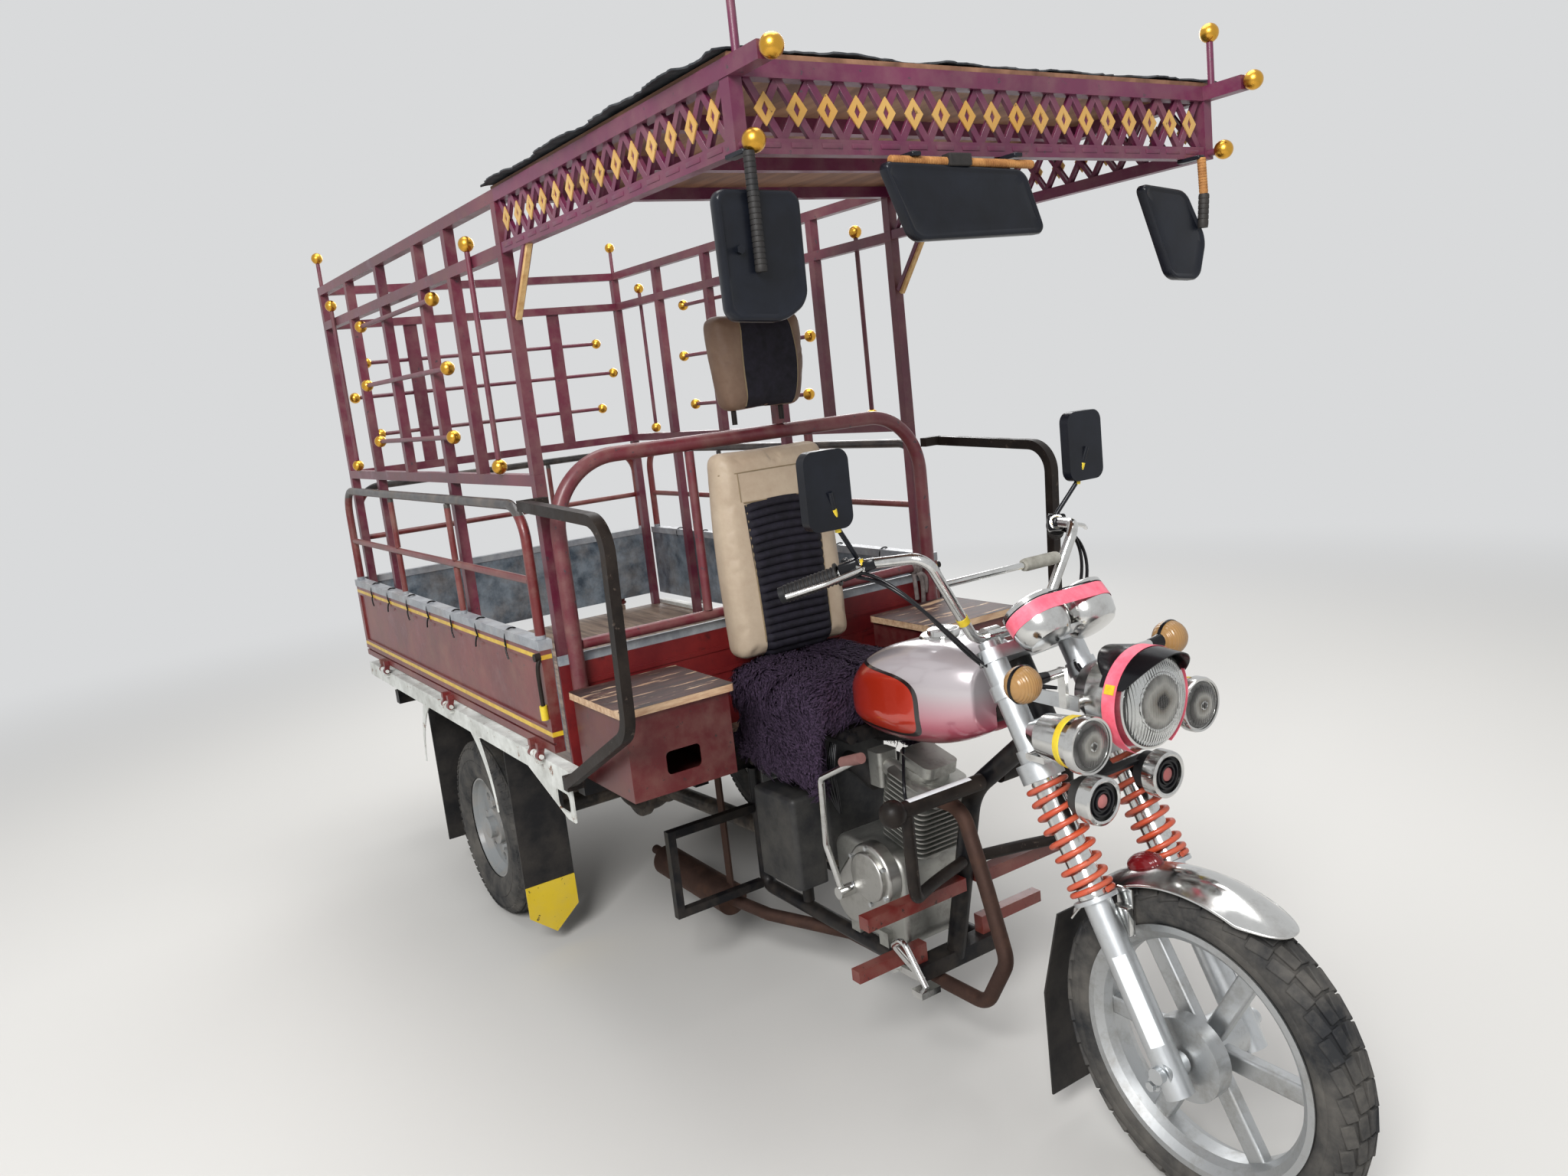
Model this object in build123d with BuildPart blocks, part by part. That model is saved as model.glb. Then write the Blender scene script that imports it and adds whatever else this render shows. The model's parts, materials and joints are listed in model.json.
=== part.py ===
"""Cargo motor tricycle with a barred cage on the load bed and a lattice-edged roof over the rider.

Millimetres. +X is forward, +Y is the rider's left, +Z is up. The origin lies on the ground, at the
middle of the length and on the centre line. Places along X are given from the rear axle.
"""
from build123d import *
from math import cos, radians, sin, sqrt
import os

os.makedirs("parts", exist_ok=True)

# Driving dimensions of the whole machine
wheelbase = 2278
front_tyre_radius = 312
front_tyre_width = 96
front_rim_radius = 236
rear_tyre_radius = 284
rear_tyre_width = 134
rear_rim_radius = 160
rear_wheel_y = 510
rear_overhang = 985
rake = 28
fork_offset = 55
fork_half_spacing = 105

length = rear_overhang + wheelbase + front_tyre_radius
rear_axle_x = rear_overhang - length / 2
front_axle_x = rear_axle_x + wheelbase
# The motorcycle part is placed from a datum that keeps its distance to the front axle
cycle_reach = 2278
cycle_x = front_axle_x - cycle_reach

# Load bed and drop sides
bed_rear_x = rear_axle_x - 930
bed_front_x = rear_axle_x + 955
gate_rear_x = rear_axle_x - 925
gate_front_x = rear_axle_x + 888
bed_half_width = 600
floor_top = 700
floor_thickness = 10
bearer_height = 50
chassis_rail_height = 80
chassis_rail_width = 40
chassis_rail_y = 260
side_rail_width = 35
side_rail_bottom = 665
side_rail_top = 713
gate_inner_y = 605
gate_thickness = 30
gate_bottom = 745
gate_top = 1030
gate_cap_height = 24
guard_top = 1360
guard_mid = 1175
guard_bend = 90
guard_radius = 13
hinge_pin_radius = 6
hinge_pin_half = 40
hinge_outer_radius = 10
hinge_z = 724
running_gap = 0.08
seat_gap = 0.3

# Cage and roof
cage_bar = 28
cage_y = 575
cage_rear_x = rear_axle_x - 921
cage_front_x = rear_axle_x + 882
cage_low_z = 1415
cage_second_z = 1950
cage_top_z = 2071
ball_radius = 19
ornament_rod_radius = 7
ball_gap = 0.05
roof_front_x = cycle_x + 1926
band_low_z = 1954
lattice_bar = 9
board_thickness = 9
cover_thickness = 14

# Front hoop and boxes
hoop_x = rear_axle_x + 932
hoop_radius = 19
hoop_leg_y = 563
hoop_top_z = 1474
hoop_bend = 170
tool_box_length = 280
tool_box_inner_y = 325
tool_box_outer_y = 595
tool_box_bottom = 690
tool_box_top = 890
lid_thickness = 18
lid_overhang = 12


def save(name, piece):
    """Label one finished piece and write its file."""
    piece.label = name
    export_step(piece, f"parts/{name}.step")


def tube(points, radius, bend=0.0):
    """A round bar along straight runs, joined by arcs of one radius."""
    with BuildPart() as bar:
        with BuildLine() as route:
            if len(points) > 2:
                FilletPolyline(*points, radius=bend)
            else:
                Line(*points)
        with BuildSketch(Plane(origin=route.line @ 0, z_dir=route.line % 0)):
            Circle(radius)
        sweep()
    return bar.part


def square_tube(points, side, bend):
    """A square bar along straight runs, joined by arcs of one radius."""
    with BuildPart() as bar:
        with BuildLine() as route:
            FilletPolyline(*points, radius=bend)
        with BuildSketch(Plane(origin=route.line @ 0, x_dir=(0, 1, 0), z_dir=route.line % 0)):
            Rectangle(side, side)
        sweep()
    return bar.part


def beam(start, end, width, height):
    """A straight rectangular bar: width across Y, or across X where the bar itself runs along Y."""
    run = Vector(*end) - Vector(*start)
    across = (1, 0, 0) if abs(run.Y) > 0.9 * run.length else (0, 1, 0)
    with BuildPart() as bar:
        with BuildSketch(Plane(origin=start, x_dir=across, z_dir=run)):
            Rectangle(width, height)
        extrude(amount=run.length)
    return bar.part


def block(x, y, z):
    """A box given by its lowest and highest X, Y and Z."""
    with BuildPart() as made:
        with BuildSketch(Plane.XY.offset(z[0])):
            with Locations(((x[0] + x[1]) / 2, (y[0] + y[1]) / 2)):
                Rectangle(x[1] - x[0], y[1] - y[0])
        extrude(amount=z[1] - z[0])
    return made.part


def disc(centre, axis, radius, depth):
    """A cylinder from centre along axis."""
    with BuildPart() as made:
        with BuildSketch(Plane(origin=centre, z_dir=axis)):
            Circle(radius)
        extrude(amount=depth)
    return made.part


def joined(pieces):
    """One part from pieces that touch or stand apart."""
    with BuildPart() as made:
        add(pieces)
    return made.part


def both_sides(pieces):
    """The pieces and their mirror images across the centre line."""
    return list(pieces) + [mirror(piece, about=Plane.XZ) for piece in pieces]


def ball(end, direction):
    """A ball on the end of a rod: a flat of the rod's size seats on the end face."""
    way = Vector(*direction).normalized()
    seat = Vector(*end) + way * ball_gap
    centre = seat + way * sqrt(ball_radius**2 - ornament_rod_radius**2)
    with BuildPart() as made:
        with Locations(Plane(origin=centre, z_dir=way)):
            Sphere(ball_radius)
        split(bisect_by=Plane(origin=seat, z_dir=way), keep=Keep.TOP)
    return made.part


# Steering frame: local X forward and up across the axis, local Z up along the steering axis
steer_x = front_axle_x - fork_offset * cos(radians(rake))
steer_z = front_tyre_radius - fork_offset * sin(radians(rake))
steer_across = (cos(radians(rake)), 0, sin(radians(rake)))
steer_up = (-sin(radians(rake)), 0, cos(radians(rake)))
steering = Plane(origin=(steer_x, 0, steer_z), x_dir=steer_across, z_dir=steer_up)


def on_fork(u, v, w):
    """World point of a place in the steering frame."""
    point = steering.from_local_coords(Vector(u, v, w))
    return (point.X, point.Y, point.Z)


lower_clamp_w = 598
upper_clamp_w = 800
clamp_thickness = 26
head_radius = 30
stem_radius = 16

# Chassis under the bed
chassis_bottom = floor_top - floor_thickness - bearer_height - chassis_rail_height
chassis_top = chassis_bottom + chassis_rail_height
bearer_stations = [-890, -345, 0, 345, 620, 870, 934]
cross_stations = [-800, -300, 300, 850]
chassis_front_x = rear_axle_x + 920
chassis_pieces = [
    block(
        (bed_rear_x + 10, chassis_front_x),
        (chassis_rail_y - chassis_rail_width / 2, chassis_rail_y + chassis_rail_width / 2),
        (chassis_bottom, chassis_top),
    )
]
chassis_pieces = both_sides(chassis_pieces)
for station in bearer_stations:
    x = rear_axle_x + station
    chassis_pieces.append(
        block((x - 20, x + 20), (-bed_half_width, bed_half_width), (chassis_top, chassis_top + bearer_height))
    )
for station in cross_stations:
    x = rear_axle_x + station
    chassis_pieces.append(
        block((x - 20, x + 20), (-chassis_rail_y, chassis_rail_y), (chassis_bottom + 10, chassis_top - 10))
    )
bumper_z = 560
chassis_pieces.append(
    block((bed_rear_x - 5, bed_rear_x + 35), (-560, 560), (bumper_z - 25, bumper_z + 25))
)
for side in (-1, 1):
    for y in (chassis_rail_y, 540):
        chassis_pieces.append(
            block((bed_rear_x + 5, bed_rear_x + 35), (side * y - 15, side * y + 15), (bumper_z, chassis_top))
        )
save("chassis_rails", joined(chassis_pieces))

# Motorcycle front frame: head tube, backbone, down tube, cradle and seat rails
frame_radius = 19
cradle_y = 100
cradle_z = 230
head_low = on_fork(0, 0, lower_clamp_w + clamp_thickness / 2 + seat_gap)
head_high = on_fork(0, 0, upper_clamp_w - clamp_thickness / 2 - seat_gap)
head_mid = on_fork(-8, 0, (lower_clamp_w + upper_clamp_w) / 2)
head_foot = on_fork(-8, 0, lower_clamp_w + 45)
seat_rail_z = 745
spine_radius = 22
down_tube_radius = 22
frame_x = {
    "down_mid": cycle_x + 1690,
    "down_foot": cycle_x + 1585,
    "spine_bend": cycle_x + 1560,
    "spine": cycle_x + 1384,
    "upright": cycle_x + 1130,
    "rear": rear_axle_x + 915,
}
spine_route = [head_mid, (frame_x["spine_bend"], 0, 772), (frame_x["spine"], 0, 734), (frame_x["upright"], 0, 734)]
seat_rail_radius = 14
upright_tube_radius = 15
cross_half_width = cradle_y - seat_rail_radius - seat_gap
foot_block_rear = frame_x["down_foot"] - 30
rear_block_x = (frame_x["rear"] - 19, frame_x["rear"] + 5)
rear_block_bottom = chassis_bottom + 10
with BuildPart() as main_frame:
    add([
        tube([head_low, head_high], head_radius),
        tube([head_foot, (frame_x["down_mid"], 0, 660), (frame_x["down_foot"], 0, cradle_z)], down_tube_radius, 160),
        tube(spine_route, spine_radius, 120),
        block(
            (foot_block_rear, frame_x["down_foot"] + 20),
            (-cradle_y - frame_radius, cradle_y + frame_radius),
            (cradle_z - frame_radius, cradle_z + frame_radius),
        ),
    ])
    for cross_x in (frame_x["upright"], frame_x["spine"]):
        add(
            block(
                (cross_x - 14, cross_x + 14),
                (-cross_half_width, cross_half_width),
                (seat_rail_z - seat_rail_radius, seat_rail_z + seat_rail_radius),
            )
        )
    with BuildSketch(Plane(origin=on_fork(0, 0, lower_clamp_w), z_dir=steer_up)):
        Circle(stem_radius + running_gap)
    extrude(amount=upper_clamp_w - lower_clamp_w, mode=Mode.SUBTRACT)
cradle_rise_x = frame_x["rear"] + 10
frame_sides = [
    tube(
        [
            (foot_block_rear - seat_gap, cradle_y, cradle_z),
            (cradle_rise_x, cradle_y, cradle_z),
            (cradle_rise_x, cradle_y, rear_block_bottom - seat_gap),
        ],
        frame_radius,
        32,
    ),
    tube(
        [
            (frame_x["spine"] + 16, cradle_y, seat_rail_z),
            (frame_x["upright"] - 60, cradle_y, seat_rail_z),
            (rear_block_x[1] + 8, cradle_y, chassis_top - 55),
        ],
        seat_rail_radius,
        60,
    ),
    tube(
        [
            (frame_x["upright"], cradle_y, cradle_z + frame_radius + seat_gap),
            (frame_x["upright"], cradle_y, seat_rail_z - seat_rail_radius - seat_gap),
        ],
        upright_tube_radius,
    ),
]
rear_block = block(rear_block_x, (20 - chassis_rail_y, chassis_rail_y - 20), (rear_block_bottom, chassis_top))
save("cycle_frame", joined([main_frame.part, rear_block] + both_sides(frame_sides)))

# Square-tube steps beside the cradle
step_side = 22
step_y = 375
step_low_z = 240
step_high_z = 459
step_inner_y = cradle_y + frame_radius + seat_gap
step_beams = [
    beam((cradle_rise_x, step_y, step_low_z - step_side / 2), (cradle_rise_x, step_y, step_high_z + step_side / 2), step_side, step_side)
]
for z in (step_low_z, step_high_z):
    step_beams.append(
        beam((cradle_rise_x, step_inner_y, z), (cradle_rise_x, step_y - step_side / 2 - seat_gap, z), step_side, step_side)
    )
save("step_frames", joined(both_sides(step_beams)))

# Rear axle, differential, brake drums and the propeller shaft
axle_tube_radius = 32
stub_radius = 16
drum_radius = 105
drum_inner_y = 425
drum_outer_y = 490
hub_y = 512
diff_radius = 105
axle_z = rear_tyre_radius
with BuildPart() as rear_axle:
    with BuildSketch(Plane(origin=(rear_axle_x, -drum_inner_y, axle_z), z_dir=(0, 1, 0))):
        Circle(axle_tube_radius)
    extrude(amount=2 * drum_inner_y)
    with Locations((rear_axle_x, 0, axle_z)):
        Sphere(diff_radius)
    with BuildSketch(Plane(origin=(rear_axle_x, -45, axle_z), z_dir=(0, 1, 0))):
        Circle(diff_radius + 12)
    extrude(amount=20)
    with BuildSketch(Plane(origin=(rear_axle_x, 0, axle_z), z_dir=(1, 0, 0.03))):
        Circle(42)
    extrude(amount=170)
    for side in (-1, 1):
        with BuildSketch(Plane(origin=(rear_axle_x, side * drum_inner_y, axle_z), z_dir=(0, side, 0))):
            Circle(drum_radius)
        extrude(amount=drum_outer_y - drum_inner_y)
        with BuildSketch(Plane(origin=(rear_axle_x, side * drum_outer_y, axle_z), z_dir=(0, side, 0))):
            Circle(stub_radius)
        extrude(amount=545 - drum_outer_y)
shaft_front = (cycle_x + 1190, -20, 360)
prop_shaft = tube([(rear_axle_x + 160, 0, axle_z + 5), shaft_front], 26)
save("rear_axle", joined([rear_axle.part, prop_shaft]))

# Leaf springs: five leaves bent as arcs, packed on the axle
spring_y = 330
spring_width = 50
leaf_thickness = 7
spring_half_length = 430
spring_eye_z = 485
leaf_lengths = [430, 360, 290, 220, 150]
spring_sag = 95
spring_pieces = []
with BuildPart() as leaves:
    for index, half in enumerate(leaf_lengths):
        drop = spring_sag * (half / spring_half_length) ** 2
        low = spring_eye_z - spring_sag - index * leaf_thickness
        with BuildSketch(Plane.XZ.offset(-spring_y + spring_width / 2)):
            with BuildLine():
                lower = ThreePointArc(
                    (rear_axle_x - half, low + drop),
                    (rear_axle_x, low),
                    (rear_axle_x + half, low + drop),
                )
                upper = ThreePointArc(
                    (rear_axle_x - half, low + drop + leaf_thickness),
                    (rear_axle_x, low + leaf_thickness),
                    (rear_axle_x + half, low + drop + leaf_thickness),
                )
                Line(lower @ 0, upper @ 0)
                Line(lower @ 1, upper @ 1)
            make_face()
        extrude(amount=-spring_width)
spring_pieces.append(leaves.part)
pack_low = spring_eye_z - spring_sag - (len(leaf_lengths) - 1) * leaf_thickness
spring_pieces.append(
    block(
        (rear_axle_x - 45, rear_axle_x + 45),
        (spring_y - 32, spring_y + 32),
        (axle_z + axle_tube_radius + 0.2, pack_low + 30),
    )
)
for way in (-1, 1):
    eye_x = rear_axle_x + way * spring_half_length
    spring_pieces.append(disc((eye_x, spring_y - spring_width / 2, spring_eye_z + 4), (0, 1, 0), 16, spring_width))
    spring_pieces.append(
        block((eye_x - 16, eye_x + 16), (spring_y - 35, spring_y - spring_width / 2 + 1), (spring_eye_z - 10, chassis_bottom + 30))
    )
    spring_pieces.append(
        block((eye_x - 16, eye_x + 16), (spring_y - 50, spring_y + 25), (chassis_bottom + 20, chassis_bottom + 30))
    )
save("leaf_springs", joined(both_sides([joined(spring_pieces)])))

# Engine: crankcase on the cradle, finned cylinder leaning forward, head and carburettor
engine_bottom = cradle_z + frame_radius + seat_gap
exhaust_port = (cycle_x + 1632, -52, 640)
case_top = 485
cylinder_lean = 14
cylinder_base = (cycle_x + 1490, 0, case_top - 15)
cylinder = Plane(
    origin=cylinder_base, x_dir=(cos(radians(cylinder_lean)), 0, -sin(radians(cylinder_lean))),
    z_dir=(sin(radians(cylinder_lean)), 0, cos(radians(cylinder_lean))),
)
low_cover = (cycle_x + 1375, 352)
low_cover_radius = 66
lug_height = low_cover[1] - low_cover_radius - seat_gap - engine_bottom
fin_size = 148
fin_thickness = 4
fin_pitch = 13
fin_count = 14
barrel_radius = 52
cylinder_height = 222
with BuildPart() as engine:
    with BuildSketch(Plane.XY.offset(engine_bottom)):
        with Locations((cycle_x + 1408, 0)):
            Rectangle(262, 200)
    extrude(amount=case_top - engine_bottom)
    fillet(engine.edges().filter_by(Axis.Y), 45)
    fillet(engine.edges().filter_by(Axis.Z), 12)
    with BuildSketch(cylinder):
        Circle(barrel_radius)
    extrude(amount=cylinder_height)
    for index in range(fin_count):
        with BuildSketch(cylinder.offset(28 + index * fin_pitch)):
            RectangleRounded(fin_size - (index > 9) * 14, fin_size - (index < 4) * 12, 22)
        extrude(amount=fin_thickness)
    with BuildSketch(cylinder.offset(cylinder_height)):
        RectangleRounded(112, 96, 20)
    extrude(amount=26)
    with BuildSketch(Plane(origin=(cycle_x + 1520, -30, 655), z_dir=(-1, 0, 0.15))):
        Circle(22)
    extrude(amount=110)
    with BuildSketch(Plane(origin=exhaust_port, z_dir=(-1, 0, 0))):
        Circle(23)
    extrude(amount=90)
    with BuildSketch(Plane.XY.offset(engine_bottom)):
        with Locations(*[(cycle_x + x, side * cradle_y) for x in (1355, 1465) for side in (-1, 1)]):
            Rectangle(34, 30)
    extrude(amount=lug_height)
    with BuildSketch(Plane(origin=(cycle_x + 1415, -30, 620), z_dir=(0, 0, 1))):
        RectangleRounded(52, 56, 10)
    extrude(amount=85)
save("engine", engine.part)

# Side covers of the engine, with the round clutch cover and the alternator cover
case_half_width = 100
cover_thickness_y = 34
round_cover = (cycle_x + 1458, 430)


def engine_cover(side):
    """One side cover: a pear outline over two shafts, with a raised round lid."""
    with BuildPart() as cover:
        with BuildSketch(Plane(origin=(0, side * (case_half_width + seat_gap), 0), x_dir=(1, 0, 0), z_dir=(0, side, 0))):
            with Locations((round_cover[0], -side * round_cover[1])):
                Circle(78)
            with Locations((low_cover[0], -side * low_cover[1])):
                Circle(low_cover_radius)
            make_hull()
        extrude(amount=cover_thickness_y)
        outer = cover.faces().sort_by(Axis.Y)[-1 if side > 0 else 0]
        fillet(outer.edges(), 9)
        with BuildSketch(
            Plane(
                origin=(round_cover[0], side * (case_half_width + seat_gap + cover_thickness_y - 1), round_cover[1]),
                z_dir=(0, side, 0),
            )
        ):
            Circle(60)
        extrude(amount=11)
        lid = cover.faces().sort_by(Axis.Y)[-1 if side > 0 else 0]
        fillet(lid.edges(), 5)
    return cover.part


save("engine_covers", joined([engine_cover(-1), engine_cover(1)]))

# Exhaust: header in front of the down tube, pipe under the cradle, silencer under the bed
pipe_radius = 17
header_places = [
    # forward of the cycle datum, left, up
    (exhaust_port[0] - cycle_x + seat_gap, exhaust_port[1], exhaust_port[2]),
    (1712, -52, 640),
    (1772, -52, 470),
    (1818, -52, 320),
    (1740, -50, 190),
    (1250, -60, 186),
]
silencer_x = rear_axle_x + 850
silencer_y = -175
silencer_z = 185
silencer_radius = 46
silencer_length = 390
tail_pipe_radius = 14
tail_pipe_length = 70
exhaust_route = [(cycle_x + x, y, z) for x, y, z in header_places]
exhaust_route += [(silencer_x + 150, silencer_y + 25, silencer_z - 3), (silencer_x, silencer_y, silencer_z)]
silencer = disc((silencer_x, silencer_y, silencer_z), (-1, 0, 0), silencer_radius, silencer_length)
tail_pipe = disc(
    (silencer_x - silencer_length, silencer_y, silencer_z + 14), (-1, 0, 0), tail_pipe_radius, tail_pipe_length
)
hanger = block(
    (silencer_x - 15, silencer_x + 15),
    (silencer_y - 3, silencer_y + 3),
    (silencer_z + 15, chassis_bottom + 10 - seat_gap),
)
save("exhaust", joined([tube(exhaust_route, pipe_radius, 55), silencer, tail_pipe, hanger]))

# Kick starter and brake pedal
cover_face_y = case_half_width + seat_gap + cover_thickness_y
kick_shaft = (cycle_x + 1385, -cover_face_y - seat_gap, 378)
kick_route = [
    (kick_shaft[0], -cover_face_y - 30, kick_shaft[2]),
    (cycle_x + 1370, -cover_face_y - 52, 500),
    (cycle_x + 1408, -cover_face_y - 72, 680),
    (cycle_x + 1570, -cover_face_y - 70, 764),
]
pedal_route = [
    (cycle_x + 1620, -cradle_y - frame_radius - 12, cradle_z + 4),
    (cycle_x + 1622, -205, 345),
    (cycle_x + 1668, -212, 378),
    (cycle_x + 1735, -212, 290),
]
save("foot_levers", joined([
    disc(kick_shaft, (0, -1, 0), 15, 42),
    tube(kick_route, 8, 22),
    tube(pedal_route, 7, 24),
    beam((cycle_x + 1530, -cradle_y - frame_radius - 12, cradle_z), pedal_route[0], 10, 16),
    disc((cycle_x + 1530, -cradle_y - frame_radius - seat_gap, cradle_z), (0, -1, 0), 13, 26),
    beam((cycle_x + 1735, -238, 285), (cycle_x + 1735, -186, 285), 34, 14),
]))

# Crash bars with balled ends, each with a loop down to the down tube
crash_x = cycle_x + 1752
crash_z = 703
crash_end_y = 262
crash_bar = [
    tube([(crash_x - 4, down_tube_radius + seat_gap, crash_z), (crash_x, crash_end_y, crash_z)], 11),
    tube([(crash_x, 232, crash_z), (crash_x, 232, 560), (crash_x - 62, 150, 490), (crash_x - 96, down_tube_radius + seat_gap, 490)], 10, 45),
]
with BuildPart() as crash_ball:
    with Locations((crash_x, crash_end_y + 12, crash_z)):
        Sphere(20)
save("crash_bars", joined(both_sides([joined(crash_bar + [crash_ball.part])])))

# Footrests: red rectangular bars from the down tube and pegs over the cradle
rest_x = cycle_x + 1655
peg_x = cycle_x + 1575
peg_z = 280
footrests = [
    block((rest_x - 16, rest_x + 16), (down_tube_radius + seat_gap, 300), (425, 455)),
    block((peg_x - 14, peg_x + 14), (86, 280), (peg_z - 14, peg_z + 14)),
    block((peg_x - 14, peg_x + 14), (86, 114), (cradle_z + frame_radius + seat_gap, peg_z - 13)),
]
save("footrests", joined(both_sides([footrests[0], joined(footrests[1:])])))

# Side boxes under the seat
side_box_y = cradle_y + 15 + seat_gap
with BuildPart() as side_box:
    with BuildSketch(Plane.XY.offset(352)):
        with Locations((cycle_x + 1175, (side_box_y + 205) / 2)):
            RectangleRounded(180, 205 - side_box_y, 14)
    extrude(amount=235)
    fillet(side_box.edges().group_by(Axis.Z)[-1], 12)
save("battery_boxes", joined(both_sides([side_box.part])))

# Fuel tank: rounded sections from the seat to the steering head, open along the backbone
tank_sections = [
    # station, half width, bottom, top
    (1388, 78, 779, 900),
    (1480, 118, 770, 962),
    (1600, 132, 772, 1000),
    (1720, 126, 792, 1004),
    (1812, 84, 830, 976),
]
with BuildPart() as fuel_tank:
    for station, half_width, bottom, top in tank_sections:
        with BuildSketch(Plane(origin=(cycle_x + station, 0, (bottom + top) / 2), x_dir=(0, 1, 0), z_dir=(1, 0, 0))):
            RectangleRounded(2 * half_width, top - bottom, min(half_width, (top - bottom) / 2) * 0.72)
    loft()
    fillet(fuel_tank.faces().sort_by(Axis.X)[-1].edges(), 14)
    with Locations((cycle_x + 1640, 0, 1008)):
        Cylinder(34, 26)
tunnel = tube([(head_mid[0] + 30, 0, head_mid[2] + 12), spine_route[1], spine_route[2], (spine_route[2][0] - 60, 0, 734)], spine_radius + seat_gap, 120)
slot = [
    beam((spine_route[1][0] - 190, 0, spine_route[1][2] - 48 - 62), (head_mid[0] + 30, 0, head_mid[2] - 62 + 12), 2 * spine_radius, 124)
]
with BuildPart() as tank_body:
    add(fuel_tank.part)
    add([tunnel] + slot, mode=Mode.SUBTRACT)
save("fuel_tank", tank_body.part)

# Seat cushion with side skirts, backrest and headrest: plain soft forms
seat_rear_x = rear_axle_x + 985
seat_front_x = cycle_x + 1383
seat_bottom = seat_rail_z + 14 + seat_gap
seat_top = 888
seat_half_width = 195
skirt_inner_y = 158
skirt_bottom = 612
with BuildPart() as seat_cushion:
    with BuildSketch(Plane.XY.offset(seat_bottom)):
        with Locations(((seat_rear_x + seat_front_x) / 2, 0)):
            RectangleRounded(seat_front_x - seat_rear_x, 2 * seat_half_width, 60)
    extrude(amount=seat_top - seat_bottom)
    fillet(seat_cushion.edges().group_by(Axis.Z)[-1], 30)
    for side in (-1, 1):
        with BuildSketch(Plane.XY.offset(skirt_bottom)):
            with Locations(((seat_rear_x + seat_front_x) / 2 + 10, side * (skirt_inner_y + 14))):
                RectangleRounded(seat_front_x - seat_rear_x - 60, 28, 12)
        extrude(amount=seat_bottom - seat_gap - skirt_bottom)
save("seat_cushion", seat_cushion.part)

backrest_half_width = 200
backrest_top = 1432
hoop_front_x = hoop_x + hoop_radius
with BuildPart() as backrest:
    with BuildSketch(Plane.XZ.offset(-backrest_half_width)):
        with BuildLine():
            Polyline(
                (hoop_front_x + 24, seat_top + seat_gap),
                (hoop_front_x + 118, seat_top + seat_gap),
                (hoop_front_x + 82, backrest_top),
                (hoop_front_x + seat_gap, backrest_top),
                close=True,
            )
        make_face()
    extrude(amount=2 * backrest_half_width)
    fillet(backrest.edges().filter_by(Axis.Z, reverse=True).filter_by(Axis.Y, reverse=True).group_by(Axis.Z)[-1], 22)
save("backrest", backrest.part)

headrest_y = (-138, 152)
headrest_z = (1516, 1766)
post_side = 25
post_y = 95
headrest_back_x = hoop_x + post_side / 2 + seat_gap
with BuildPart() as headrest:
    with BuildSketch(Plane.XY.offset(headrest_z[0])):
        with Locations((headrest_back_x + 45, sum(headrest_y) / 2)):
            RectangleRounded(90, headrest_y[1] - headrest_y[0], 26)
    extrude(amount=headrest_z[1] - headrest_z[0])
    fillet(headrest.edges().group_by(Axis.Z)[-1], 24)
    with BuildSketch(Plane.XY.offset(headrest_z[0])):
        with Locations((headrest_back_x + 45, -75), (headrest_back_x + 45, 68)):
            Circle(7)
    extrude(amount=-28)
save("headrest", headrest.part)

# Hoop at the front of the bed with its uprights, crossbar and headrest post
wall_top = 985
wall_front_x = rear_axle_x + 909
hoop_arch = tube(
    [
        (hoop_x, -hoop_leg_y, floor_top),
        (hoop_x, -hoop_leg_y, hoop_top_z - hoop_radius),
        (hoop_x, hoop_leg_y, hoop_top_z - hoop_radius),
        (hoop_x, hoop_leg_y, floor_top),
    ],
    hoop_radius,
    hoop_bend,
)
crossbar_z = 1010
crossbar_radius = 13
upright_radius = 12
upright_y = 185
crossbar_end = hoop_leg_y - hoop_radius - seat_gap
upright_ends = (crossbar_z + crossbar_radius + seat_gap, hoop_top_z - 2 * hoop_radius - seat_gap)
hoop_pieces = [
    hoop_arch,
    tube([(hoop_x, -crossbar_end, crossbar_z), (hoop_x, crossbar_end, crossbar_z)], crossbar_radius),
    tube([(hoop_x, upright_y, upright_ends[0]), (hoop_x, upright_y, upright_ends[1])], upright_radius),
    tube([(hoop_x, -upright_y, upright_ends[0]), (hoop_x, -upright_y, upright_ends[1])], upright_radius),
    block(
        (hoop_x - post_side / 2, hoop_x + post_side / 2),
        (post_y - post_side / 2, post_y + post_side / 2),
        (hoop_top_z + seat_gap, headrest_z[1] - 90),
    ),
]
save("front_hoop", joined(hoop_pieces))

# Bed floor with its side rails, their front gussets and the blades of the wheel arches
floor_pieces = [
    block((bed_rear_x, bed_front_x), (-bed_half_width, bed_half_width), (floor_top - floor_thickness, floor_top)),
]
rail_outer_y = bed_half_width + side_rail_width
side_rails = [
    block((bed_rear_x, bed_front_x), (bed_half_width, rail_outer_y), (side_rail_bottom, side_rail_top)),
]
hinge_stations = [-667, 57, 781]
tail_hinge_x = rear_axle_x - rear_overhang + hinge_outer_radius
tail_hinge_stations = (-420, 420)
for station in tail_hinge_stations:
    floor_pieces.append(block((tail_hinge_x, bed_rear_x), (station - 16, station + 16), (floor_top - floor_thickness, hinge_z - 4)))
    floor_pieces.append(disc((tail_hinge_x, station - 16, hinge_z), (0, 1, 0), hinge_outer_radius, 32))
    floor_pieces.append(
        disc((tail_hinge_x, station - hinge_pin_half, hinge_z), (0, 1, 0), hinge_pin_radius, 2 * hinge_pin_half)
    )
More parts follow.
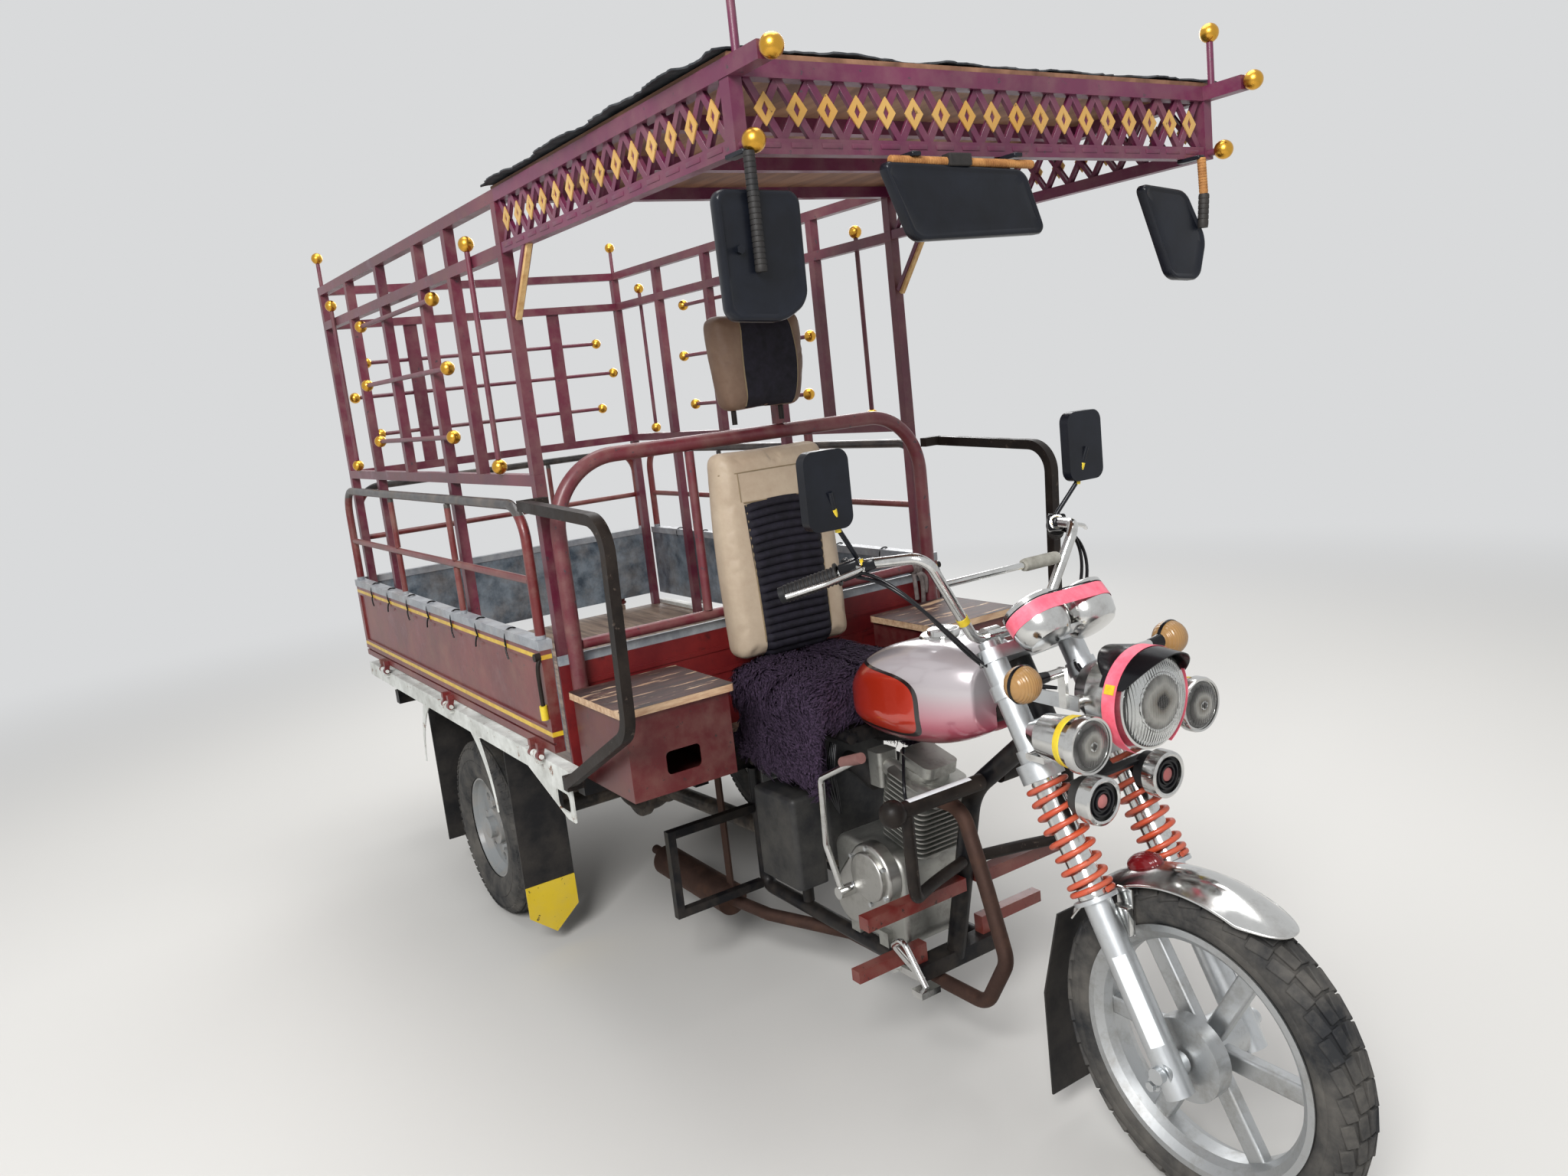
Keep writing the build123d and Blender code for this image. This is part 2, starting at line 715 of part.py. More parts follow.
for station in hinge_stations:
    x = rear_axle_x + station
    side_rails.append(block((x - 16, x + 16), (rail_outer_y - 5, rail_outer_y + 12), (side_rail_top - 14, hinge_z)))
    side_rails.append(disc((x - 16, rail_outer_y + 12, hinge_z), (1, 0, 0), hinge_outer_radius, 32))
    side_rails.append(
        disc((x - hinge_pin_half, rail_outer_y + 12, hinge_z), (1, 0, 0), hinge_pin_radius, 2 * hinge_pin_half)
    )
with BuildPart() as gusset:
    with BuildSketch(Plane.XZ.offset(-rail_outer_y)):
        with BuildLine():
            Polyline(
                (bed_front_x, side_rail_bottom + 2),
                (bed_front_x, side_rail_bottom - 85),
                (bed_front_x - 45, side_rail_bottom - 85),
                (bed_front_x - 290, side_rail_bottom + 2),
                close=True,
            )
        make_face()
        with Locations((bed_front_x - 62, side_rail_bottom - 42)):
            RectangleRounded(84, 50, 14, mode=Mode.SUBTRACT)
    extrude(amount=5)
side_rails.append(gusset.part)
arch_top = (205, 268)
arch_tip = (354, 450)
arch_bow = 26
arch_thickness = 3
for way in (-1, 1):
    with BuildPart() as arch_blade:
        with BuildSketch(Plane.XZ.offset(-rail_outer_y)):
            with BuildLine():
                inner_top = (rear_axle_x + way * arch_top[0], side_rail_bottom + 2)
                outer_top = (rear_axle_x + way * arch_top[1], side_rail_bottom + 2)
                tip = (rear_axle_x + way * arch_tip[0], arch_tip[1])
                tip_in = (tip[0] - way * 8, arch_tip[1])
                ThreePointArc(
                    inner_top,
                    ((inner_top[0] + tip_in[0]) / 2 + way * arch_bow, (inner_top[1] + tip_in[1]) / 2 + arch_bow / 2),
                    tip_in,
                )
                Line(tip_in, tip)
                ThreePointArc(
                    tip,
                    ((outer_top[0] + tip[0]) / 2 + way * arch_bow / 2, (outer_top[1] + tip[1]) / 2 + arch_bow / 2),
                    outer_top,
                )
                Line(outer_top, inner_top)
            make_face()
        extrude(amount=arch_thickness)
    side_rails.append(arch_blade.part)
with BuildPart() as cargo_floor:
    add(floor_pieces + both_sides(side_rails))
save("cargo_floor", cargo_floor.part)

# Front wall of the bed with a turned lip
with BuildPart() as front_wall:
    with BuildSketch(Plane.YZ.offset(wall_front_x - 9)):
        with Locations((0, (floor_top + wall_top) / 2)):
            Rectangle(2 * bed_half_width, wall_top - floor_top)
    extrude(amount=9)
    with BuildSketch(Plane.YZ.offset(wall_front_x)):
        with Locations(*[(0, z) for z in (790, 850, 910)]):
            Rectangle(2 * 535, 12)
    extrude(amount=3)
save("front_wall", front_wall.part)

# Tool boxes beside the seat, open at a hand hole in front, and their board lids
box_rear_x = bed_front_x + seat_gap
with BuildPart() as tool_box:
    with BuildSketch(Plane.XY.offset(tool_box_bottom)):
        with Locations((box_rear_x + tool_box_length / 2, (tool_box_inner_y + tool_box_outer_y) / 2)):
            Rectangle(tool_box_length, tool_box_outer_y - tool_box_inner_y)
    extrude(amount=tool_box_top - tool_box_bottom)
    offset(amount=-3, openings=tool_box.faces().sort_by(Axis.Z)[-1])
    with BuildSketch(Plane.YZ.offset(box_rear_x + tool_box_length - 4)):
        with Locations(((tool_box_inner_y + tool_box_outer_y) / 2, 760)):
            RectangleRounded(90, 55, 12)
    extrude(amount=8, mode=Mode.SUBTRACT)
with BuildPart() as lid:
    with BuildSketch(Plane.XY.offset(tool_box_top)):
        with Locations((box_rear_x + (tool_box_length + lid_overhang) / 2, (tool_box_inner_y + tool_box_outer_y) / 2)):
            RectangleRounded(tool_box_length + lid_overhang, tool_box_outer_y - tool_box_inner_y + 2 * lid_overhang, 8)
    extrude(amount=lid_thickness)
save("tool_boxes", joined(both_sides([tool_box.part])))
save("tool_box_lids", joined(both_sides([lid.part])))

# Black guards round the tool boxes, from the hoop to the bed's front corner
guard_side = 25
guard_y = 640
guard_front_x = rear_axle_x + 1375
guard_route = [
    (hoop_x - 10, guard_y, guard_top + 5),
    (guard_front_x, guard_y, guard_top - 15),
    (guard_front_x - 20, guard_y, 892),
    (bed_front_x + 16, guard_y, 690),
]
guard_pieces = [
    square_tube(guard_route, guard_side, 70),
    block(
        (hoop_x - 10, hoop_x + 15),
        (hoop_leg_y + hoop_radius + seat_gap, guard_y),
        (guard_top + 5 - guard_side / 2, guard_top + 5 + guard_side / 2),
    ),
    block((bed_front_x + seat_gap, bed_front_x + 26), (605, guard_y + guard_side / 2), (672, 708)),
]
save("box_guards", joined(both_sides([joined(guard_pieces)])))

# Mud flaps of the rear wheels and the blank plates on the front pair
flap_thickness = 6
flap_y = (443, 598)
flap_x = rear_axle_x + 365 + seat_gap
plate_thickness = 2
flaps = [
    block((flap_x, flap_x + flap_thickness), flap_y, (150, floor_top - floor_thickness)),
    block((2 * rear_axle_x - flap_x - flap_thickness, 2 * rear_axle_x - flap_x), flap_y, (150, floor_top - floor_thickness)),
]
save("mud_flaps", joined(both_sides(flaps)))
with BuildPart() as plate:
    with BuildSketch(Plane.YZ.offset(flap_x + flap_thickness)):
        with BuildLine():
            Polyline(
                (flap_y[0], 205), (flap_y[1], 205), (flap_y[1], 110), ((flap_y[0] + flap_y[1]) / 2, 45), (flap_y[0], 110), close=True
            )
        make_face()
    extrude(amount=plate_thickness)
save("flap_plates", joined(both_sides([plate.part])))

# Cage: posts from the floor, two barred sides, a rear panel and their ball-ended rods
side_stations = [-921, -550, -170, 235, 500, 882]
low_posts = []
for station in (-921, -550, 235, 882):
    x = rear_axle_x + station
    low_posts.append(
        block((x - cage_bar / 2, x + cage_bar / 2), (cage_y - cage_bar / 2, cage_y + cage_bar / 2), (floor_top, cage_low_z - cage_bar / 2))
    )
save("cage_posts", joined(both_sides(low_posts)))

rail_heights = (cage_low_z, cage_second_z, cage_top_z)
rear_inner_y = cage_y - cage_bar / 2 - seat_gap
rail_pieces = []
for z in rail_heights:
    rail_pieces += both_sides(
        [beam((cage_rear_x - cage_bar / 2, cage_y, z), (cage_front_x + cage_bar / 2, cage_y, z), cage_bar, cage_bar)]
    )
    rail_pieces.append(beam((cage_rear_x, -rear_inner_y, z), (cage_rear_x, rear_inner_y, z), cage_bar, cage_bar))
save("cage_rails", joined(rail_pieces))

strip_y = 285
strip_half_width = 25
strip_half_thickness = 3
upright_pieces = []
for low, high in zip(rail_heights, rail_heights[1:]):
    upright_z = (low + cage_bar / 2 + seat_gap, high - cage_bar / 2 - seat_gap)
    for station in side_stations:
        x = rear_axle_x + station
        upright_pieces.append(
            block((x - cage_bar / 2, x + cage_bar / 2), (cage_y - cage_bar / 2, cage_y + cage_bar / 2), upright_z)
        )
upright_pieces.append(
    block(
        (cage_rear_x - strip_half_thickness, cage_rear_x + strip_half_thickness),
        (strip_y - strip_half_width, strip_y + strip_half_width),
        (cage_low_z + cage_bar / 2 + seat_gap, cage_second_z - cage_bar / 2 - seat_gap),
    )
)
save("cage_uprights", joined(both_sides(upright_pieces)))

rod_y = cage_y + cage_bar / 2 + ornament_rod_radius + seat_gap
side_rods = [
    # start, end
    ((rear_axle_x - 749, rod_y, 1468), (rear_axle_x - 749, rod_y, 1985)),
    ((rear_axle_x + 690, rod_y, 1468), (rear_axle_x + 690, rod_y, 1975)),
    ((rear_axle_x - 385, rod_y, 1900), (rear_axle_x + 345, rod_y, 1900)),
    ((rear_axle_x - 425, rod_y, 1714), (rear_axle_x + 385, rod_y, 1714)),
    ((rear_axle_x - 380, rod_y, 1530), (rear_axle_x + 345, rod_y, 1530)),
]
finial_top = 2168
finial_rods = [
    ((cage_rear_x, cage_y, cage_top_z + cage_bar / 2 + seat_gap), (cage_rear_x, cage_y, finial_top))
]
rear_rod_x = cage_rear_x - strip_half_thickness - ornament_rod_radius - seat_gap
rear_rods = [((rear_rod_x, -half, z), (rear_rod_x, half, z)) for half, z in ((445, 1810), (505, 1688), (435, 1548))]
rod_pieces = both_sides([tube([start, end], ornament_rod_radius) for start, end in side_rods + finial_rods])
rod_pieces += [tube([start, end], ornament_rod_radius) for start, end in rear_rods]
save("cage_rods", joined(rod_pieces))

# Roof: two side bands and a front band of crossed bars, crossbars, ceiling board and cover
band_start_x = cage_front_x + cage_bar / 2
band_low_bar = 24
rail_end_x = cycle_x + 2030
board_rear_x = cage_front_x - 10
board_front_x = roof_front_x + 10
lattice_low = band_low_z + band_low_bar / 2 - 2
lattice_high = cage_top_z - cage_bar / 2 + 2
side_cells = 14
front_cells = 18
diamond_side = 17
diamond_thickness = 3


def lattice(start, step, cells):
    """Crossed bars in equal cells along one level line, and the places of their crossings."""
    bars = []
    crossings = []
    for cell in range(cells):
        low_left = start + step * cell
        low_right = low_left + step
        rise = Vector(0, 0, lattice_high - lattice_low)
        bars.append(beam(tuple(low_left), tuple(low_right + rise), lattice_bar, lattice_bar))
        bars.append(beam(tuple(low_left + rise), tuple(low_right), lattice_bar, lattice_bar))
        crossings.append(low_left + step / 2 + rise / 2)
    return bars, crossings


side_start_x = band_start_x + lattice_bar
side_step = Vector((roof_front_x - 14 - side_start_x) / side_cells, 0, 0)
side_lattice, side_crossings = lattice(Vector(side_start_x, cage_y, lattice_low), side_step, side_cells)
band_pieces = side_lattice + [
    beam((band_start_x, cage_y, cage_top_z), (rail_end_x, cage_y, cage_top_z), cage_bar, cage_bar),
    beam((band_start_x, cage_y, band_low_z), (roof_front_x + 14, cage_y, band_low_z), band_low_bar, band_low_bar),
    block(
        (roof_front_x - 14, roof_front_x + 14),
        (cage_y - 12, cage_y + 12),
        (band_low_z, cage_top_z),
    ),
    beam((band_start_x + 6, cage_y, 1800), (band_start_x + 136, cage_y, band_low_z), 22, 12),
    tube([(roof_front_x + 25, cage_y, cage_top_z), (roof_front_x + 25, cage_y, finial_top)], ornament_rod_radius),
]
band_low_rod = ((roof_front_x + 14, cage_y, band_low_z), (roof_front_x + 30, cage_y, band_low_z))
band_pieces.append(tube(list(band_low_rod), ornament_rod_radius))
roof_band_left = joined(band_pieces)
save("roof_band_left", roof_band_left)
save("roof_band_right", mirror(roof_band_left, about=Plane.XZ))
front_half = cage_y - cage_bar / 2
front_lattice_half = front_half - lattice_bar
front_step = Vector(0, 2 * front_lattice_half / front_cells, 0)
front_bars, front_crossings = lattice(Vector(roof_front_x, -front_lattice_half, lattice_low), front_step, front_cells)
front_bars += [
    beam((roof_front_x, -front_half, cage_top_z), (roof_front_x, front_half, cage_top_z), cage_bar, cage_bar),
    beam((roof_front_x, -front_half, band_low_z), (roof_front_x, front_half, band_low_z), band_low_bar, band_low_bar),
]
save("roof_band_front", joined(front_bars))
crossbar_stations = [882, 1230, 1580]
roof_bars = [
    beam((rear_axle_x + s, -front_half, cage_top_z), (rear_axle_x + s, front_half, cage_top_z), cage_bar, cage_bar)
    for s in crossbar_stations
]
save("roof_bars", joined(roof_bars))
roof_rail_top = cage_top_z + cage_bar / 2
save("roof_board", block((board_rear_x, board_front_x), (-cage_y - 8, cage_y + 8), (roof_rail_top, roof_rail_top + board_thickness)))
cover_low = roof_rail_top + board_thickness + seat_gap
save(
    "roof_cover",
    block((board_rear_x - 12, board_front_x + 4), (-cage_y - 38, cage_y + 38), (cover_low, cover_low + cover_thickness)),
)

# Mirrors hung from the front band: right, wide middle and left
band_bottom = band_low_z - band_low_bar / 2
roof_mirror_sizes = [
    # forward of the cycle datum, left, middle height, width, height, arm places across
    (1938, -575, 1780, 150, 200, (-575,)),
    (1938, -131, 1860, 372, 128, (-250, -12)),
    (1930, 508, 1800, 100, 196, (508,)),
]
roof_mirror_depth = 24
mirror_pieces = []
for x, y, z, width, height, arm_places in roof_mirror_sizes:
    with BuildPart() as roof_mirror:
        with BuildSketch(Plane.YZ.offset(cycle_x + x)):
            with Locations((y, z)):
                RectangleRounded(width, height, 28)
        extrude(amount=roof_mirror_depth)
        fillet(roof_mirror.faces().sort_by(Axis.X)[0].edges(), 8)
    mirror_pieces.append(roof_mirror.part)
    for arm_y in arm_places:
        arm_x = cycle_x + x + 5
        mirror_pieces.append(
            disc((arm_x, arm_y, z), (0, 0, 1), 7, band_bottom - seat_gap - z)
            if abs(arm_x - roof_front_x) < band_low_bar / 2
            else tube([(arm_x, arm_y, z), (arm_x, arm_y, band_bottom - 12), (roof_front_x, arm_y, band_bottom - 12)], 6, 10)
        )
        mirror_pieces.append(disc((roof_front_x, arm_y, band_bottom - seat_gap), (0, 0, -1), 9, 14))
save("roof_mirrors", joined(mirror_pieces))

# Gold balls on the rod ends and diamonds on the crossings
gold_left = []
for start, end in side_rods:
    way = Vector(*end) - Vector(*start)
    gold_left.append(ball(end, tuple(way)))
    gold_left.append(ball(start, tuple(way * -1)))
gold_left += [
    ball(finial_rods[0][1], (0, 0, 1)),
    ball((roof_front_x + 25, cage_y, finial_top), (0, 0, 1)),
    ball(band_low_rod[1], (1, 0, 0)),
    ball((rail_end_x, cage_y, cage_top_z), (1, 0, 0)),
]
for start, end in rear_rods:
    gold_left.append(ball(end, (0, 1, 0)))
with BuildPart() as side_diamonds:
    with BuildSketch(Plane.XZ.offset(-cage_y - lattice_bar / 2)):
        with Locations(*[(point.X, point.Z) for point in side_crossings]):
            Rectangle(diamond_side, diamond_side, rotation=45)
    extrude(amount=-diamond_thickness)
with BuildPart() as front_diamonds:
    with BuildSketch(Plane.YZ.offset(roof_front_x + lattice_bar / 2)):
        with Locations(*[(point.Y, point.Z) for point in front_crossings]):
            Rectangle(diamond_side, diamond_side, rotation=45)
    extrude(amount=diamond_thickness)
save("gold_ornaments", joined(both_sides(gold_left + [side_diamonds.part]) + [front_diamonds.part]))

# Front fork: clamps and stem, legs with the axle between them, chrome covers and lamp ears
leg_radius = 27
inner_radius = 17
spring_seat_w = 318
axle_radius = 8
clamp_eye_radius = 31
clamp_front_u = fork_offset + clamp_eye_radius
clamp_low = lower_clamp_w - clamp_thickness / 2
spring_cover_length = 37
spring_cover_radius = 42
spring_top_w = clamp_low - spring_cover_length
clamp_high = upper_clamp_w + clamp_thickness / 2


def fork_disc(u, v, w, radius, depth):
    """A cylinder along the steering axis."""
    return disc(on_fork(u, v, w), steer_up, radius, depth)


def clamp(w):
    """One triple clamp: three eyes joined by a web."""
    with BuildPart() as made:
        with BuildSketch(Plane(origin=on_fork(0, 0, w), x_dir=steer_across, z_dir=steer_up)):
            with Locations((fork_offset, fork_half_spacing), (fork_offset, -fork_half_spacing)):
                Circle(clamp_eye_radius)
            Circle(34)
            make_hull()
        extrude(amount=clamp_thickness)
    return made.part


fork_pieces = [
    clamp(clamp_low),
    clamp(upper_clamp_w - clamp_thickness / 2),
    fork_disc(0, 0, clamp_low, stem_radius, clamp_high - clamp_low + 14),
    disc((front_axle_x, -fork_half_spacing - 38, front_tyre_radius), (0, 1, 0), axle_radius, 2 * fork_half_spacing + 76),
]
fork_side = [
    fork_disc(fork_offset, fork_half_spacing, -48, leg_radius, spring_seat_w + 48),
    fork_disc(fork_offset, fork_half_spacing, spring_seat_w - 8, spring_cover_radius, 8),
    fork_disc(fork_offset, fork_half_spacing, spring_seat_w, inner_radius, clamp_high - spring_seat_w + 16),
    fork_disc(fork_offset, fork_half_spacing, spring_top_w, spring_cover_radius, spring_cover_length),
    fork_disc(fork_offset, fork_half_spacing, clamp_low, 26, clamp_high - clamp_low),
    disc((front_axle_x, fork_half_spacing + 26, front_tyre_radius), (0, 1, 0), 15, 12),
    disc((front_axle_x, fork_half_spacing - leg_radius - 4, front_tyre_radius), (0, 1, 0), 22, 2 * leg_radius),
]
lamp_z = 955
lamp_radius = 92
lamp_front_x = cycle_x + 2200
ear_w = 728
ear_point = on_fork(fork_offset, fork_half_spacing, ear_w)
fork_side += [
    fork_disc(fork_offset, fork_half_spacing, ear_w - 14, 31, 28),
    block((ear_point[0], lamp_front_x - 90), (lamp_radius + seat_gap, lamp_radius + 4), (lamp_z - 14, lamp_z + 14)),
]
save("fork", joined(fork_pieces + both_sides([joined(fork_side)])))

# Coil springs over the fork tubes: the coils are ridges turned on one sleeve
coil_radius = 43
coil_root_radius = 35
coil_turns = 9
coil_low = spring_seat_w + seat_gap
coil_high = spring_top_w - seat_gap
coil_pitch = (coil_high - coil_low) / coil_turns
coil_outline = [(inner_radius + seat_gap, coil_high), (inner_radius + seat_gap, coil_low)]
for turn in range(coil_turns):
    foot = coil_low + turn * coil_pitch
    coil_outline += [
        (coil_root_radius, foot),
        (coil_radius, foot + coil_pitch * 0.3),
        (coil_radius, foot + coil_pitch * 0.7),
    ]
coil_outline.append((coil_root_radius, coil_high))
spring_plane = Plane(origin=on_fork(fork_offset, fork_half_spacing, 0), x_dir=(0, 1, 0), z_dir=steer_across)
spring_axis = Axis(on_fork(fork_offset, fork_half_spacing, 0), steer_up)
with BuildPart() as spring_left:
    with BuildSketch(spring_plane):
        with BuildLine():
            Polyline(*coil_outline, close=True)
        make_face()
    revolve(axis=spring_axis)
save("fork_springs", joined(both_sides([spring_left.part])))

# Front mudguard: a crowned strip turned about the wheel's axle, with stays to the legs
guard_radius_front = 340
mudguard_half_width = 58
mudguard_start = 57
mudguard_sweep = 92
wheel_axis = Axis((front_axle_x, 0, front_tyre_radius), (0, -1, 0))
start_way = (cos(radians(mudguard_start)), 0, sin(radians(mudguard_start)))
with BuildPart() as mudguard:
    section = Plane(origin=(front_axle_x, 0, front_tyre_radius), x_dir=start_way, z_dir=(-start_way[2], 0, start_way[0]))
    with BuildSketch(section):
        with BuildLine():
            outer = ThreePointArc(
                (guard_radius_front - 22, -mudguard_half_width), (guard_radius_front, 0), (guard_radius_front - 22, mudguard_half_width)
            )
            inner = ThreePointArc(
                (guard_radius_front - 25, -mudguard_half_width), (guard_radius_front - 3, 0), (guard_radius_front - 25, mudguard_half_width)
            )
            Line(outer @ 0, inner @ 0)
            Line(outer @ 1, inner @ 1)
        make_face()
    revolve(axis=wheel_axis, revolution_arc=mudguard_sweep)
stay_w = 250
stay_point = on_fork(fork_offset, fork_half_spacing - leg_radius - seat_gap, stay_w)
stays = []
for side in (-1, 1):
    stays.append(
        block((stay_point[0] - 18, stay_point[0] + 18), sorted((side * 56, side * stay_point[1])), (stay_point[2] - 20, stay_point[2] + 40))
    )
    stays.append(
        block((stay_point[0] - 18, stay_point[0] + 18), sorted((side * 56, side * 64)), (stay_point[2] - 20, stay_point[2] + 72))
    )
save("front_mudguard", joined([mudguard.part] + stays))

# Rubber flap behind the front wheel
flap_top = (front_axle_x - 280.7, 492)
with BuildPart() as front_flap:
    with BuildSketch(Plane.XZ.offset(-62)):
        with BuildLine():
            Polyline(
                (flap_top[0] - 14, flap_top[1]),
                (flap_top[0] - 10, flap_top[1]),
                (flap_top[0] - 62, 300),
                (flap_top[0] - 60, 70),
                (flap_top[0] - 64, 70),
                (flap_top[0] - 66, 300),
                close=True,
            )
        make_face()
    extrude(amount=124)
save("front_flap", front_flap.part)

# Head lamp shell with its rim
with BuildPart() as headlamp:
    with BuildSketch(Plane.XZ):
        with BuildLine():
            Polyline(
                (lamp_front_x - 165, lamp_z),
                (lamp_front_x - 165, lamp_z + 22),
                (lamp_front_x - 140, lamp_z + 52),
                (lamp_front_x - 95, lamp_z + 76),
                (lamp_front_x - 40, lamp_z + 86),
                (lamp_front_x - 18, lamp_z + lamp_radius),
                (lamp_front_x, lamp_z + lamp_radius - 4),
                (lamp_front_x + 12, lamp_z + 50),
                (lamp_front_x + 16, lamp_z),
                close=True,
            )
        make_face()
    revolve(axis=Axis((0, 0, lamp_z), (1, 0, 0)))
    with BuildSketch(Plane(origin=(lamp_front_x - 105, -lamp_radius, lamp_z), z_dir=(0, 1, 0))):
        Circle(12)
    extrude(amount=2 * lamp_radius)
save("headlamp", headlamp.part)

# Spot lamps on a crossbar, with turn signals on stalks from the lamp ears
spot_y = 150
spot_z = 907
spot_radius = 52
spot_front_x = cycle_x + 2182
with BuildPart() as spot:
    with BuildSketch(Plane(origin=(0, spot_y, 0), x_dir=(1, 0, 0), z_dir=(0, -1, 0))):
        with BuildLine():
            Polyline(
                (spot_front_x - 140, spot_z),
                (spot_front_x - 136, spot_z + 20),
                (spot_front_x - 100, spot_z + 40),
                (spot_front_x - 18, spot_z + 48),
                (spot_front_x - 12, spot_z + spot_radius),
                (spot_front_x, spot_z + spot_radius),
                (spot_front_x + 8, spot_z),
                close=True,
            )
        make_face()
    revolve(axis=Axis((0, spot_y, spot_z), (1, 0, 0)))
spot_bar_x = cycle_x + 2040
spot_bar_z = 858
spot_bar_radius = 8.8
spot_stalk_x = spot_bar_x + 30
spot_bar = tube(
    [(spot_bar_x, -spot_y - 8, spot_bar_z), (spot_bar_x, spot_y + 8, spot_bar_z)],
    spot_bar_radius,
)
spot_stalks = both_sides([
    tube([(spot_stalk_x, spot_y, spot_bar_z), (spot_stalk_x, spot_y, spot_z)], 8),
    block(
        (spot_bar_x - 8, spot_stalk_x + 8),
        (spot_y - 10, spot_y + 10),
        (spot_bar_z - 6, spot_bar_z + 6),
    ),
])
signal_x = cycle_x + 2080
signal_y = 200
signal_z = 1013
signal_radius = 33
with BuildPart() as signal:
    with Locations((signal_x, signal_y, signal_z)):
        Sphere(signal_radius)
    with BuildSketch(Plane(origin=(signal_x, signal_y - 30, signal_z), z_dir=(0, -1, 0))):
        Circle(9)
    extrude(amount=signal_y - 30 - lamp_radius - 4 - seat_gap)
signal_drop = block(
    (signal_x - 9, signal_x + 9), (lamp_radius + 4 + seat_gap, lamp_radius + 12), (lamp_z - 10, signal_z + 8)
)
spots = both_sides([spot.part])
signals = both_sides([joined([signal.part, signal_drop])])
save("small_lamps", joined(spots + [spot_bar] + spot_stalks + signals))

# Horns in front of the lower clamp
horn_y = 90
horn_z = 778
horn_radius = 44
horn_front_x = cycle_x + 2144
horn_bar_rear = cycle_x + 2080
horn_bar = block((horn_bar_rear, horn_front_x - 40), (-horn_y - 10, horn_y + 10), (horn_z + 20, horn_z + 26))
horn_back_depth = 27
horns = both_sides([
    disc((horn_front_x, horn_y, horn_z), (-1, 0, 0), horn_radius, 22),
    disc((horn_front_x - 21, horn_y, horn_z), (-1, 0, 0), horn_radius - 8, horn_back_depth),
])
horn_arm_end = tuple(on_fork(clamp_front_u + 3 + seat_gap, 0, clamp_low + 5))
horn_arm = beam((horn_bar_rear + 3, 0, horn_z + 23), horn_arm_end, 30, 6)
save("horns", joined(horns + [horn_bar, horn_arm]))

# Gauges in two bowls on a bracket over the upper clamp
gauge_x = cycle_x + 1995
gauge_y = 62
gauge_z = 1085
gauge_radius = 56
gauge_face = (-sin(radians(42)), 0, cos(radians(42)))
gauge_plane = Plane(origin=(gauge_x, 0, gauge_z), x_dir=(cos(radians(42)), 0, sin(radians(42))), z_dir=gauge_face)
with BuildPart() as gauges:
    with BuildSketch(gauge_plane):
        with Locations((0, gauge_y), (0, -gauge_y)):
            Circle(gauge_radius)
    extrude(amount=34)
    with BuildSketch(gauge_plane):
        with Locations((0, gauge_y), (0, -gauge_y)):
            Circle(gauge_radius)
    extrude(amount=-36, taper=24)
    with BuildSketch(gauge_plane.offset(-30)):
        Rectangle(30, 2 * gauge_y)
    extrude(amount=6)
gauge_foot = gauge_plane.from_local_coords(Vector(-6, 0, -28))
gauge_pad_u = 76
gauge_arm = beam((gauge_foot.X, 0, gauge_foot.Z), tuple(on_fork(gauge_pad_u, 0, clamp_high + 12)), 24, 6)
gauge_pad = fork_disc(gauge_pad_u, 0, clamp_high + seat_gap, 10, 14)
save("gauges", joined([gauges.part, gauge_arm, gauge_pad]))

# Handlebar with clamps, cross brace and levers, and the grips on its ends
bar_radius = 11
bar_clamp = on_fork(12, 0, clamp_high + 34)
bar_half = [
    # forward of the rear axle, left, up
    (bar_clamp[0] - cycle_x, 0, bar_clamp[2]),
    (bar_clamp[0] - cycle_x, 92, bar_clamp[2]),
    (1850, 205, 1228),
    (1738, 268, 1217),
    (1618, 386, 1168),
]
bar_left = [(cycle_x + x, y, z) for x, y, z in bar_half]
bar_right = [(x, -y, z) for x, y, z in bar_left]
handlebar_tube = tube(list(reversed(bar_right))[:-1] + bar_left[1:], bar_radius, 38)
risers = [
    fork_disc(12, 48, clamp_high + seat_gap, 17, 34),
    disc(tuple(Vector(*bar_clamp) + Vector(0, 30, 0)), (0, 1, 0), 19, 36),
]
brace = tube([(cycle_x + 1846, -176, 1166), (cycle_x + 1846, 176, 1166)], 7)
grip_in = Vector(*bar_left[3])
grip_out = Vector(*bar_left[4])
grip_way = (grip_out - grip_in).normalized()
lever_root = grip_in + grip_way * 12 + Vector(20, 8, -2)
lever_tip = grip_out + Vector(62, 34, 8)
lever = [
    tube([tuple(lever_root), tuple((lever_root + lever_tip) / 2 + Vector(14, 8, 0)), tuple(lever_tip)], 5, 60),
    beam(tuple(grip_in + grip_way * 4), tuple(lever_root + grip_way * 4), 18, 14),
    disc(tuple(grip_in + grip_way * 4), tuple(grip_way), 16, 22),
]
handlebar = joined([handlebar_tube, brace] + both_sides([joined(risers), joined(lever)]))
save("handlebar", handlebar)
grip_length = 122
with BuildPart() as grip:
    with BuildSketch(Plane(origin=tuple(grip_out + grip_way * 6), z_dir=tuple(grip_way * -1))):
        Circle(17)
    extrude(amount=grip_length)
    with BuildSketch(Plane(origin=tuple(grip_out + grip_way * seat_gap), z_dir=tuple(grip_way * -1))):
        Circle(bar_radius + running_gap)
    extrude(amount=grip_length, mode=Mode.SUBTRACT)
save("grips", joined(both_sides([grip.part])))

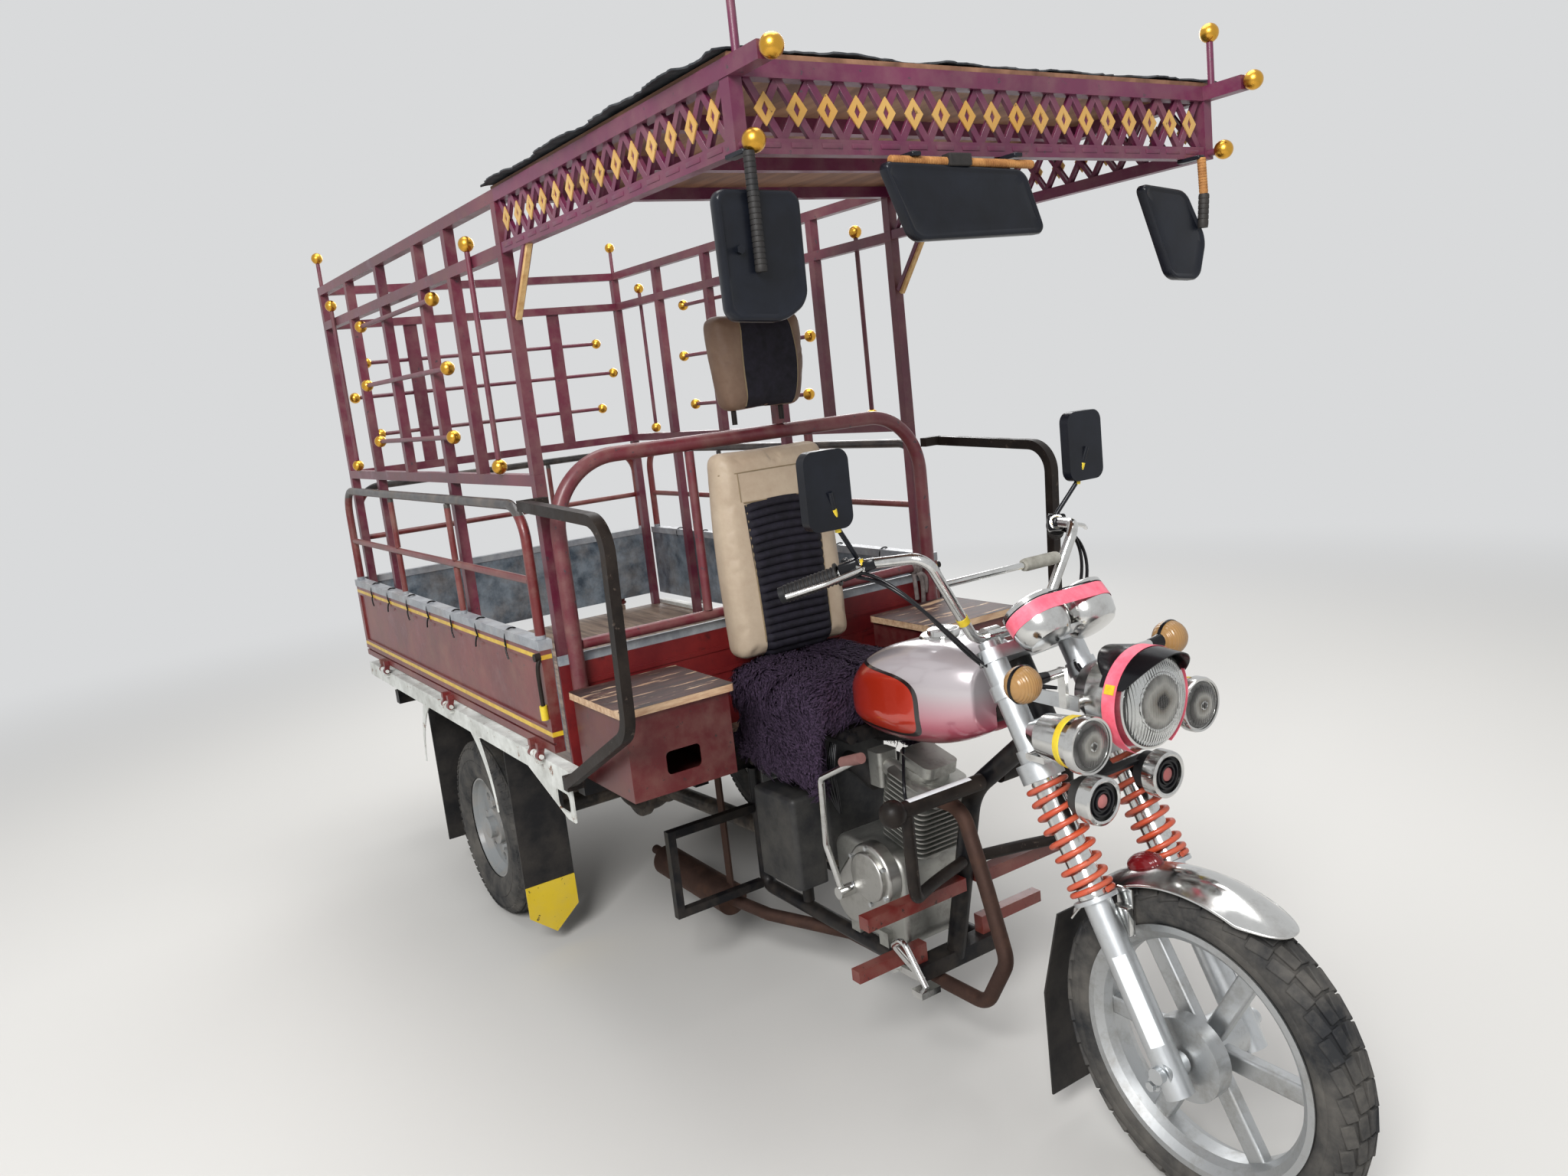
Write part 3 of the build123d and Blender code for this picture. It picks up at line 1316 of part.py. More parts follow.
# Mirrors on the handlebar
mirror_centre = (cycle_x + 1745, 350, 1375)
mirror_stalk = tube(
    [tuple(grip_in + grip_way * 14 + Vector(0, 0, 19 + seat_gap)), (cycle_x + 1748, 330, 1300), (cycle_x + 1762, 350, 1372)], 5, 30
)
with BuildPart() as bar_mirror:
    with BuildSketch(Plane(origin=(mirror_centre[0] + 14, mirror_centre[1], mirror_centre[2]), z_dir=(-1, 0, 0), x_dir=(0, 1, 0))):
        RectangleRounded(104, 152, 24)
    extrude(amount=24)
save("bar_mirrors", joined(both_sides([joined([mirror_stalk, bar_mirror.part])])))

# Front wheel: cast rim with ribbed spokes and hub, and its tyre
hub_half = 68
hub_bore = axle_radius + running_gap
rim_half_width = 44
rim_lip = 5
with BuildPart() as front_rim:
    with BuildSketch(Plane(origin=(front_axle_x, 0, front_tyre_radius), x_dir=(0, 1, 0), z_dir=(1, 0, 0))):
        with BuildLine():
            Polyline(
                (-rim_half_width, front_rim_radius + rim_lip),
                (-rim_half_width, front_rim_radius - 8),
                (-rim_half_width + 12, front_rim_radius - 22),
                (-16, front_rim_radius - 30),
                (16, front_rim_radius - 30),
                (rim_half_width - 12, front_rim_radius - 22),
                (rim_half_width, front_rim_radius - 8),
                (rim_half_width, front_rim_radius + rim_lip),
                (rim_half_width - 3.5, front_rim_radius + rim_lip),
                (rim_half_width - 5, front_rim_radius),
                (22, front_rim_radius),
                (14, front_rim_radius - 14),
                (-14, front_rim_radius - 14),
                (-22, front_rim_radius),
                (-rim_half_width + 5, front_rim_radius),
                (-rim_half_width + 3.5, front_rim_radius + rim_lip),
                close=True,
            )
        make_face()
    revolve(axis=Axis((front_axle_x, 0, front_tyre_radius), (0, 1, 0)))
    with BuildSketch(Plane(origin=(front_axle_x, -hub_half, front_tyre_radius), z_dir=(0, 1, 0))):
        Circle(44)
    extrude(amount=2 * hub_half)
    with BuildSketch(Plane(origin=(front_axle_x, -hub_half, front_tyre_radius), z_dir=(0, 1, 0))):
        Circle(78)
    extrude(amount=34)
    for angle in range(0, 360, 60):
        way = (cos(radians(angle)), 0, sin(radians(angle)))
        with BuildSketch(Plane(origin=(front_axle_x, 0, front_tyre_radius), x_dir=(0, 1, 0), z_dir=way)):
            RectangleRounded(26, 38, 6)
        extrude(amount=front_rim_radius - 26)
    with BuildSketch(Plane(origin=(front_axle_x, -hub_half, front_tyre_radius), z_dir=(0, 1, 0))):
        Circle(hub_bore)
    extrude(amount=2 * hub_half, mode=Mode.SUBTRACT)
save("front_rim", front_rim.part)


def tyre(centre_x, centre_y, radius, bead, width, shoulder):
    """A tyre turned from half a section: bead, widest place, shoulder and crown."""
    half = width / 2
    bead_inset = 14
    widest = bead + 0.55 * (radius - bead)
    right = [
        (half - bead_inset, bead + seat_gap),
        (half, widest),
        (half - shoulder, radius - shoulder),
        (0.45 * half, radius),
    ]
    with BuildPart() as made:
        with BuildSketch(Plane(origin=(centre_x, centre_y, radius), x_dir=(0, 1, 0), z_dir=(1, 0, 0))):
            with BuildLine():
                Polyline(*right, *[(-across, out) for across, out in reversed(right)], close=True)
            make_face()
        revolve(axis=Axis((centre_x, 0, radius), (0, 1, 0)))
    return made.part


save("front_tyre", tyre(front_axle_x, 0, front_tyre_radius, front_rim_radius, front_tyre_width, 14))

# Rear wheels: pressed disc in a drop-centre rim, hub cap, studs and tyre
rim_width = 100
disc_y = 522
disc_thickness = 6
with BuildPart() as rear_rim:
    with BuildSketch(Plane(origin=(rear_axle_x, rear_wheel_y, axle_z), x_dir=(0, 1, 0), z_dir=(1, 0, 0))):
        with BuildLine():
            Polyline(
                (-rim_width / 2, rear_rim_radius + 2),
                (-rim_width / 2, rear_rim_radius - 4),
                (-rim_width / 2 + 14, rear_rim_radius - 10),
                (-18, rear_rim_radius - 24),
                (18, rear_rim_radius - 24),
                (rim_width / 2 - 14, rear_rim_radius - 10),
                (rim_width / 2, rear_rim_radius - 4),
                (rim_width / 2, rear_rim_radius + 2),
                (rim_width / 2 - 8, rear_rim_radius - 2),
                (16, rear_rim_radius - 17),
                (-16, rear_rim_radius - 17),
                (-rim_width / 2 + 8, rear_rim_radius - 2),
                close=True,
            )
        make_face()
    revolve(axis=Axis((rear_axle_x, 0, axle_z), (0, 1, 0)))
    with BuildSketch(Plane(origin=(rear_axle_x, disc_y, axle_z), z_dir=(0, 1, 0))):
        Circle(rear_rim_radius - 20)
        with PolarLocations(108, 8):
            Circle(13, mode=Mode.SUBTRACT)
    extrude(amount=disc_thickness)
    with BuildSketch(Plane(origin=(rear_axle_x, disc_y - 20, axle_z), z_dir=(0, 1, 0))):
        Circle(58)
    extrude(amount=44)
    with BuildSketch(Plane(origin=(rear_axle_x, disc_y, axle_z), z_dir=(0, 1, 0))):
        Circle(34)
    extrude(amount=46)
    with BuildSketch(Plane(origin=(rear_axle_x, disc_y, axle_z), z_dir=(0, 1, 0))):
        with PolarLocations(74, 5):
            RegularPolygon(11, 6)
    extrude(amount=22)
    with BuildSketch(Plane(origin=(rear_axle_x, disc_y - 20, axle_z), z_dir=(0, 1, 0))):
        Circle(stub_radius + running_gap)
    extrude(amount=44, mode=Mode.SUBTRACT)
rear_tyre = tyre(rear_axle_x, rear_wheel_y, rear_tyre_radius, rear_rim_radius + 2, rear_tyre_width, 12)
save("rear_rim_left", rear_rim.part)
save("rear_rim_right", mirror(rear_rim.part, about=Plane.XZ))
save("rear_tyre_left", rear_tyre)
save("rear_tyre_right", mirror(rear_tyre, about=Plane.XZ))

# Drop sides: panel with one sunk field, cap, guard rail and hinge eyes
panel_top = gate_top - gate_cap_height
gate_mid_y = gate_inner_y + gate_thickness / 2
hinge_y = rail_outer_y + 12
gate_length = gate_front_x - gate_rear_x
field_z = (806, 975)
field_depth = 6
field_margin = 30
hem_z = 768
hem_groove = 6
with BuildPart() as gate_left:
    with BuildSketch(Plane.XZ.offset(-gate_inner_y)):
        with Locations(((gate_rear_x + gate_front_x) / 2, (gate_bottom + panel_top) / 2)):
            Rectangle(gate_length, panel_top - gate_bottom)
    extrude(amount=-gate_thickness)
    with BuildSketch(Plane.XZ.offset(-gate_inner_y - gate_thickness)):
        with Locations(((gate_rear_x + gate_front_x) / 2, sum(field_z) / 2)):
            Rectangle(gate_length - 2 * field_margin, field_z[1] - field_z[0])
        with Locations(((gate_rear_x + gate_front_x) / 2, hem_z)):
            Rectangle(gate_length, hem_groove)
    extrude(amount=field_depth, mode=Mode.SUBTRACT)
    with BuildSketch(Plane.XZ.offset(-gate_inner_y + 3)):
        with Locations(((gate_rear_x + gate_front_x) / 2, (panel_top + gate_top) / 2)):
            Rectangle(gate_length, gate_cap_height)
    extrude(amount=-gate_thickness - 6)
guard_mid_radius = 10
guard_post_radius = 9
rail_ends = (gate_rear_x + 24, gate_front_x - 24)
guard_foot_z = gate_top + seat_gap


def guard_set(first, last, post_places, place):
    """Guard pipes over a board: an arch, a middle rail between its legs, and posts under each."""
    arch = tube(
        [place(first, guard_foot_z), place(first, guard_top), place(last, guard_top), place(last, guard_foot_z)],
        guard_radius,
        guard_bend,
    )
    inset = guard_radius + seat_gap
    pieces = [arch, tube([place(first + inset, guard_mid), place(last - inset, guard_mid)], guard_mid_radius)]
    for post in post_places:
        under_mid = guard_mid - guard_mid_radius - seat_gap
        over_mid = guard_mid + guard_mid_radius + seat_gap
        pieces.append(tube([place(post, guard_foot_z), place(post, under_mid)], guard_post_radius))
        pieces.append(tube([place(post, over_mid), place(post, guard_top - inset)], guard_post_radius))
    return pieces


gate_guard = guard_set(
    rail_ends[0], rail_ends[1], (rear_axle_x - 310, rear_axle_x + 280), lambda along, z: (along, gate_mid_y, z)
)
gate_extra = []
for station in hinge_stations:
    for shift in (-34, 18):
        x = rear_axle_x + station + shift
        gate_extra.append(disc((x, hinge_y, hinge_z), (1, 0, 0), hinge_outer_radius, 16))
        gate_extra.append(block((x, x + 16), (gate_inner_y + 8, hinge_y + 5), (gate_bottom - 2, gate_bottom + 14)))
        gate_extra.append(beam((x + 8, hinge_y, hinge_z), (x + 8, hinge_y - 8, gate_bottom + 6), 16, 10))
with BuildPart() as gate_whole:
    add(joined([gate_left.part] + gate_extra))
    for station in hinge_stations:
        for shift in (-34, 18):
            eye_start = (rear_axle_x + station + shift, hinge_y, hinge_z)
            add(disc(eye_start, (1, 0, 0), hinge_pin_radius + running_gap, 16), mode=Mode.SUBTRACT)
gate_pieces = [gate_whole.part] + gate_guard
save("gate_left", joined(gate_pieces))
save("gate_right", joined([mirror(piece, about=Plane.XZ) for piece in gate_pieces]))

# Tailgate: as the drop sides, hinged across the rear
tail_inner_x = bed_rear_x - 10
tail_thickness = 25
tail_half = 596
tail_mid_x = tail_inner_x - tail_thickness / 2
with BuildPart() as tail_panel:
    with BuildSketch(Plane.YZ.offset(tail_inner_x)):
        with Locations((0, (gate_bottom + panel_top) / 2)):
            Rectangle(2 * tail_half, panel_top - gate_bottom)
    extrude(amount=-tail_thickness)
    with BuildSketch(Plane.YZ.offset(tail_inner_x - tail_thickness)):
        with Locations((0, sum(field_z) / 2)):
            Rectangle(2 * (tail_half - field_margin), field_z[1] - field_z[0])
        with Locations((0, hem_z)):
            Rectangle(2 * tail_half, hem_groove)
    extrude(amount=field_depth, mode=Mode.SUBTRACT)
    with BuildSketch(Plane.YZ.offset(tail_inner_x + 2)):
        with Locations((0, (panel_top + gate_top) / 2)):
            Rectangle(2 * tail_half, gate_cap_height)
    extrude(amount=-tail_thickness - 4)
tail_end = tail_half - 24
tail_guard = guard_set(-tail_end, tail_end, (-190, 190), lambda across, z: (tail_mid_x, across, z))
tail_extra = []
for station in tail_hinge_stations:
    for shift in (-34, 18):
        y = station + shift
        tail_extra.append(disc((tail_hinge_x, y, hinge_z), (0, 1, 0), hinge_outer_radius, 16))
        tail_extra.append(beam((tail_hinge_x, y + 8, hinge_z), (tail_hinge_x + 12, y + 8, gate_bottom + 8), 16, 8))
with BuildPart() as tailgate:
    add(joined([tail_panel.part] + tail_extra))
    for station in tail_hinge_stations:
        for shift in (-34, 18):
            eye_start = (tail_hinge_x, station + shift, hinge_z)
            add(disc(eye_start, (0, 1, 0), hinge_pin_radius + running_gap, 16), mode=Mode.SUBTRACT)
save("tailgate", joined([tailgate.part] + tail_guard))
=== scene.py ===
# %% [markdown]
# # A cargo motor tricycle, dressed for the studio
# The CAD model already holds every bar, wheel and panel at its real size.
# This notebook gives each surface its finish, and adds what CAD leaves out:
# tread, coil springs, fur, sewn vinyl, tapes, bolts and glass.
# Everything is in metres: X runs forward, Y to the rider's left and Z up.

# %% Load the frame
import json
import math
import random

import bmesh
import bpy
from mathutils import Matrix, Vector, noise


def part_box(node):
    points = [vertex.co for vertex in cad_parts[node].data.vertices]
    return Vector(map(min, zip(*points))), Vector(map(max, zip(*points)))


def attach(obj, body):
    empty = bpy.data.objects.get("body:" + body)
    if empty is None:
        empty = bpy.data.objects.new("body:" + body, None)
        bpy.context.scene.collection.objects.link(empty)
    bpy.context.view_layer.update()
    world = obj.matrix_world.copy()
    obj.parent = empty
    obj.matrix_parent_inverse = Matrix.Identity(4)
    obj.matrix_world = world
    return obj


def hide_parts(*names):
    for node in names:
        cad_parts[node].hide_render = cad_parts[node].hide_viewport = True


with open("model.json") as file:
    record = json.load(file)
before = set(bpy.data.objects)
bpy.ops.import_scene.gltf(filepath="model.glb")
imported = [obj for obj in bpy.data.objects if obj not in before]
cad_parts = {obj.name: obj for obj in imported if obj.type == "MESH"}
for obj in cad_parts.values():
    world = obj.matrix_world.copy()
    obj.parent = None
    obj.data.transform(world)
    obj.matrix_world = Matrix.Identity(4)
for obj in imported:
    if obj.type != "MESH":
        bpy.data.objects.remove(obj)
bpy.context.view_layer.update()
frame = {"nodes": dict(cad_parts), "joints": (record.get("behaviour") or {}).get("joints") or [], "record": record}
nodes = frame["nodes"]

# %% [markdown]
# Most places are told from the middle of the rear axle, as a builder would
# measure them, so that point is read once from the rear tyre's box.
# The front end turns about the steering head: its own frame has u across the
# head, v to the left and w up along it.

# %% Where things are
rear_low, rear_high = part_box("rear_tyre_left")
REAR_X = (rear_low[0] + rear_high[0]) / 2
front_low, front_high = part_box("front_tyre")
FRONT_AXLE = Vector(((front_low[0] + front_high[0]) / 2, 0, (front_low[2] + front_high[2]) / 2))
steering = next(joint for joint in frame["joints"] if joint["name"] == "steering")
HEAD = Vector(steering["pos_m"])
HEAD_UP = Vector(steering["axis"]).normalized()
HEAD_ACROSS = Vector((HEAD_UP.z, 0, -HEAD_UP.x))


def at(x, y, z):
    """A place told from the middle of the rear axle, on the ground."""
    return Vector((REAR_X + x, y, z))


def on_fork(u, v, w):
    """A place told along the steering head."""
    return HEAD + HEAD_ACROSS * u + Vector((0, v, 0)) + HEAD_UP * w


print("rear axle at x", round(REAR_X, 4), "front axle", FRONT_AXLE)

# %% [markdown]
# ## Camera
# The photograph was taken from about eye height, in front of the vehicle and
# to its right, with a phone's wide lens held slightly turned.

# %% Camera
camera_data = bpy.data.cameras.new("camera")
camera_data.sensor_width = 36
camera_data.lens = 26.74
camera = bpy.data.objects.new("camera", camera_data)
camera.location = (2.7449, -1.6125, 1.5920)
camera.rotation_euler = [math.radians(turn) for turn in (79.76, 6.20, 56.37)]
bpy.context.scene.collection.objects.link(camera)
bpy.context.scene.camera = camera
bpy.context.scene.view_settings.view_transform = "Standard"
print("lens", camera_data.lens, "mm")

# %% [markdown]
# ## Two tools for materials
# Colours are written as hex values, as a paint chart gives them, and turned
# to the linear values that light works in.
# One function adds a node, sets its sockets and joins its links.

# %% Colour and node helpers


def linear(colour):
    """An sRGB hex colour as linear red, green, blue and alpha."""
    parts = [int(colour[i : i + 2], 16) / 255 for i in (1, 3, 5)]
    return tuple(c / 12.92 if c <= 0.04045 else ((c + 0.055) / 1.055) ** 2.4 for c in parts) + (1.0,)


def node(material, kind, sockets=None, stops=None, **settings):
    """Add one node; sockets give values or links by name or place, stops fill a colour ramp."""
    made = material.node_tree.nodes.new(kind)
    for name, value in settings.items():
        setattr(made, name, value)
    for place, value in (sockets or {}).items():
        if isinstance(value, bpy.types.NodeSocket):
            material.node_tree.links.new(value, made.inputs[place])
        else:
            made.inputs[place].default_value = value
    for index, (position, colour) in enumerate(stops or []):
        elements = made.color_ramp.elements
        element = elements[index] if index < 2 else elements.new(position)
        element.position = position
        element.color = linear(colour)
    return made


def new_material(name):
    """An empty node material with its output and Object coordinates."""
    material = bpy.data.materials.new(name)
    material.use_nodes = True
    material.node_tree.nodes.clear()
    output = node(material, "ShaderNodeOutputMaterial")
    place = node(material, "ShaderNodeTexCoord").outputs["Object"]
    return material, output, place


def close_material(material, output, shader, bump=None):
    """Join the shader to the output, with a height for its bump if there is one."""
    material.node_tree.links.new(shader.outputs[0], output.inputs["Surface"])
    if bump:
        material.node_tree.links.new(bump.outputs["Normal"], shader.inputs["Normal"])
    return material


FACTOR, COLOUR_A, COLOUR_B, COLOUR_OUT = 0, 6, 7, 2

# %% [markdown]
# ## Brushed-on enamel over steel
# The cage, the drop sides and the frame are mild steel under cheap gloss
# enamel, put on by hand. It gives a slightly rippled gloss, chips down to dark
# primer, and holds the dust of unpaved roads in a thin pale film.
# Chips are a few millimetres wide; dust gathers in patches 20 to 40 cm wide.

# %% Enamel paint


def enamel(
    name, coat, faded, chip="#2a2422", dust="#a39381", chips=0.35, dustiness=0.25, roughness=0.34,
    gloss=0.5, clear=0.25
):
    """Gloss enamel: two shades of the coat, chips to primer, and a film of dust."""
    material, output, place = new_material(name)
    broad = node(material, "ShaderNodeTexNoise", {"Vector": place, "Scale": 3.2, "Detail": 3})
    shade = node(
        material,
        "ShaderNodeValToRGB",
        {"Fac": broad.outputs["Fac"]},
        stops=[(0.36, coat), (0.66, faded)],
    )
    dirt_field = node(
        material, "ShaderNodeTexNoise", {"Vector": place, "Scale": 14, "Detail": 6, "Roughness": 0.66}
    )
    dirt_mask = node(
        material,
        "ShaderNodeMapRange",
        {"Value": dirt_field.outputs["Fac"], "From Min": 0.42, "From Max": 0.78, "To Max": dustiness},
    )
    dirty = node(
        material,
        "ShaderNodeMix",
        {FACTOR: dirt_mask.outputs[0], COLOUR_A: shade.outputs["Color"], COLOUR_B: linear(dust)},
        data_type="RGBA",
    )
    chip_field = node(
        material, "ShaderNodeTexNoise", {"Vector": place, "Scale": 55, "Detail": 5, "Roughness": 0.7}
    )
    chip_mask = node(
        material,
        "ShaderNodeMapRange",
        {"Value": chip_field.outputs["Fac"], "From Min": 0.67 - 0.06 * chips,
            "From Max": 0.70 - 0.05 * chips},
    )
    chipped = node(
        material,
        "ShaderNodeMix",
        {FACTOR: chip_mask.outputs[0], COLOUR_A: dirty.outputs[COLOUR_OUT], COLOUR_B: linear(chip)},
        data_type="RGBA",
    )
    rough = node(
        material,
        "ShaderNodeMapRange",
        {"Value": dirt_field.outputs["Fac"], "From Min": 0.3, "From Max": 0.8, "To Min": roughness,
            "To Max": 0.72},
    )
    ripple = node(material, "ShaderNodeTexNoise", {"Vector": place, "Scale": 38, "Detail": 2})
    bump = node(
        material, "ShaderNodeBump", {"Height": ripple.outputs["Fac"], "Strength": 0.12, "Distance": 0.002}
    )
    shader = node(
        material,
        "ShaderNodeBsdfPrincipled",
        {
            "Base Color": chipped.outputs[COLOUR_OUT],
            "Roughness": rough.outputs[0],
            "IOR": 1.5,
            "Specular IOR Level": gloss,
            "Coat Weight": clear,
            "Coat Roughness": 0.2,
        },
    )
    return close_material(material, output, shader, bump)


enamels = {
    "black_frame_paint": enamel("frame_black_enamel", "#07070a", "#0f0f13", dustiness=0.10, gloss=0.25,
        clear=0.05),
    "black_axle_paint": enamel("axle_black_enamel", "#1c1a19", "#332c27", dustiness=0.6, roughness=0.5),
    "spring_steel": enamel("leaf_spring_enamel", "#1f1b19", "#3a2d25", chip="#5a3a28", dustiness=0.6,
        roughness=0.55),
    "black_bar_paint": enamel("guard_black_enamel", "#15110f", "#241d1a", chip="#4a4039", chips=0.8,
        dustiness=0.05, gloss=0.2, clear=0.0),
    "red_bar_paint": enamel("footrest_red_enamel", "#5f1713", "#712c24", chip="#2c1a16", chips=1.0,
        dustiness=0.22),
    "grey_pipe_paint": enamel("hoop_maroon_enamel", "#5c1c27", "#6e2a33", chip="#35343a", chips=0.8),
    "red_box_paint": enamel("box_red_enamel", "#490d12", "#5a181a", chips=0.5, dustiness=0.16),
    "maroon_cage_paint": enamel("cage_maroon_enamel", "#4f1428", "#672337", chip="#3b3036", chips=0.6,
        dustiness=0.22),
    "purple_band_paint": enamel("band_purple_enamel", "#541536", "#6a2446", chip="#3b3036", chips=0.5,
        dustiness=0.18),
    "grey_wheel_paint": enamel("wheel_grey_enamel", "#7f8283", "#959796", chip="#4c4844", dustiness=0.5,
        roughness=0.42),
    "yellow_plate_paint": enamel("plate_yellow_enamel", "#cdae10", "#d9bb23", dustiness=0.2, roughness=0.4),
}
print("enamels:", len(enamels))

# %% [markdown]
# ## Painted pieces in two colours
# The drop sides carry two yellow lines on maroon, with a grey folded cap and a
# bare, weathered inner face. The bed's side rails are white beside a plywood
# floor. One piece can hold several colours, because each colour is bound to a
# place: here to height or to the distance from the centre line.

# %% Masks by place


def band_mask(material, value, low, high, soft=0.0008):
    """1 where value lies between low and high, 0 elsewhere."""
    above = node(
        material, "ShaderNodeMapRange", {"Value": value, "From Min": low - soft, "From Max": low + soft}
    )
    below = node(
        material,
        "ShaderNodeMapRange",
        {"Value": value, "From Min": high - soft, "From Max": high + soft, "To Min": 1.0, "To Max": 0.0},
    )
    return node(
        material, "ShaderNodeMath", {0: above.outputs[0], 1: below.outputs[0]}, operation="MULTIPLY"
    ).outputs[0]


def lay_over(material, colour, layers):
    """Lay flat or textured colours over one another, each within its mask."""
    for mask, over in layers:
        mixed = node(
            material, "ShaderNodeMix", {FACTOR: mask, COLOUR_A: colour, COLOUR_B: over}, data_type="RGBA"
        )
        colour = mixed.outputs[COLOUR_OUT]
    return colour


def worn_colour(material, place, dark, pale, scale=9.0):
    """A patchy colour from two shades of one weathered surface."""
    field = node(
        material, "ShaderNodeTexNoise", {"Vector": place, "Scale": scale, "Detail": 7, "Roughness": 0.68}
    )
    return node(
        material, "ShaderNodeValToRGB", {"Fac": field.outputs["Fac"]}, stops=[(0.36, dark), (0.64, pale)]
    ).outputs["Color"]


GATE_CAP = (1.006, 1.04)
STRIPES = ((0.983, 0.994), (0.786, 0.798))
GATE_OUTER_Y = 0.607
TAIL_OUTER_X = REAR_X - 0.9425


def drop_side_paint(name, side_axis, outer):
    """Maroon enamel with two yellow lines, a grey cap and a bare inner face."""
    material, output, place = new_material(name)
    split = node(material, "ShaderNodeSeparateXYZ", {"Vector": place})
    depth = node(material, "ShaderNodeMath", {0: split.outputs[side_axis]}, operation="ABSOLUTE").outputs[0]
    height = split.outputs["Z"]
    maroon = worn_colour(material, place, "#5a1719", "#722a29", 5)
    yellow = worn_colour(material, place, "#c79a18", "#e0bd2a", 30)
    grey = worn_colour(material, place, "#7b7f85", "#9b9fa3", 20)
    bare = worn_colour(material, place, "#39444f", "#7c8790", 13)
    top_rail = worn_colour(material, place, "#1c1c20", "#4a4643", 16)
    panel = band_mask(material, height, 0.742, 1.006)
    inside = node(
        material,
        "ShaderNodeMath",
        {0: band_mask(material, depth, 0.0, outer), 1: panel},
        operation="MULTIPLY",
    ).outputs[0]
    scratch_field = node(
        material, "ShaderNodeTexNoise", {"Vector": place, "Scale": 60, "Detail": 6, "Roughness": 0.72}
    )
    scratches = node(
        material, "ShaderNodeMapRange",
        {"Value": scratch_field.outputs["Fac"], "From Min": 0.645, "From Max": 0.67}
    ).outputs[0]
    dust_field = node(
        material, "ShaderNodeTexNoise", {"Vector": place, "Scale": 7, "Detail": 6, "Roughness": 0.7}
    )
    dust = node(
        material,
        "ShaderNodeMapRange",
        {"Value": dust_field.outputs["Fac"], "From Min": 0.45, "From Max": 0.8, "To Max": 0.4},
    ).outputs[0]
    colour = lay_over(
        material,
        maroon,
        [(band_mask(material, height, *stripe), yellow) for stripe in STRIPES]
        + [
            (scratches, linear("#2c2123")),
            (inside, bare),
            (band_mask(material, height, *GATE_CAP), grey),
            (band_mask(material, height, 1.335, 1.40), top_rail),
            (dust, linear("#a08f7e")),
        ],
    )
    rough = node(
        material, "ShaderNodeMapRange",
        {"Value": dust_field.outputs["Fac"], "From Min": 0.3, "From Max": 0.8, "To Min": 0.3, "To Max": 0.65}
    )
    ripple = node(material, "ShaderNodeTexNoise", {"Vector": place, "Scale": 16, "Detail": 3})
    bump = node(
        material, "ShaderNodeBump", {"Height": ripple.outputs["Fac"], "Strength": 0.2, "Distance": 0.004}
    )
    shader = node(
        material, "ShaderNodeBsdfPrincipled",
        {"Base Color": colour, "Roughness": rough.outputs[0], "Coat Weight": 0.2}
    )
    return close_material(material, output, shader, bump)


side_paint = drop_side_paint("drop_side_enamel", "Y", GATE_OUTER_Y)
tail_paint = drop_side_paint("tail_board_enamel", "X", abs(TAIL_OUTER_X))

# %% The bed: white rails and a worn plywood floor


def bed_paint():
    """White enamel on the rails, brown plywood between them."""
    material, output, place = new_material("bed_white_enamel_and_plywood")
    split = node(material, "ShaderNodeSeparateXYZ", {"Vector": place})
    across = node(material, "ShaderNodeMath", {0: split.outputs["Y"]}, operation="ABSOLUTE").outputs[0]
    white = worn_colour(material, place, "#b9bab4", "#e6e8e3", 9)
    grain_place = node(material, "ShaderNodeMapping", {"Vector": place, "Scale": (2.5, 34, 30)})
    wood = worn_colour(material, grain_place.outputs[0], "#4b3b33", "#8b7867", 1.6)
    rust_field = node(
        material, "ShaderNodeTexNoise", {"Vector": place, "Scale": 24, "Detail": 7, "Roughness": 0.75}
    )
    rust = node(
        material, "ShaderNodeMapRange",
        {"Value": rust_field.outputs["Fac"], "From Min": 0.6, "From Max": 0.66}
    ).outputs[0]
    floor_part = band_mask(material, across, -0.1, 0.5995)
    colour = lay_over(material, white, [(rust, linear("#7d5a45")), (floor_part, wood)])
    bump = node(
        material, "ShaderNodeBump",
        {"Height": rust_field.outputs["Fac"], "Strength": 0.25, "Distance": 0.003}
    )
    shader = node(material, "ShaderNodeBsdfPrincipled", {"Base Color": colour, "Roughness": 0.5})
    return close_material(material, output, shader, bump)


bed_finish = bed_paint()


def front_wall_paint():
    """The bed's front wall: maroon towards the seat, bare towards the load, a zinc strip on top."""
    material, output, place = new_material("front_wall_enamel_and_zinc")
    split = node(material, "ShaderNodeSeparateXYZ", {"Vector": place})
    maroon = worn_colour(material, place, "#5c1218", "#78201f", 6)
    bare = worn_colour(material, place, "#39444f", "#7c8790", 13)
    zinc = worn_colour(material, place, "#7f868c", "#a7adb0", 20)
    grime = node(
        material, "ShaderNodeTexNoise", {"Vector": place, "Scale": 18, "Detail": 6, "Roughness": 0.7}
    )
    grime_mask = node(
        material, "ShaderNodeMapRange",
        {"Value": grime.outputs["Fac"], "From Min": 0.56, "From Max": 0.72, "To Max": 0.8}
    ).outputs[0]
    load_side = band_mask(material, split.outputs["X"], REAR_X + 0.880, REAR_X + 0.9012)
    zinc_strip = band_mask(material, split.outputs["Z"], WALL_STRIP_LOW, 1.1)
    colour = lay_over(
        material, maroon, [(grime_mask, linear("#2b1416")), (load_side, bare), (zinc_strip, zinc)]
    )
    bump = node(
        material, "ShaderNodeBump", {"Height": grime.outputs["Fac"], "Strength": 0.2, "Distance": 0.002}
    )
    shader = node(material, "ShaderNodeBsdfPrincipled", {"Base Color": colour, "Roughness": 0.42})
    return close_material(material, output, shader, bump)


WALL_STRIP_LOW = 0.962
wall_finish = front_wall_paint()


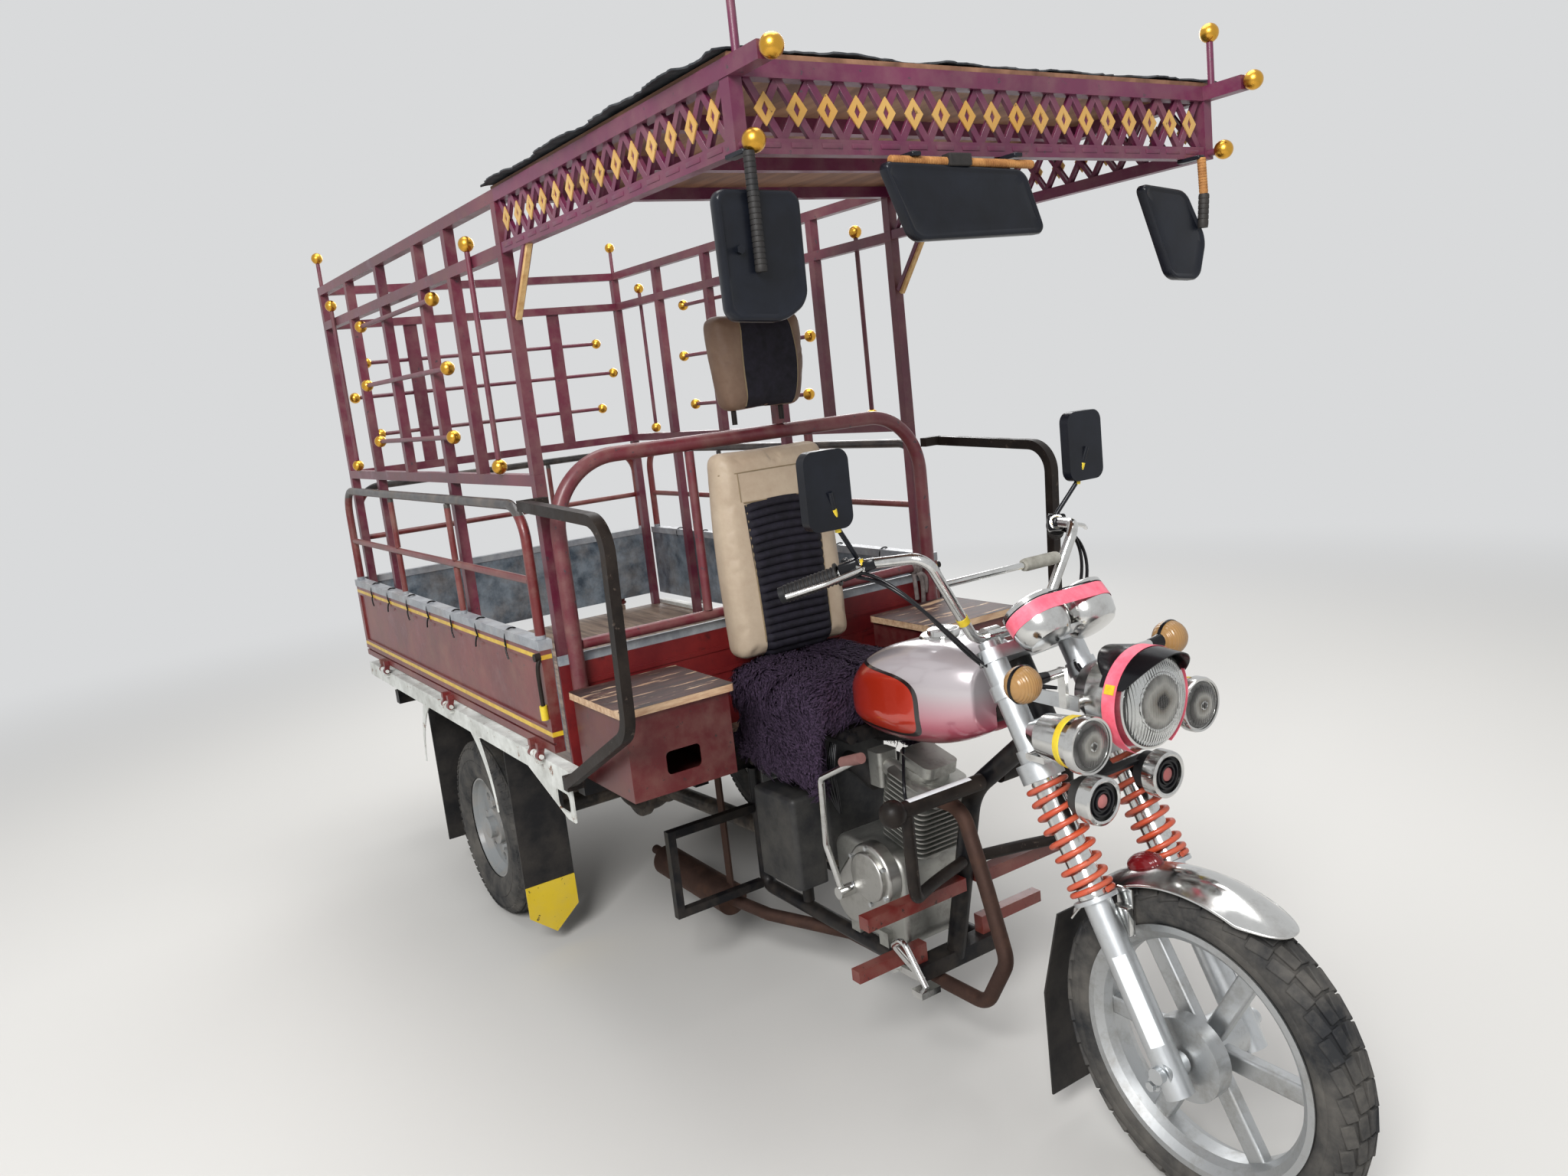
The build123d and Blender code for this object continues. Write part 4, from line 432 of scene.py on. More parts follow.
def lid_board():
    """A board lid: dark stain on top, worn pale in strips and all along its sawn edge."""
    material, output, place = new_material("stained_box_board")
    split = node(material, "ShaderNodeSeparateXYZ", {"Vector": place})
    fibres = node(material, "ShaderNodeMapping", {"Vector": place, "Scale": (26, 4, 26)})
    stain = worn_colour(material, fibres.outputs[0], "#1f1110", "#4d2c26", 2.0)
    pale = worn_colour(material, fibres.outputs[0], "#a98467", "#d3b795", 3.0)
    worn_field = node(
        material, "ShaderNodeTexNoise",
        {"Vector": fibres.outputs[0], "Scale": 1.3, "Detail": 5, "Roughness": 0.6}
    )
    worn = node(
        material, "ShaderNodeMapRange",
        {"Value": worn_field.outputs["Fac"], "From Min": 0.60, "From Max": 0.64}
    ).outputs[0]
    sawn_edge = band_mask(material, split.outputs["Z"], 0.88, LID_TOP - 0.0006, 0.0004)
    colour = lay_over(material, stain, [(worn, pale), (sawn_edge, pale)])
    bump = node(
        material, "ShaderNodeBump",
        {"Height": worn_field.outputs["Fac"], "Strength": 0.4, "Distance": 0.002}
    )
    shader = node(material, "ShaderNodeBsdfPrincipled", {"Base Color": colour, "Roughness": 0.6})
    return close_material(material, output, shader, bump)


LID_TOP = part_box("tool_box_lids")[1].z
lid_finish = lid_board()
print("front wall and lids painted")

# %% [markdown]
# ## Bright metals
# Chrome plate is a thin hard mirror over nickel. After years outside it has
# dull haze and tiny rust pits. Cast aluminium is paler and rougher, with a
# skin like fine sand. Both are full metals, so colour lives in the reflection.

# %% Metals


def metal(name, colour, stain, roughness, haze, stain_amount=0.3, grain=120, bump_strength=0.15):
    """A bare or plated metal: colour, stains in patches, and uneven polish."""
    material, output, place = new_material(name)
    patch = node(
        material, "ShaderNodeTexNoise", {"Vector": place, "Scale": 18, "Detail": 7, "Roughness": 0.7}
    )
    mask = node(
        material,
        "ShaderNodeMapRange",
        {"Value": patch.outputs["Fac"], "From Min": 0.5, "From Max": 0.72, "To Max": stain_amount},
    )
    tint = node(
        material,
        "ShaderNodeMix",
        {FACTOR: mask.outputs[0], COLOUR_A: linear(colour), COLOUR_B: linear(stain)},
        data_type="RGBA",
    )
    rough = node(
        material,
        "ShaderNodeMapRange",
        {"Value": patch.outputs["Fac"], "From Min": 0.3, "From Max": 0.75, "To Min": roughness,
            "To Max": haze},
    )
    fine = node(material, "ShaderNodeTexNoise", {"Vector": place, "Scale": grain, "Detail": 4})
    bump = node(
        material, "ShaderNodeBump",
        {"Height": fine.outputs["Fac"], "Strength": bump_strength, "Distance": 0.001}
    )
    shader = node(
        material,
        "ShaderNodeBsdfPrincipled",
        {"Base Color": tint.outputs[COLOUR_OUT], "Metallic": 1.0, "Roughness": rough.outputs[0]},
    )
    return close_material(material, output, shader, bump)


chrome = metal("chrome_plate", "#d4d4d2", "#6a5f55", 0.06, 0.3, 0.35, 200, 0.03)
metals = {
    "chrome_plate": chrome,
    "cast_aluminium": metal("sand_cast_aluminium", "#a9a9a4", "#66615a", 0.42, 0.62, 0.5),
    "cover_aluminium": metal("brushed_cover_aluminium", "#b2b1ad", "#7c776f", 0.28, 0.5, 0.5),
    "fork_silver": metal("fork_leg_aluminium", "#c9ccce", "#8d8b87", 0.32, 0.5, 0.35),
    "wheel_silver": metal("cast_wheel_aluminium", "#b8babb", "#857f76", 0.34, 0.58, 0.55),
    "rusty_exhaust": metal("heat_rusted_steel", "#54423c", "#6f5549", 0.6, 0.88, 0.8, 90, 0.5),
    "gold_plate": metal("gold_lacquered_steel", "#d9a441", "#8f6425", 0.16, 0.42, 0.4, 150, 0.05),
}
print("metals:", len(metals))

# %% [markdown]
# ## Rubber, plastic, board and felt
# Moulded ABS and rubber are dark and slightly rough; dust makes them grey.
# Plywood shows long pale fibres, and the roof sheet is old bitumen felt with
# a mineral face.

# %% Plain dark plastics and rubbers


def moulded(name, dark, dusty, roughness, grain=300, bump_strength=0.2, amount=0.5, scale=8, gloss=0.3):
    """Moulded rubber or plastic with a fine grain and dust in patches."""
    material, output, place = new_material(name)
    colour = worn_colour(material, place, dark, dusty, scale)
    plain = node(
        material,
        "ShaderNodeMix",
        {FACTOR: amount, COLOUR_A: linear(dark), COLOUR_B: colour},
        data_type="RGBA",
    )
    fine = node(material, "ShaderNodeTexNoise", {"Vector": place, "Scale": grain, "Detail": 3})
    bump = node(
        material, "ShaderNodeBump",
        {"Height": fine.outputs["Fac"], "Strength": bump_strength, "Distance": 0.0008}
    )
    shader = node(
        material,
        "ShaderNodeBsdfPrincipled",
        {"Base Color": plain.outputs[COLOUR_OUT], "Roughness": roughness, "Specular IOR Level": gloss},
    )
    return close_material(material, output, shader, bump)


plastics = {
    "black_plastic": moulded("side_box_abs", "#1d1e21", "#4b4945", 0.5, amount=0.6),
    "black_rubber": moulded("flap_rubber", "#161618", "#45403b", 0.6),
    "mirror_plastic": moulded("mirror_abs", "#0e1016", "#1c202a", 0.3, 300, 0.06, 0.5),
    "grip_rubber": moulded("grip_rubber", "#131315", "#2a2a2c", 0.5),
    "tyre_rubber": moulded("tyre_rubber", "#242527", "#66625c", 0.78, 160, 0.4, 0.7, 9),
    "roofing_felt": moulded("bitumen_felt", "#22262a", "#55575a", 0.85, 90, 0.8, 0.9, 12),
    "worn_plywood": moulded("worn_box_plywood", "#3a2723", "#8a6d57", 0.7, 60, 0.4, 0.9, 14),
    "weathered_steel": moulded("weathered_galvanised_sheet", "#3f4b57", "#8a939a", 0.5, 60, 0.3, 0.9, 12),
}
print("plastics and boards:", len(plastics))

# %% Bare plywood for the roof's ceiling


def plywood():
    """Rotary-cut veneer: long wavy bands along the sheet, with darker fibres."""
    material, output, place = new_material("roof_plywood")
    turned = node(material, "ShaderNodeMapping", {"Vector": place, "Scale": (1.2, 9, 9)})
    bands = node(
        material, "ShaderNodeTexNoise",
        {"Vector": turned.outputs[0], "Scale": 2.2, "Detail": 8, "Distortion": 0.8}
    )
    colour = node(
        material,
        "ShaderNodeValToRGB",
        {"Fac": bands.outputs["Fac"]},
        stops=[(0.3, "#5b3a2a"), (0.7, "#9a7257"), (0.5, "#7f5a43")],
    )
    bump = node(
        material, "ShaderNodeBump", {"Height": bands.outputs["Fac"], "Strength": 0.2, "Distance": 0.001}
    )
    shader = node(
        material, "ShaderNodeBsdfPrincipled", {"Base Color": colour.outputs["Color"], "Roughness": 0.62}
    )
    return close_material(material, output, shader, bump)


plastics["roof_plywood"] = plywood()

# %% [markdown]
# ## The tank's lacquer
# The tank was sprayed silver in the middle and fades to red at its edges and
# underside. A ramp on height makes the fade, and a clear coat on top gives the
# deep gloss.

# %% Tank lacquer
tank_low, tank_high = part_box("fuel_tank")


PANEL_CENTRE = (1.530, 0.872)
PANEL_HALF = (0.148, 0.066)
PANEL_LINE = 1.10


def tank_panel_masks(material, split):
    """A black-edged red field on each side of the tank: a rounded box told by its fourth powers."""
    parts = []
    for axis, centre, half in (
        ("X", REAR_X + PANEL_CENTRE[0], PANEL_HALF[0]), ("Z", PANEL_CENTRE[1], PANEL_HALF[1])
    ):
        off = node(material, "ShaderNodeMath", {0: split.outputs[axis], 1: centre}, operation="SUBTRACT")
        scaled = node(material, "ShaderNodeMath", {0: off.outputs[0], 1: half}, operation="DIVIDE")
        squared = node(
            material, "ShaderNodeMath", {0: scaled.outputs[0], 1: scaled.outputs[0]}, operation="MULTIPLY"
        )
        parts.append(
            node(material, "ShaderNodeMath", {0: squared.outputs[0], 1: squared.outputs[0]},
                operation="MULTIPLY")
        )
    reach = node(
        material, "ShaderNodeMath", {0: parts[0].outputs[0], 1: parts[1].outputs[0]}, operation="ADD"
    )
    edge = node(material, "ShaderNodeMath", {0: reach.outputs[0], 1: PANEL_LINE**4}, operation="LESS_THAN")
    field = node(material, "ShaderNodeMath", {0: reach.outputs[0], 1: 1.0}, operation="LESS_THAN")
    return [(edge.outputs[0], linear("#140a0c")), (field.outputs[0], linear("#c0311a"))]


def tank_lacquer():
    """Silver lacquer fading to red low down and at the ends, under clear coat."""
    material, output, place = new_material("tank_silver_red_lacquer")
    split = node(material, "ShaderNodeSeparateXYZ", {"Vector": place})
    lift = node(
        material,
        "ShaderNodeMapRange",
        {"Value": split.outputs["Z"], "From Min": tank_low.z, "From Max": tank_high.z - 0.06},
    )
    fade = node(
        material,
        "ShaderNodeValToRGB",
        {"Fac": lift.outputs[0]},
        stops=[(0.06, "#8d1022"), (0.78, "#b9b1b4"), (0.36, "#b4586a")],
    )
    colour = lay_over(material, fade.outputs["Color"], tank_panel_masks(material, split))
    shader = node(
        material,
        "ShaderNodeBsdfPrincipled",
        {
            "Base Color": colour,
            "Metallic": 0.35,
            "Roughness": 0.28,
            "Coat Weight": 1.0,
            "Coat Roughness": 0.06,
        },
    )
    return close_material(material, output, shader)


tank_finish = tank_lacquer()

# %% [markdown]
# ## Dress the CAD pieces
# Each CAD piece takes the finish of its material slot in the record.

# %% Finish the CAD pieces
finishes = {**enamels, **metals, **plastics}
finishes.update(
    {
        "white_rail_paint": bed_finish,
        "maroon_gate_paint": side_paint,
        "tank_paint": tank_finish,
        "orange_spring_paint": enamel("spring_orange_enamel", "#b23c1f", "#c9512d", chips=0.3, dustiness=0.3),
        "purple_fur": moulded("dyed_fur", "#241a2c", "#3d2f47", 0.9),
        "beige_vinyl": moulded("beige_vinyl", "#a89580", "#c2b29c", 0.45, 400, 0.3, 0.7, 6),
        "brown_vinyl": moulded("brown_vinyl", "#6d5546", "#8b7562", 0.5, 400, 0.3, 0.7, 6),
    }
)
slots = {entry["node"]: entry["material_slot"] for entry in frame["record"]["subparts"]}
own_finishes = {"tailgate": tail_paint, "front_wall": wall_finish, "tool_box_lids": lid_finish}
for name, obj in nodes.items():
    obj.data.materials.clear()
    obj.data.materials.append(own_finishes.get(name, finishes[slots[name]]))
print("CAD pieces dressed:", len(nodes))

# %% [markdown]
# ## Tools for new pieces
# A new piece is drawn in a bmesh, a mesh held in memory, and then becomes an
# object that rides on one body of the frame. Most parts of a motorcycle are
# turned, drawn as rod or folded from plate, so four small tools go a long way:
# a turned profile, a rod, a rounded block and a bent wire.

# %% Piece, profile, rod, block and wire


def new_piece(name, shape, body, finish, stands_for=(), angle=38):
    """Make an object of a bmesh, smooth it below an angle, and let it ride on a body."""
    bmesh.ops.remove_doubles(shape, verts=shape.verts, dist=0.00002)
    bmesh.ops.recalc_face_normals(shape, faces=shape.faces)
    data = bpy.data.meshes.new(name)
    shape.to_mesh(data)
    shape.free()
    data.materials.append(finish)
    data.shade_smooth()
    data.set_sharp_from_angle(angle=math.radians(angle))
    piece = bpy.data.objects.new(name, data)
    bpy.context.scene.collection.objects.link(piece)
    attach(piece, body)
    if stands_for:
        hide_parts(*stands_for)
    return piece


def turn(shape, profile, centre, axis, steps=64, angle=2 * math.pi, start=None):
    """Turn a profile of (radius, along) points about an axis through centre."""
    way = Vector(axis).normalized()
    out = Vector(start).normalized() if start else way.orthogonal().normalized()
    verts = [shape.verts.new(Vector(centre) + out * radius + way * along) for radius, along in profile]
    edges = [shape.edges.new(pair) for pair in zip(verts, verts[1:])]
    return bmesh.ops.spin(
        shape,
        geom=verts + edges,
        cent=centre,
        axis=way,
        angle=angle,
        steps=steps,
        use_merge=angle > 6.28,
    )["geom_last"]


def rod(shape, start, end, radius, segments=16, tip=None):
    """A straight rod, or a cone where tip gives another radius at its end."""
    start, end = Vector(start), Vector(end)
    way = end - start
    matrix = Matrix.Translation((start + end) / 2) @ way.to_track_quat("Z", "Y").to_matrix().to_4x4()
    return bmesh.ops.create_cone(
        shape,
        cap_ends=True,
        segments=segments,
        radius1=radius,
        radius2=radius if tip is None else tip,
        depth=way.length,
        matrix=matrix,
    )["verts"]


def slab(shape, size, matrix, bevel=0.001, segments=2):
    """A block of a size, placed by a matrix, with rounded edges."""
    verts = bmesh.ops.create_cube(shape, size=1, matrix=matrix @ Matrix.Diagonal((*size, 1)))["verts"]
    edges = list({edge for vert in verts for edge in vert.link_edges})
    made = bmesh.ops.bevel(
        shape,
        geom=edges,
        offset=bevel,
        offset_type="OFFSET",
        segments=segments,
        profile=0.5,
        affect="EDGES",
        material=-1,
    )
    return verts, made["faces"]


def wire(shape, points, radius, cyclic=False, sides=3):
    """A bent wire: a round section along a smooth curve near the points."""
    curve = bpy.data.curves.new("wire", "CURVE")
    curve.dimensions = "3D"
    curve.bevel_depth = radius
    curve.bevel_resolution = sides
    curve.use_fill_caps = not cyclic
    curve.resolution_u = 6
    spline = curve.splines.new("NURBS")
    spline.points.add(len(points) - 1)
    for point, place in zip(spline.points, points):
        point.co = (*place, 1)
    spline.order_u = 3
    spline.use_endpoint_u = not cyclic
    spline.use_cyclic_u = cyclic
    holder = bpy.data.objects.new("wire", curve)
    mesh = bpy.data.meshes.new_from_object(holder)
    shape.from_mesh(mesh)
    bpy.data.objects.remove(holder)
    bpy.data.meshes.remove(mesh)


def stations(first, last, count):
    """Evenly spaced numbers from first to last."""
    return [first + (last - first) * index / (count - 1) for index in range(count)]


def facing(place, normal, up=(0, 0, 1)):
    """A matrix at place whose Z points along normal and whose Y leans to up."""
    z = Vector(normal).normalized()
    x = Vector(up).cross(z).normalized()
    y = z.cross(x)
    return Matrix.Translation(place) @ Matrix((x, y, z)).transposed().to_4x4()


print("tools ready")

# %% [markdown]
# ## Tapes, glass and lamps' own materials
# The rider has dressed the lamps and stalks with pink and yellow vinyl tape.
# Tape is calendered PVC: even in colour, with a soft sheen and faint ripples.
# Lamp glass is pressed, with ribs about 6 mm apart that spread the beam.

# %% Tape and glass


def tape(name, colour, faded):
    """PVC tape: two near shades, a soft sheen and shallow wrinkles."""
    material, output, place = new_material(name)
    colour_field = worn_colour(material, place, colour, faded, 25)
    wrinkle = node(material, "ShaderNodeTexNoise", {"Vector": place, "Scale": 90, "Detail": 3})
    bump = node(
        material, "ShaderNodeBump", {"Height": wrinkle.outputs["Fac"], "Strength": 0.2, "Distance": 0.001}
    )
    shader = node(material, "ShaderNodeBsdfPrincipled", {"Base Color": colour_field, "Roughness": 0.42})
    return close_material(material, output, shader, bump)


pink_tape = tape("pink_vinyl_tape", "#ee6076", "#ff8496")
yellow_tape = tape("yellow_vinyl_tape", "#cfae1e", "#e5cf3c")
white_tape = tape("white_reflective_tape", "#dfe3e6", "#f2f4f4")


def pressed_glass(name, colour, rib_spacing, roughness=0.06, transmission=0.9):
    """Pressed lamp glass with upright ribs."""
    material, output, place = new_material(name)
    ribs = node(
        material,
        "ShaderNodeTexWave",
        {"Vector": place, "Scale": 2 * math.pi / (20 * rib_spacing), "Distortion": 0.4},
        bands_direction="Y",
        wave_profile="SIN",
    )
    bump = node(
        material, "ShaderNodeBump", {"Height": ribs.outputs["Fac"], "Strength": 0.35, "Distance": 0.002}
    )
    shader = node(
        material,
        "ShaderNodeBsdfPrincipled",
        {
            "Base Color": linear(colour),
            "Roughness": roughness,
            "IOR": 1.5,
            "Transmission Weight": transmission,
        },
    )
    return close_material(material, output, shader, bump)


clear_glass = pressed_glass("pressed_lamp_glass", "#f8fafa", 0.006, 0.015, 1.0)
amber_glass = pressed_glass("amber_acrylic_lens", "#a9814f", 0.005, 0.22, 0.12)
red_glass = pressed_glass("red_acrylic_lens", "#7d1a20", 0.005, 0.12, 0.3)
dial_black = moulded("dial_face_paint", "#0d0d10", "#1d1d22", 0.4)
pale_batten = moulded("split_poplar_batten", "#b98f5c", "#dcbb85", 0.7, 60, 0.4, 1.0, 30)
tan_winding = moulded("tan_cord_winding", "#8a5a30", "#b9854e", 0.75, 300, 0.4, 1.0, 40)
foam_grey = moulded("foam_wrap", "#8d8a80", "#b3b0a6", 0.9, 160, 0.6, 0.8, 30)
gloss_black = moulded("gloss_black_abs", "#0c0c0f", "#1c1c20", 0.22, 300, 0.05, 0.4)
pink_cone = moulded("pink_horn_cone", "#9a5a58", "#c28481", 0.5)
mirror_glass = metal("silvered_mirror_glass", "#e6e9ea", "#b8bcbe", 0.02, 0.06, 0.1, 20, 0.0)
print("tapes and glass ready")

# %% [markdown]
# ## Front tyre
# The front tyre has square blocks in four columns, set in shallow chevrons,
# one row every 50 mm. A tread is the same few blocks repeated, so one row is
# shaped, then copied round the axle with spin. Under it lies a plain turned
# casing with a bead, two rims lines on the side wall and a low crown.

# %% Front tyre
AXLE = (0, 1, 0)
FRONT_BEAD = 0.2363
CROWN_LIFT = 0.0075
front_casing_half = [
    # to the side, out from the axle
    (0.0338, FRONT_BEAD),
    (0.0400, FRONT_BEAD + 0.006),
    (0.0452, 0.2520),
    (0.0475, 0.2640),
    (0.0468, 0.2655),
    (0.0478, 0.2680),
    (0.0470, 0.2800),
    (0.0430, 0.2900),
    (0.0330, 0.2985),
    (0.0180, 0.3032),
    (0.0, 0.3045),
]
casing_section = front_casing_half + [(-side, out) for side, out in reversed(front_casing_half[:-1])]
shape = bmesh.new()
turn(shape, [(out, side) for side, out in casing_section], FRONT_AXLE, AXLE, 144)
tread_columns = [
    # place across the crown, lean, shift along, turn about the radius, block width
    (-0.0345, -40, 0.010, 14, 0.0215),
    (-0.0118, -11, 0.0, 8, 0.0205),
    (0.0118, 11, 0.0, -8, 0.0205),
    (0.0345, 40, 0.010, -14, 0.0215),
]
FRONT_ROWS = 40
BLOCK_LENGTH = 0.0425
tread_start = len(shape.verts)
for side, lean, shift, skew, width in tread_columns:
    seat_out = 0.3045 - CROWN_LIFT * 0.25 - (abs(side) / 0.0345) ** 2 * 0.0085
    matrix = (
        Matrix.Translation(FRONT_AXLE)
        @ Matrix.Rotation(shift / seat_out, 4, "Y")
        @ Matrix.Translation((0, side, seat_out))
        @ Matrix.Rotation(math.radians(-lean), 4, "X")
        @ Matrix.Rotation(math.radians(skew), 4, "Z")
    )
    slab(shape, (BLOCK_LENGTH, width, 2 * CROWN_LIFT), matrix, 0.0016, 1)
shape.verts.ensure_lookup_table()
block_verts = set(shape.verts[tread_start:])
block_geom = list(block_verts)
block_geom += [edge for edge in shape.edges if edge.verts[0] in block_verts]
block_geom += [face for face in shape.faces if face.verts[0] in block_verts]
bmesh.ops.spin(
    shape,
    geom=block_geom,
    cent=FRONT_AXLE,
    axis=AXLE,
    angle=2 * math.pi * (FRONT_ROWS - 1) / FRONT_ROWS,
    steps=FRONT_ROWS - 1,
    use_duplicate=True,
)
front_tyre = new_piece(
    "front_block_tyre", shape, "front_wheel", finishes["tyre_rubber"], ["front_tyre"]
)
print("front tyre faces:", len(front_tyre.data.polygons))

# %% [markdown]
# ## Rear tyres
# The rear tyres are van tyres: four ribs between three grooves, with short
# sipes across the shoulders. The grooves are part of the turned section, and
# the shoulder lugs are copied round it.

# %% Rear tyres
REAR_BEAD = 0.1623
rear_casing_half = [
    (0.0530, REAR_BEAD),
    (0.0600, REAR_BEAD + 0.010),
    (0.0655, 0.196),
    (0.0668, 0.222),
    (0.0650, 0.2235),
    (0.0666, 0.2260),
    (0.0645, 0.2480),
    (0.0570, 0.2700),
    (0.0470, 0.2795),
    (0.0400, 0.2815),
    (0.0385, 0.2755),
    (0.0345, 0.2755),
    (0.0330, 0.2822),
    (0.0160, 0.2838),
    (0.0050, 0.2839),
    (0.0038, 0.2775),
    (0.0, 0.2775),
]
REAR_LUGS = 68


def rear_tyre(side):
    """One rear tyre: a grooved casing and two rings of shoulder lugs."""
    low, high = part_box(f"rear_tyre_{side}")
    centre = (Vector(low) + Vector(high)) / 2
    shape = bmesh.new()
    section = rear_casing_half + [(-away, out) for away, out in reversed(rear_casing_half[:-1])]
    turn(shape, [(out, away) for away, out in section], centre, AXLE, 128)
    first = len(shape.verts)
    for away in (-1, 1):
        matrix = (
            Matrix.Translation(centre)
            @ Matrix.Translation((0, away * 0.0545, 0.2706))
            @ Matrix.Rotation(math.radians(-away * 47), 4, "X")
            @ Matrix.Rotation(math.radians(away * 12), 4, "Z")
        )
        slab(shape, (0.0185, 0.026, 0.0042), matrix, 0.0011, 1)
    shape.verts.ensure_lookup_table()
    lug_verts = set(shape.verts[first:])
    lug_geom = list(lug_verts)
    lug_geom += [edge for edge in shape.edges if edge.verts[0] in lug_verts]
    lug_geom += [face for face in shape.faces if face.verts[0] in lug_verts]
    bmesh.ops.spin(
        shape,
        geom=lug_geom,
        cent=centre,
        axis=AXLE,
        angle=2 * math.pi * (REAR_LUGS - 1) / REAR_LUGS,
        steps=REAR_LUGS - 1,
        use_duplicate=True,
    )
    return new_piece(
        f"rear_road_tyre_{side}",
        shape,
        f"rear_wheel_{side}",
        finishes["tyre_rubber"],
        [f"rear_tyre_{side}"],
    )


for side in ("left", "right"):
    print("rear tyre faces:", len(rear_tyre(side).data.polygons))

# %% [markdown]
# ## Fork springs
# Each fork leg carries an outside coil spring of 9 mm wire, painted orange, on
# a chrome tube. A coil is a circle swept round an axis while it climbs, which
# is what spin does when it is also given a step to move by. The last turn at
# each end is closed up and lies flat on its cup.

# %% Fork springs and their tubes
FORK_OFFSET = 0.055
FORK_HALF_SPACING = 0.105
SPRING_LOW = 0.3185
SPRING_HIGH = 0.5475
WIRE_RADIUS = 0.0054
COIL_RADIUS = 0.0376
COIL_STEPS = 28
spring_sections = [
    # turns, climb in all
    (1.5, 0.0180),
    (7.0, SPRING_HIGH - SPRING_LOW - 2 * WIRE_RADIUS - 0.0300),
    (1.0, 0.0120),
]
shape = bmesh.new()
for side in (-1, 1):
    foot = on_fork(FORK_OFFSET, side * FORK_HALF_SPACING, SPRING_LOW + WIRE_RADIUS)
    matrix = facing(foot + HEAD_ACROSS * COIL_RADIUS, (0, 1, 0), HEAD_UP)
    ring = bmesh.ops.create_circle(shape, segments=10, radius=WIRE_RADIUS, matrix=matrix)["verts"]
    geom = ring + list({edge for vert in ring for edge in vert.link_edges})
    for turns, climb in spring_sections:
        steps = round(turns * COIL_STEPS)
        geom = bmesh.ops.spin(
            shape,
            geom=geom,
            cent=foot,
            axis=HEAD_UP,
            dvec=HEAD_UP * (climb / steps),
            angle=turns * 2 * math.pi,
            steps=steps,
        )["geom_last"]
bmesh.ops.holes_fill(shape, edges=shape.edges, sides=12)
springs = new_piece(
    "fork_coil_springs", shape, "front_fork", finishes["orange_spring_paint"],
    ["fork_springs"]
)
shape = bmesh.new()
for side in (-1, 1):
    low = on_fork(FORK_OFFSET, side * FORK_HALF_SPACING, SPRING_LOW)
    turn(
        shape,
        [
            (0.0225, 0.0),
            (0.0310, 0.0),
            (0.0310, 0.012),
            (0.0265, 0.022),
            (0.0265, SPRING_HIGH - SPRING_LOW),
            (0.0225, SPRING_HIGH - SPRING_LOW),
        ],
        low,
        HEAD_UP,
        40,
    )
new_piece("fork_chrome_tubes", shape, "front_fork", chrome)
print("springs:", len(springs.data.polygons), "faces")

# %% [markdown]
# ## Fork trim
# The right leg has a strip of white reflective tape down its outer side. Each
# leg ends in a split lug, closed on the axle by a pinch bolt, and the mudguard
# carries a small red lamp behind the crown.

# %% Fork tape, pinch bolts and mudguard lamp
shape = bmesh.new()
for side, start_turn in ((-1, -78), (1, 22)):
    foot = on_fork(FORK_OFFSET, side * FORK_HALF_SPACING, 0.045)
    start = Matrix.Rotation(math.radians(start_turn), 3, HEAD_UP) @ HEAD_ACROSS
    turn(shape, [(0.0276, 0.0), (0.0276, 0.165)], foot, HEAD_UP, 12, math.radians(56), start)
strip = new_piece("fork_reflective_tape", shape, "front_fork", white_tape)
shape = bmesh.new()
for side in (-1, 1):
    lug = on_fork(FORK_OFFSET - 0.030, side * FORK_HALF_SPACING, -0.018)
    across = Vector((0, 0.021, 0))
    rod(shape, lug - across, lug + across, 0.0135, 24)
    rod(shape, lug - across * 1.5, lug + across * 1.5, 0.006, 12)
    rod(shape, lug - across * 1.62, lug - across * 1.25, 0.0095, 6)
    rod(shape, lug + across * 1.25, lug + across * 1.62, 0.0095, 6)
new_piece("fork_pinch_bolts", shape, "front_fork", finishes["fork_silver"])
lamp_seat = Vector((FRONT_AXLE.x - 0.118, 0, 0.632))
lamp_lean = Matrix.Rotation(math.radians(-20), 4, "Y")
shape = bmesh.new()
bmesh.ops.create_uvsphere(
    shape, u_segments=28, v_segments=14, radius=1,
    matrix=Matrix.Translation(lamp_seat) @ lamp_lean @ Matrix.Diagonal((0.040, 0.026, 0.022, 1))
)
new_piece("mudguard_red_lamp", shape, "front_fork", red_glass)

# %% [markdown]
# ## Head lamp
# The lamp's shell and rim are CAD pieces. A pressed lens stands just in front
# of the chrome dish, a black peak shades it, and pink tape is wrapped over the
# back of the peak. The peak is an arc of sheet, spun about the lamp's axis and
# drawn back at its ends.

# %% Head lamp lens, peak and tape
LAMP = at(2.200, 0, 0.955)
LAMP_RADIUS = 0.092
shape = bmesh.new()
turn(
    shape,
    [(0.0, 0.0235), (0.030, 0.0225), (0.055, 0.0180), (0.074, 0.0100), (0.0835, 0.0025), (0.0845, -0.0005)],
    LAMP,
    (1, 0, 0),
    64,
)
new_piece("head_lamp_lens", shape, "front_fork", clear_glass)


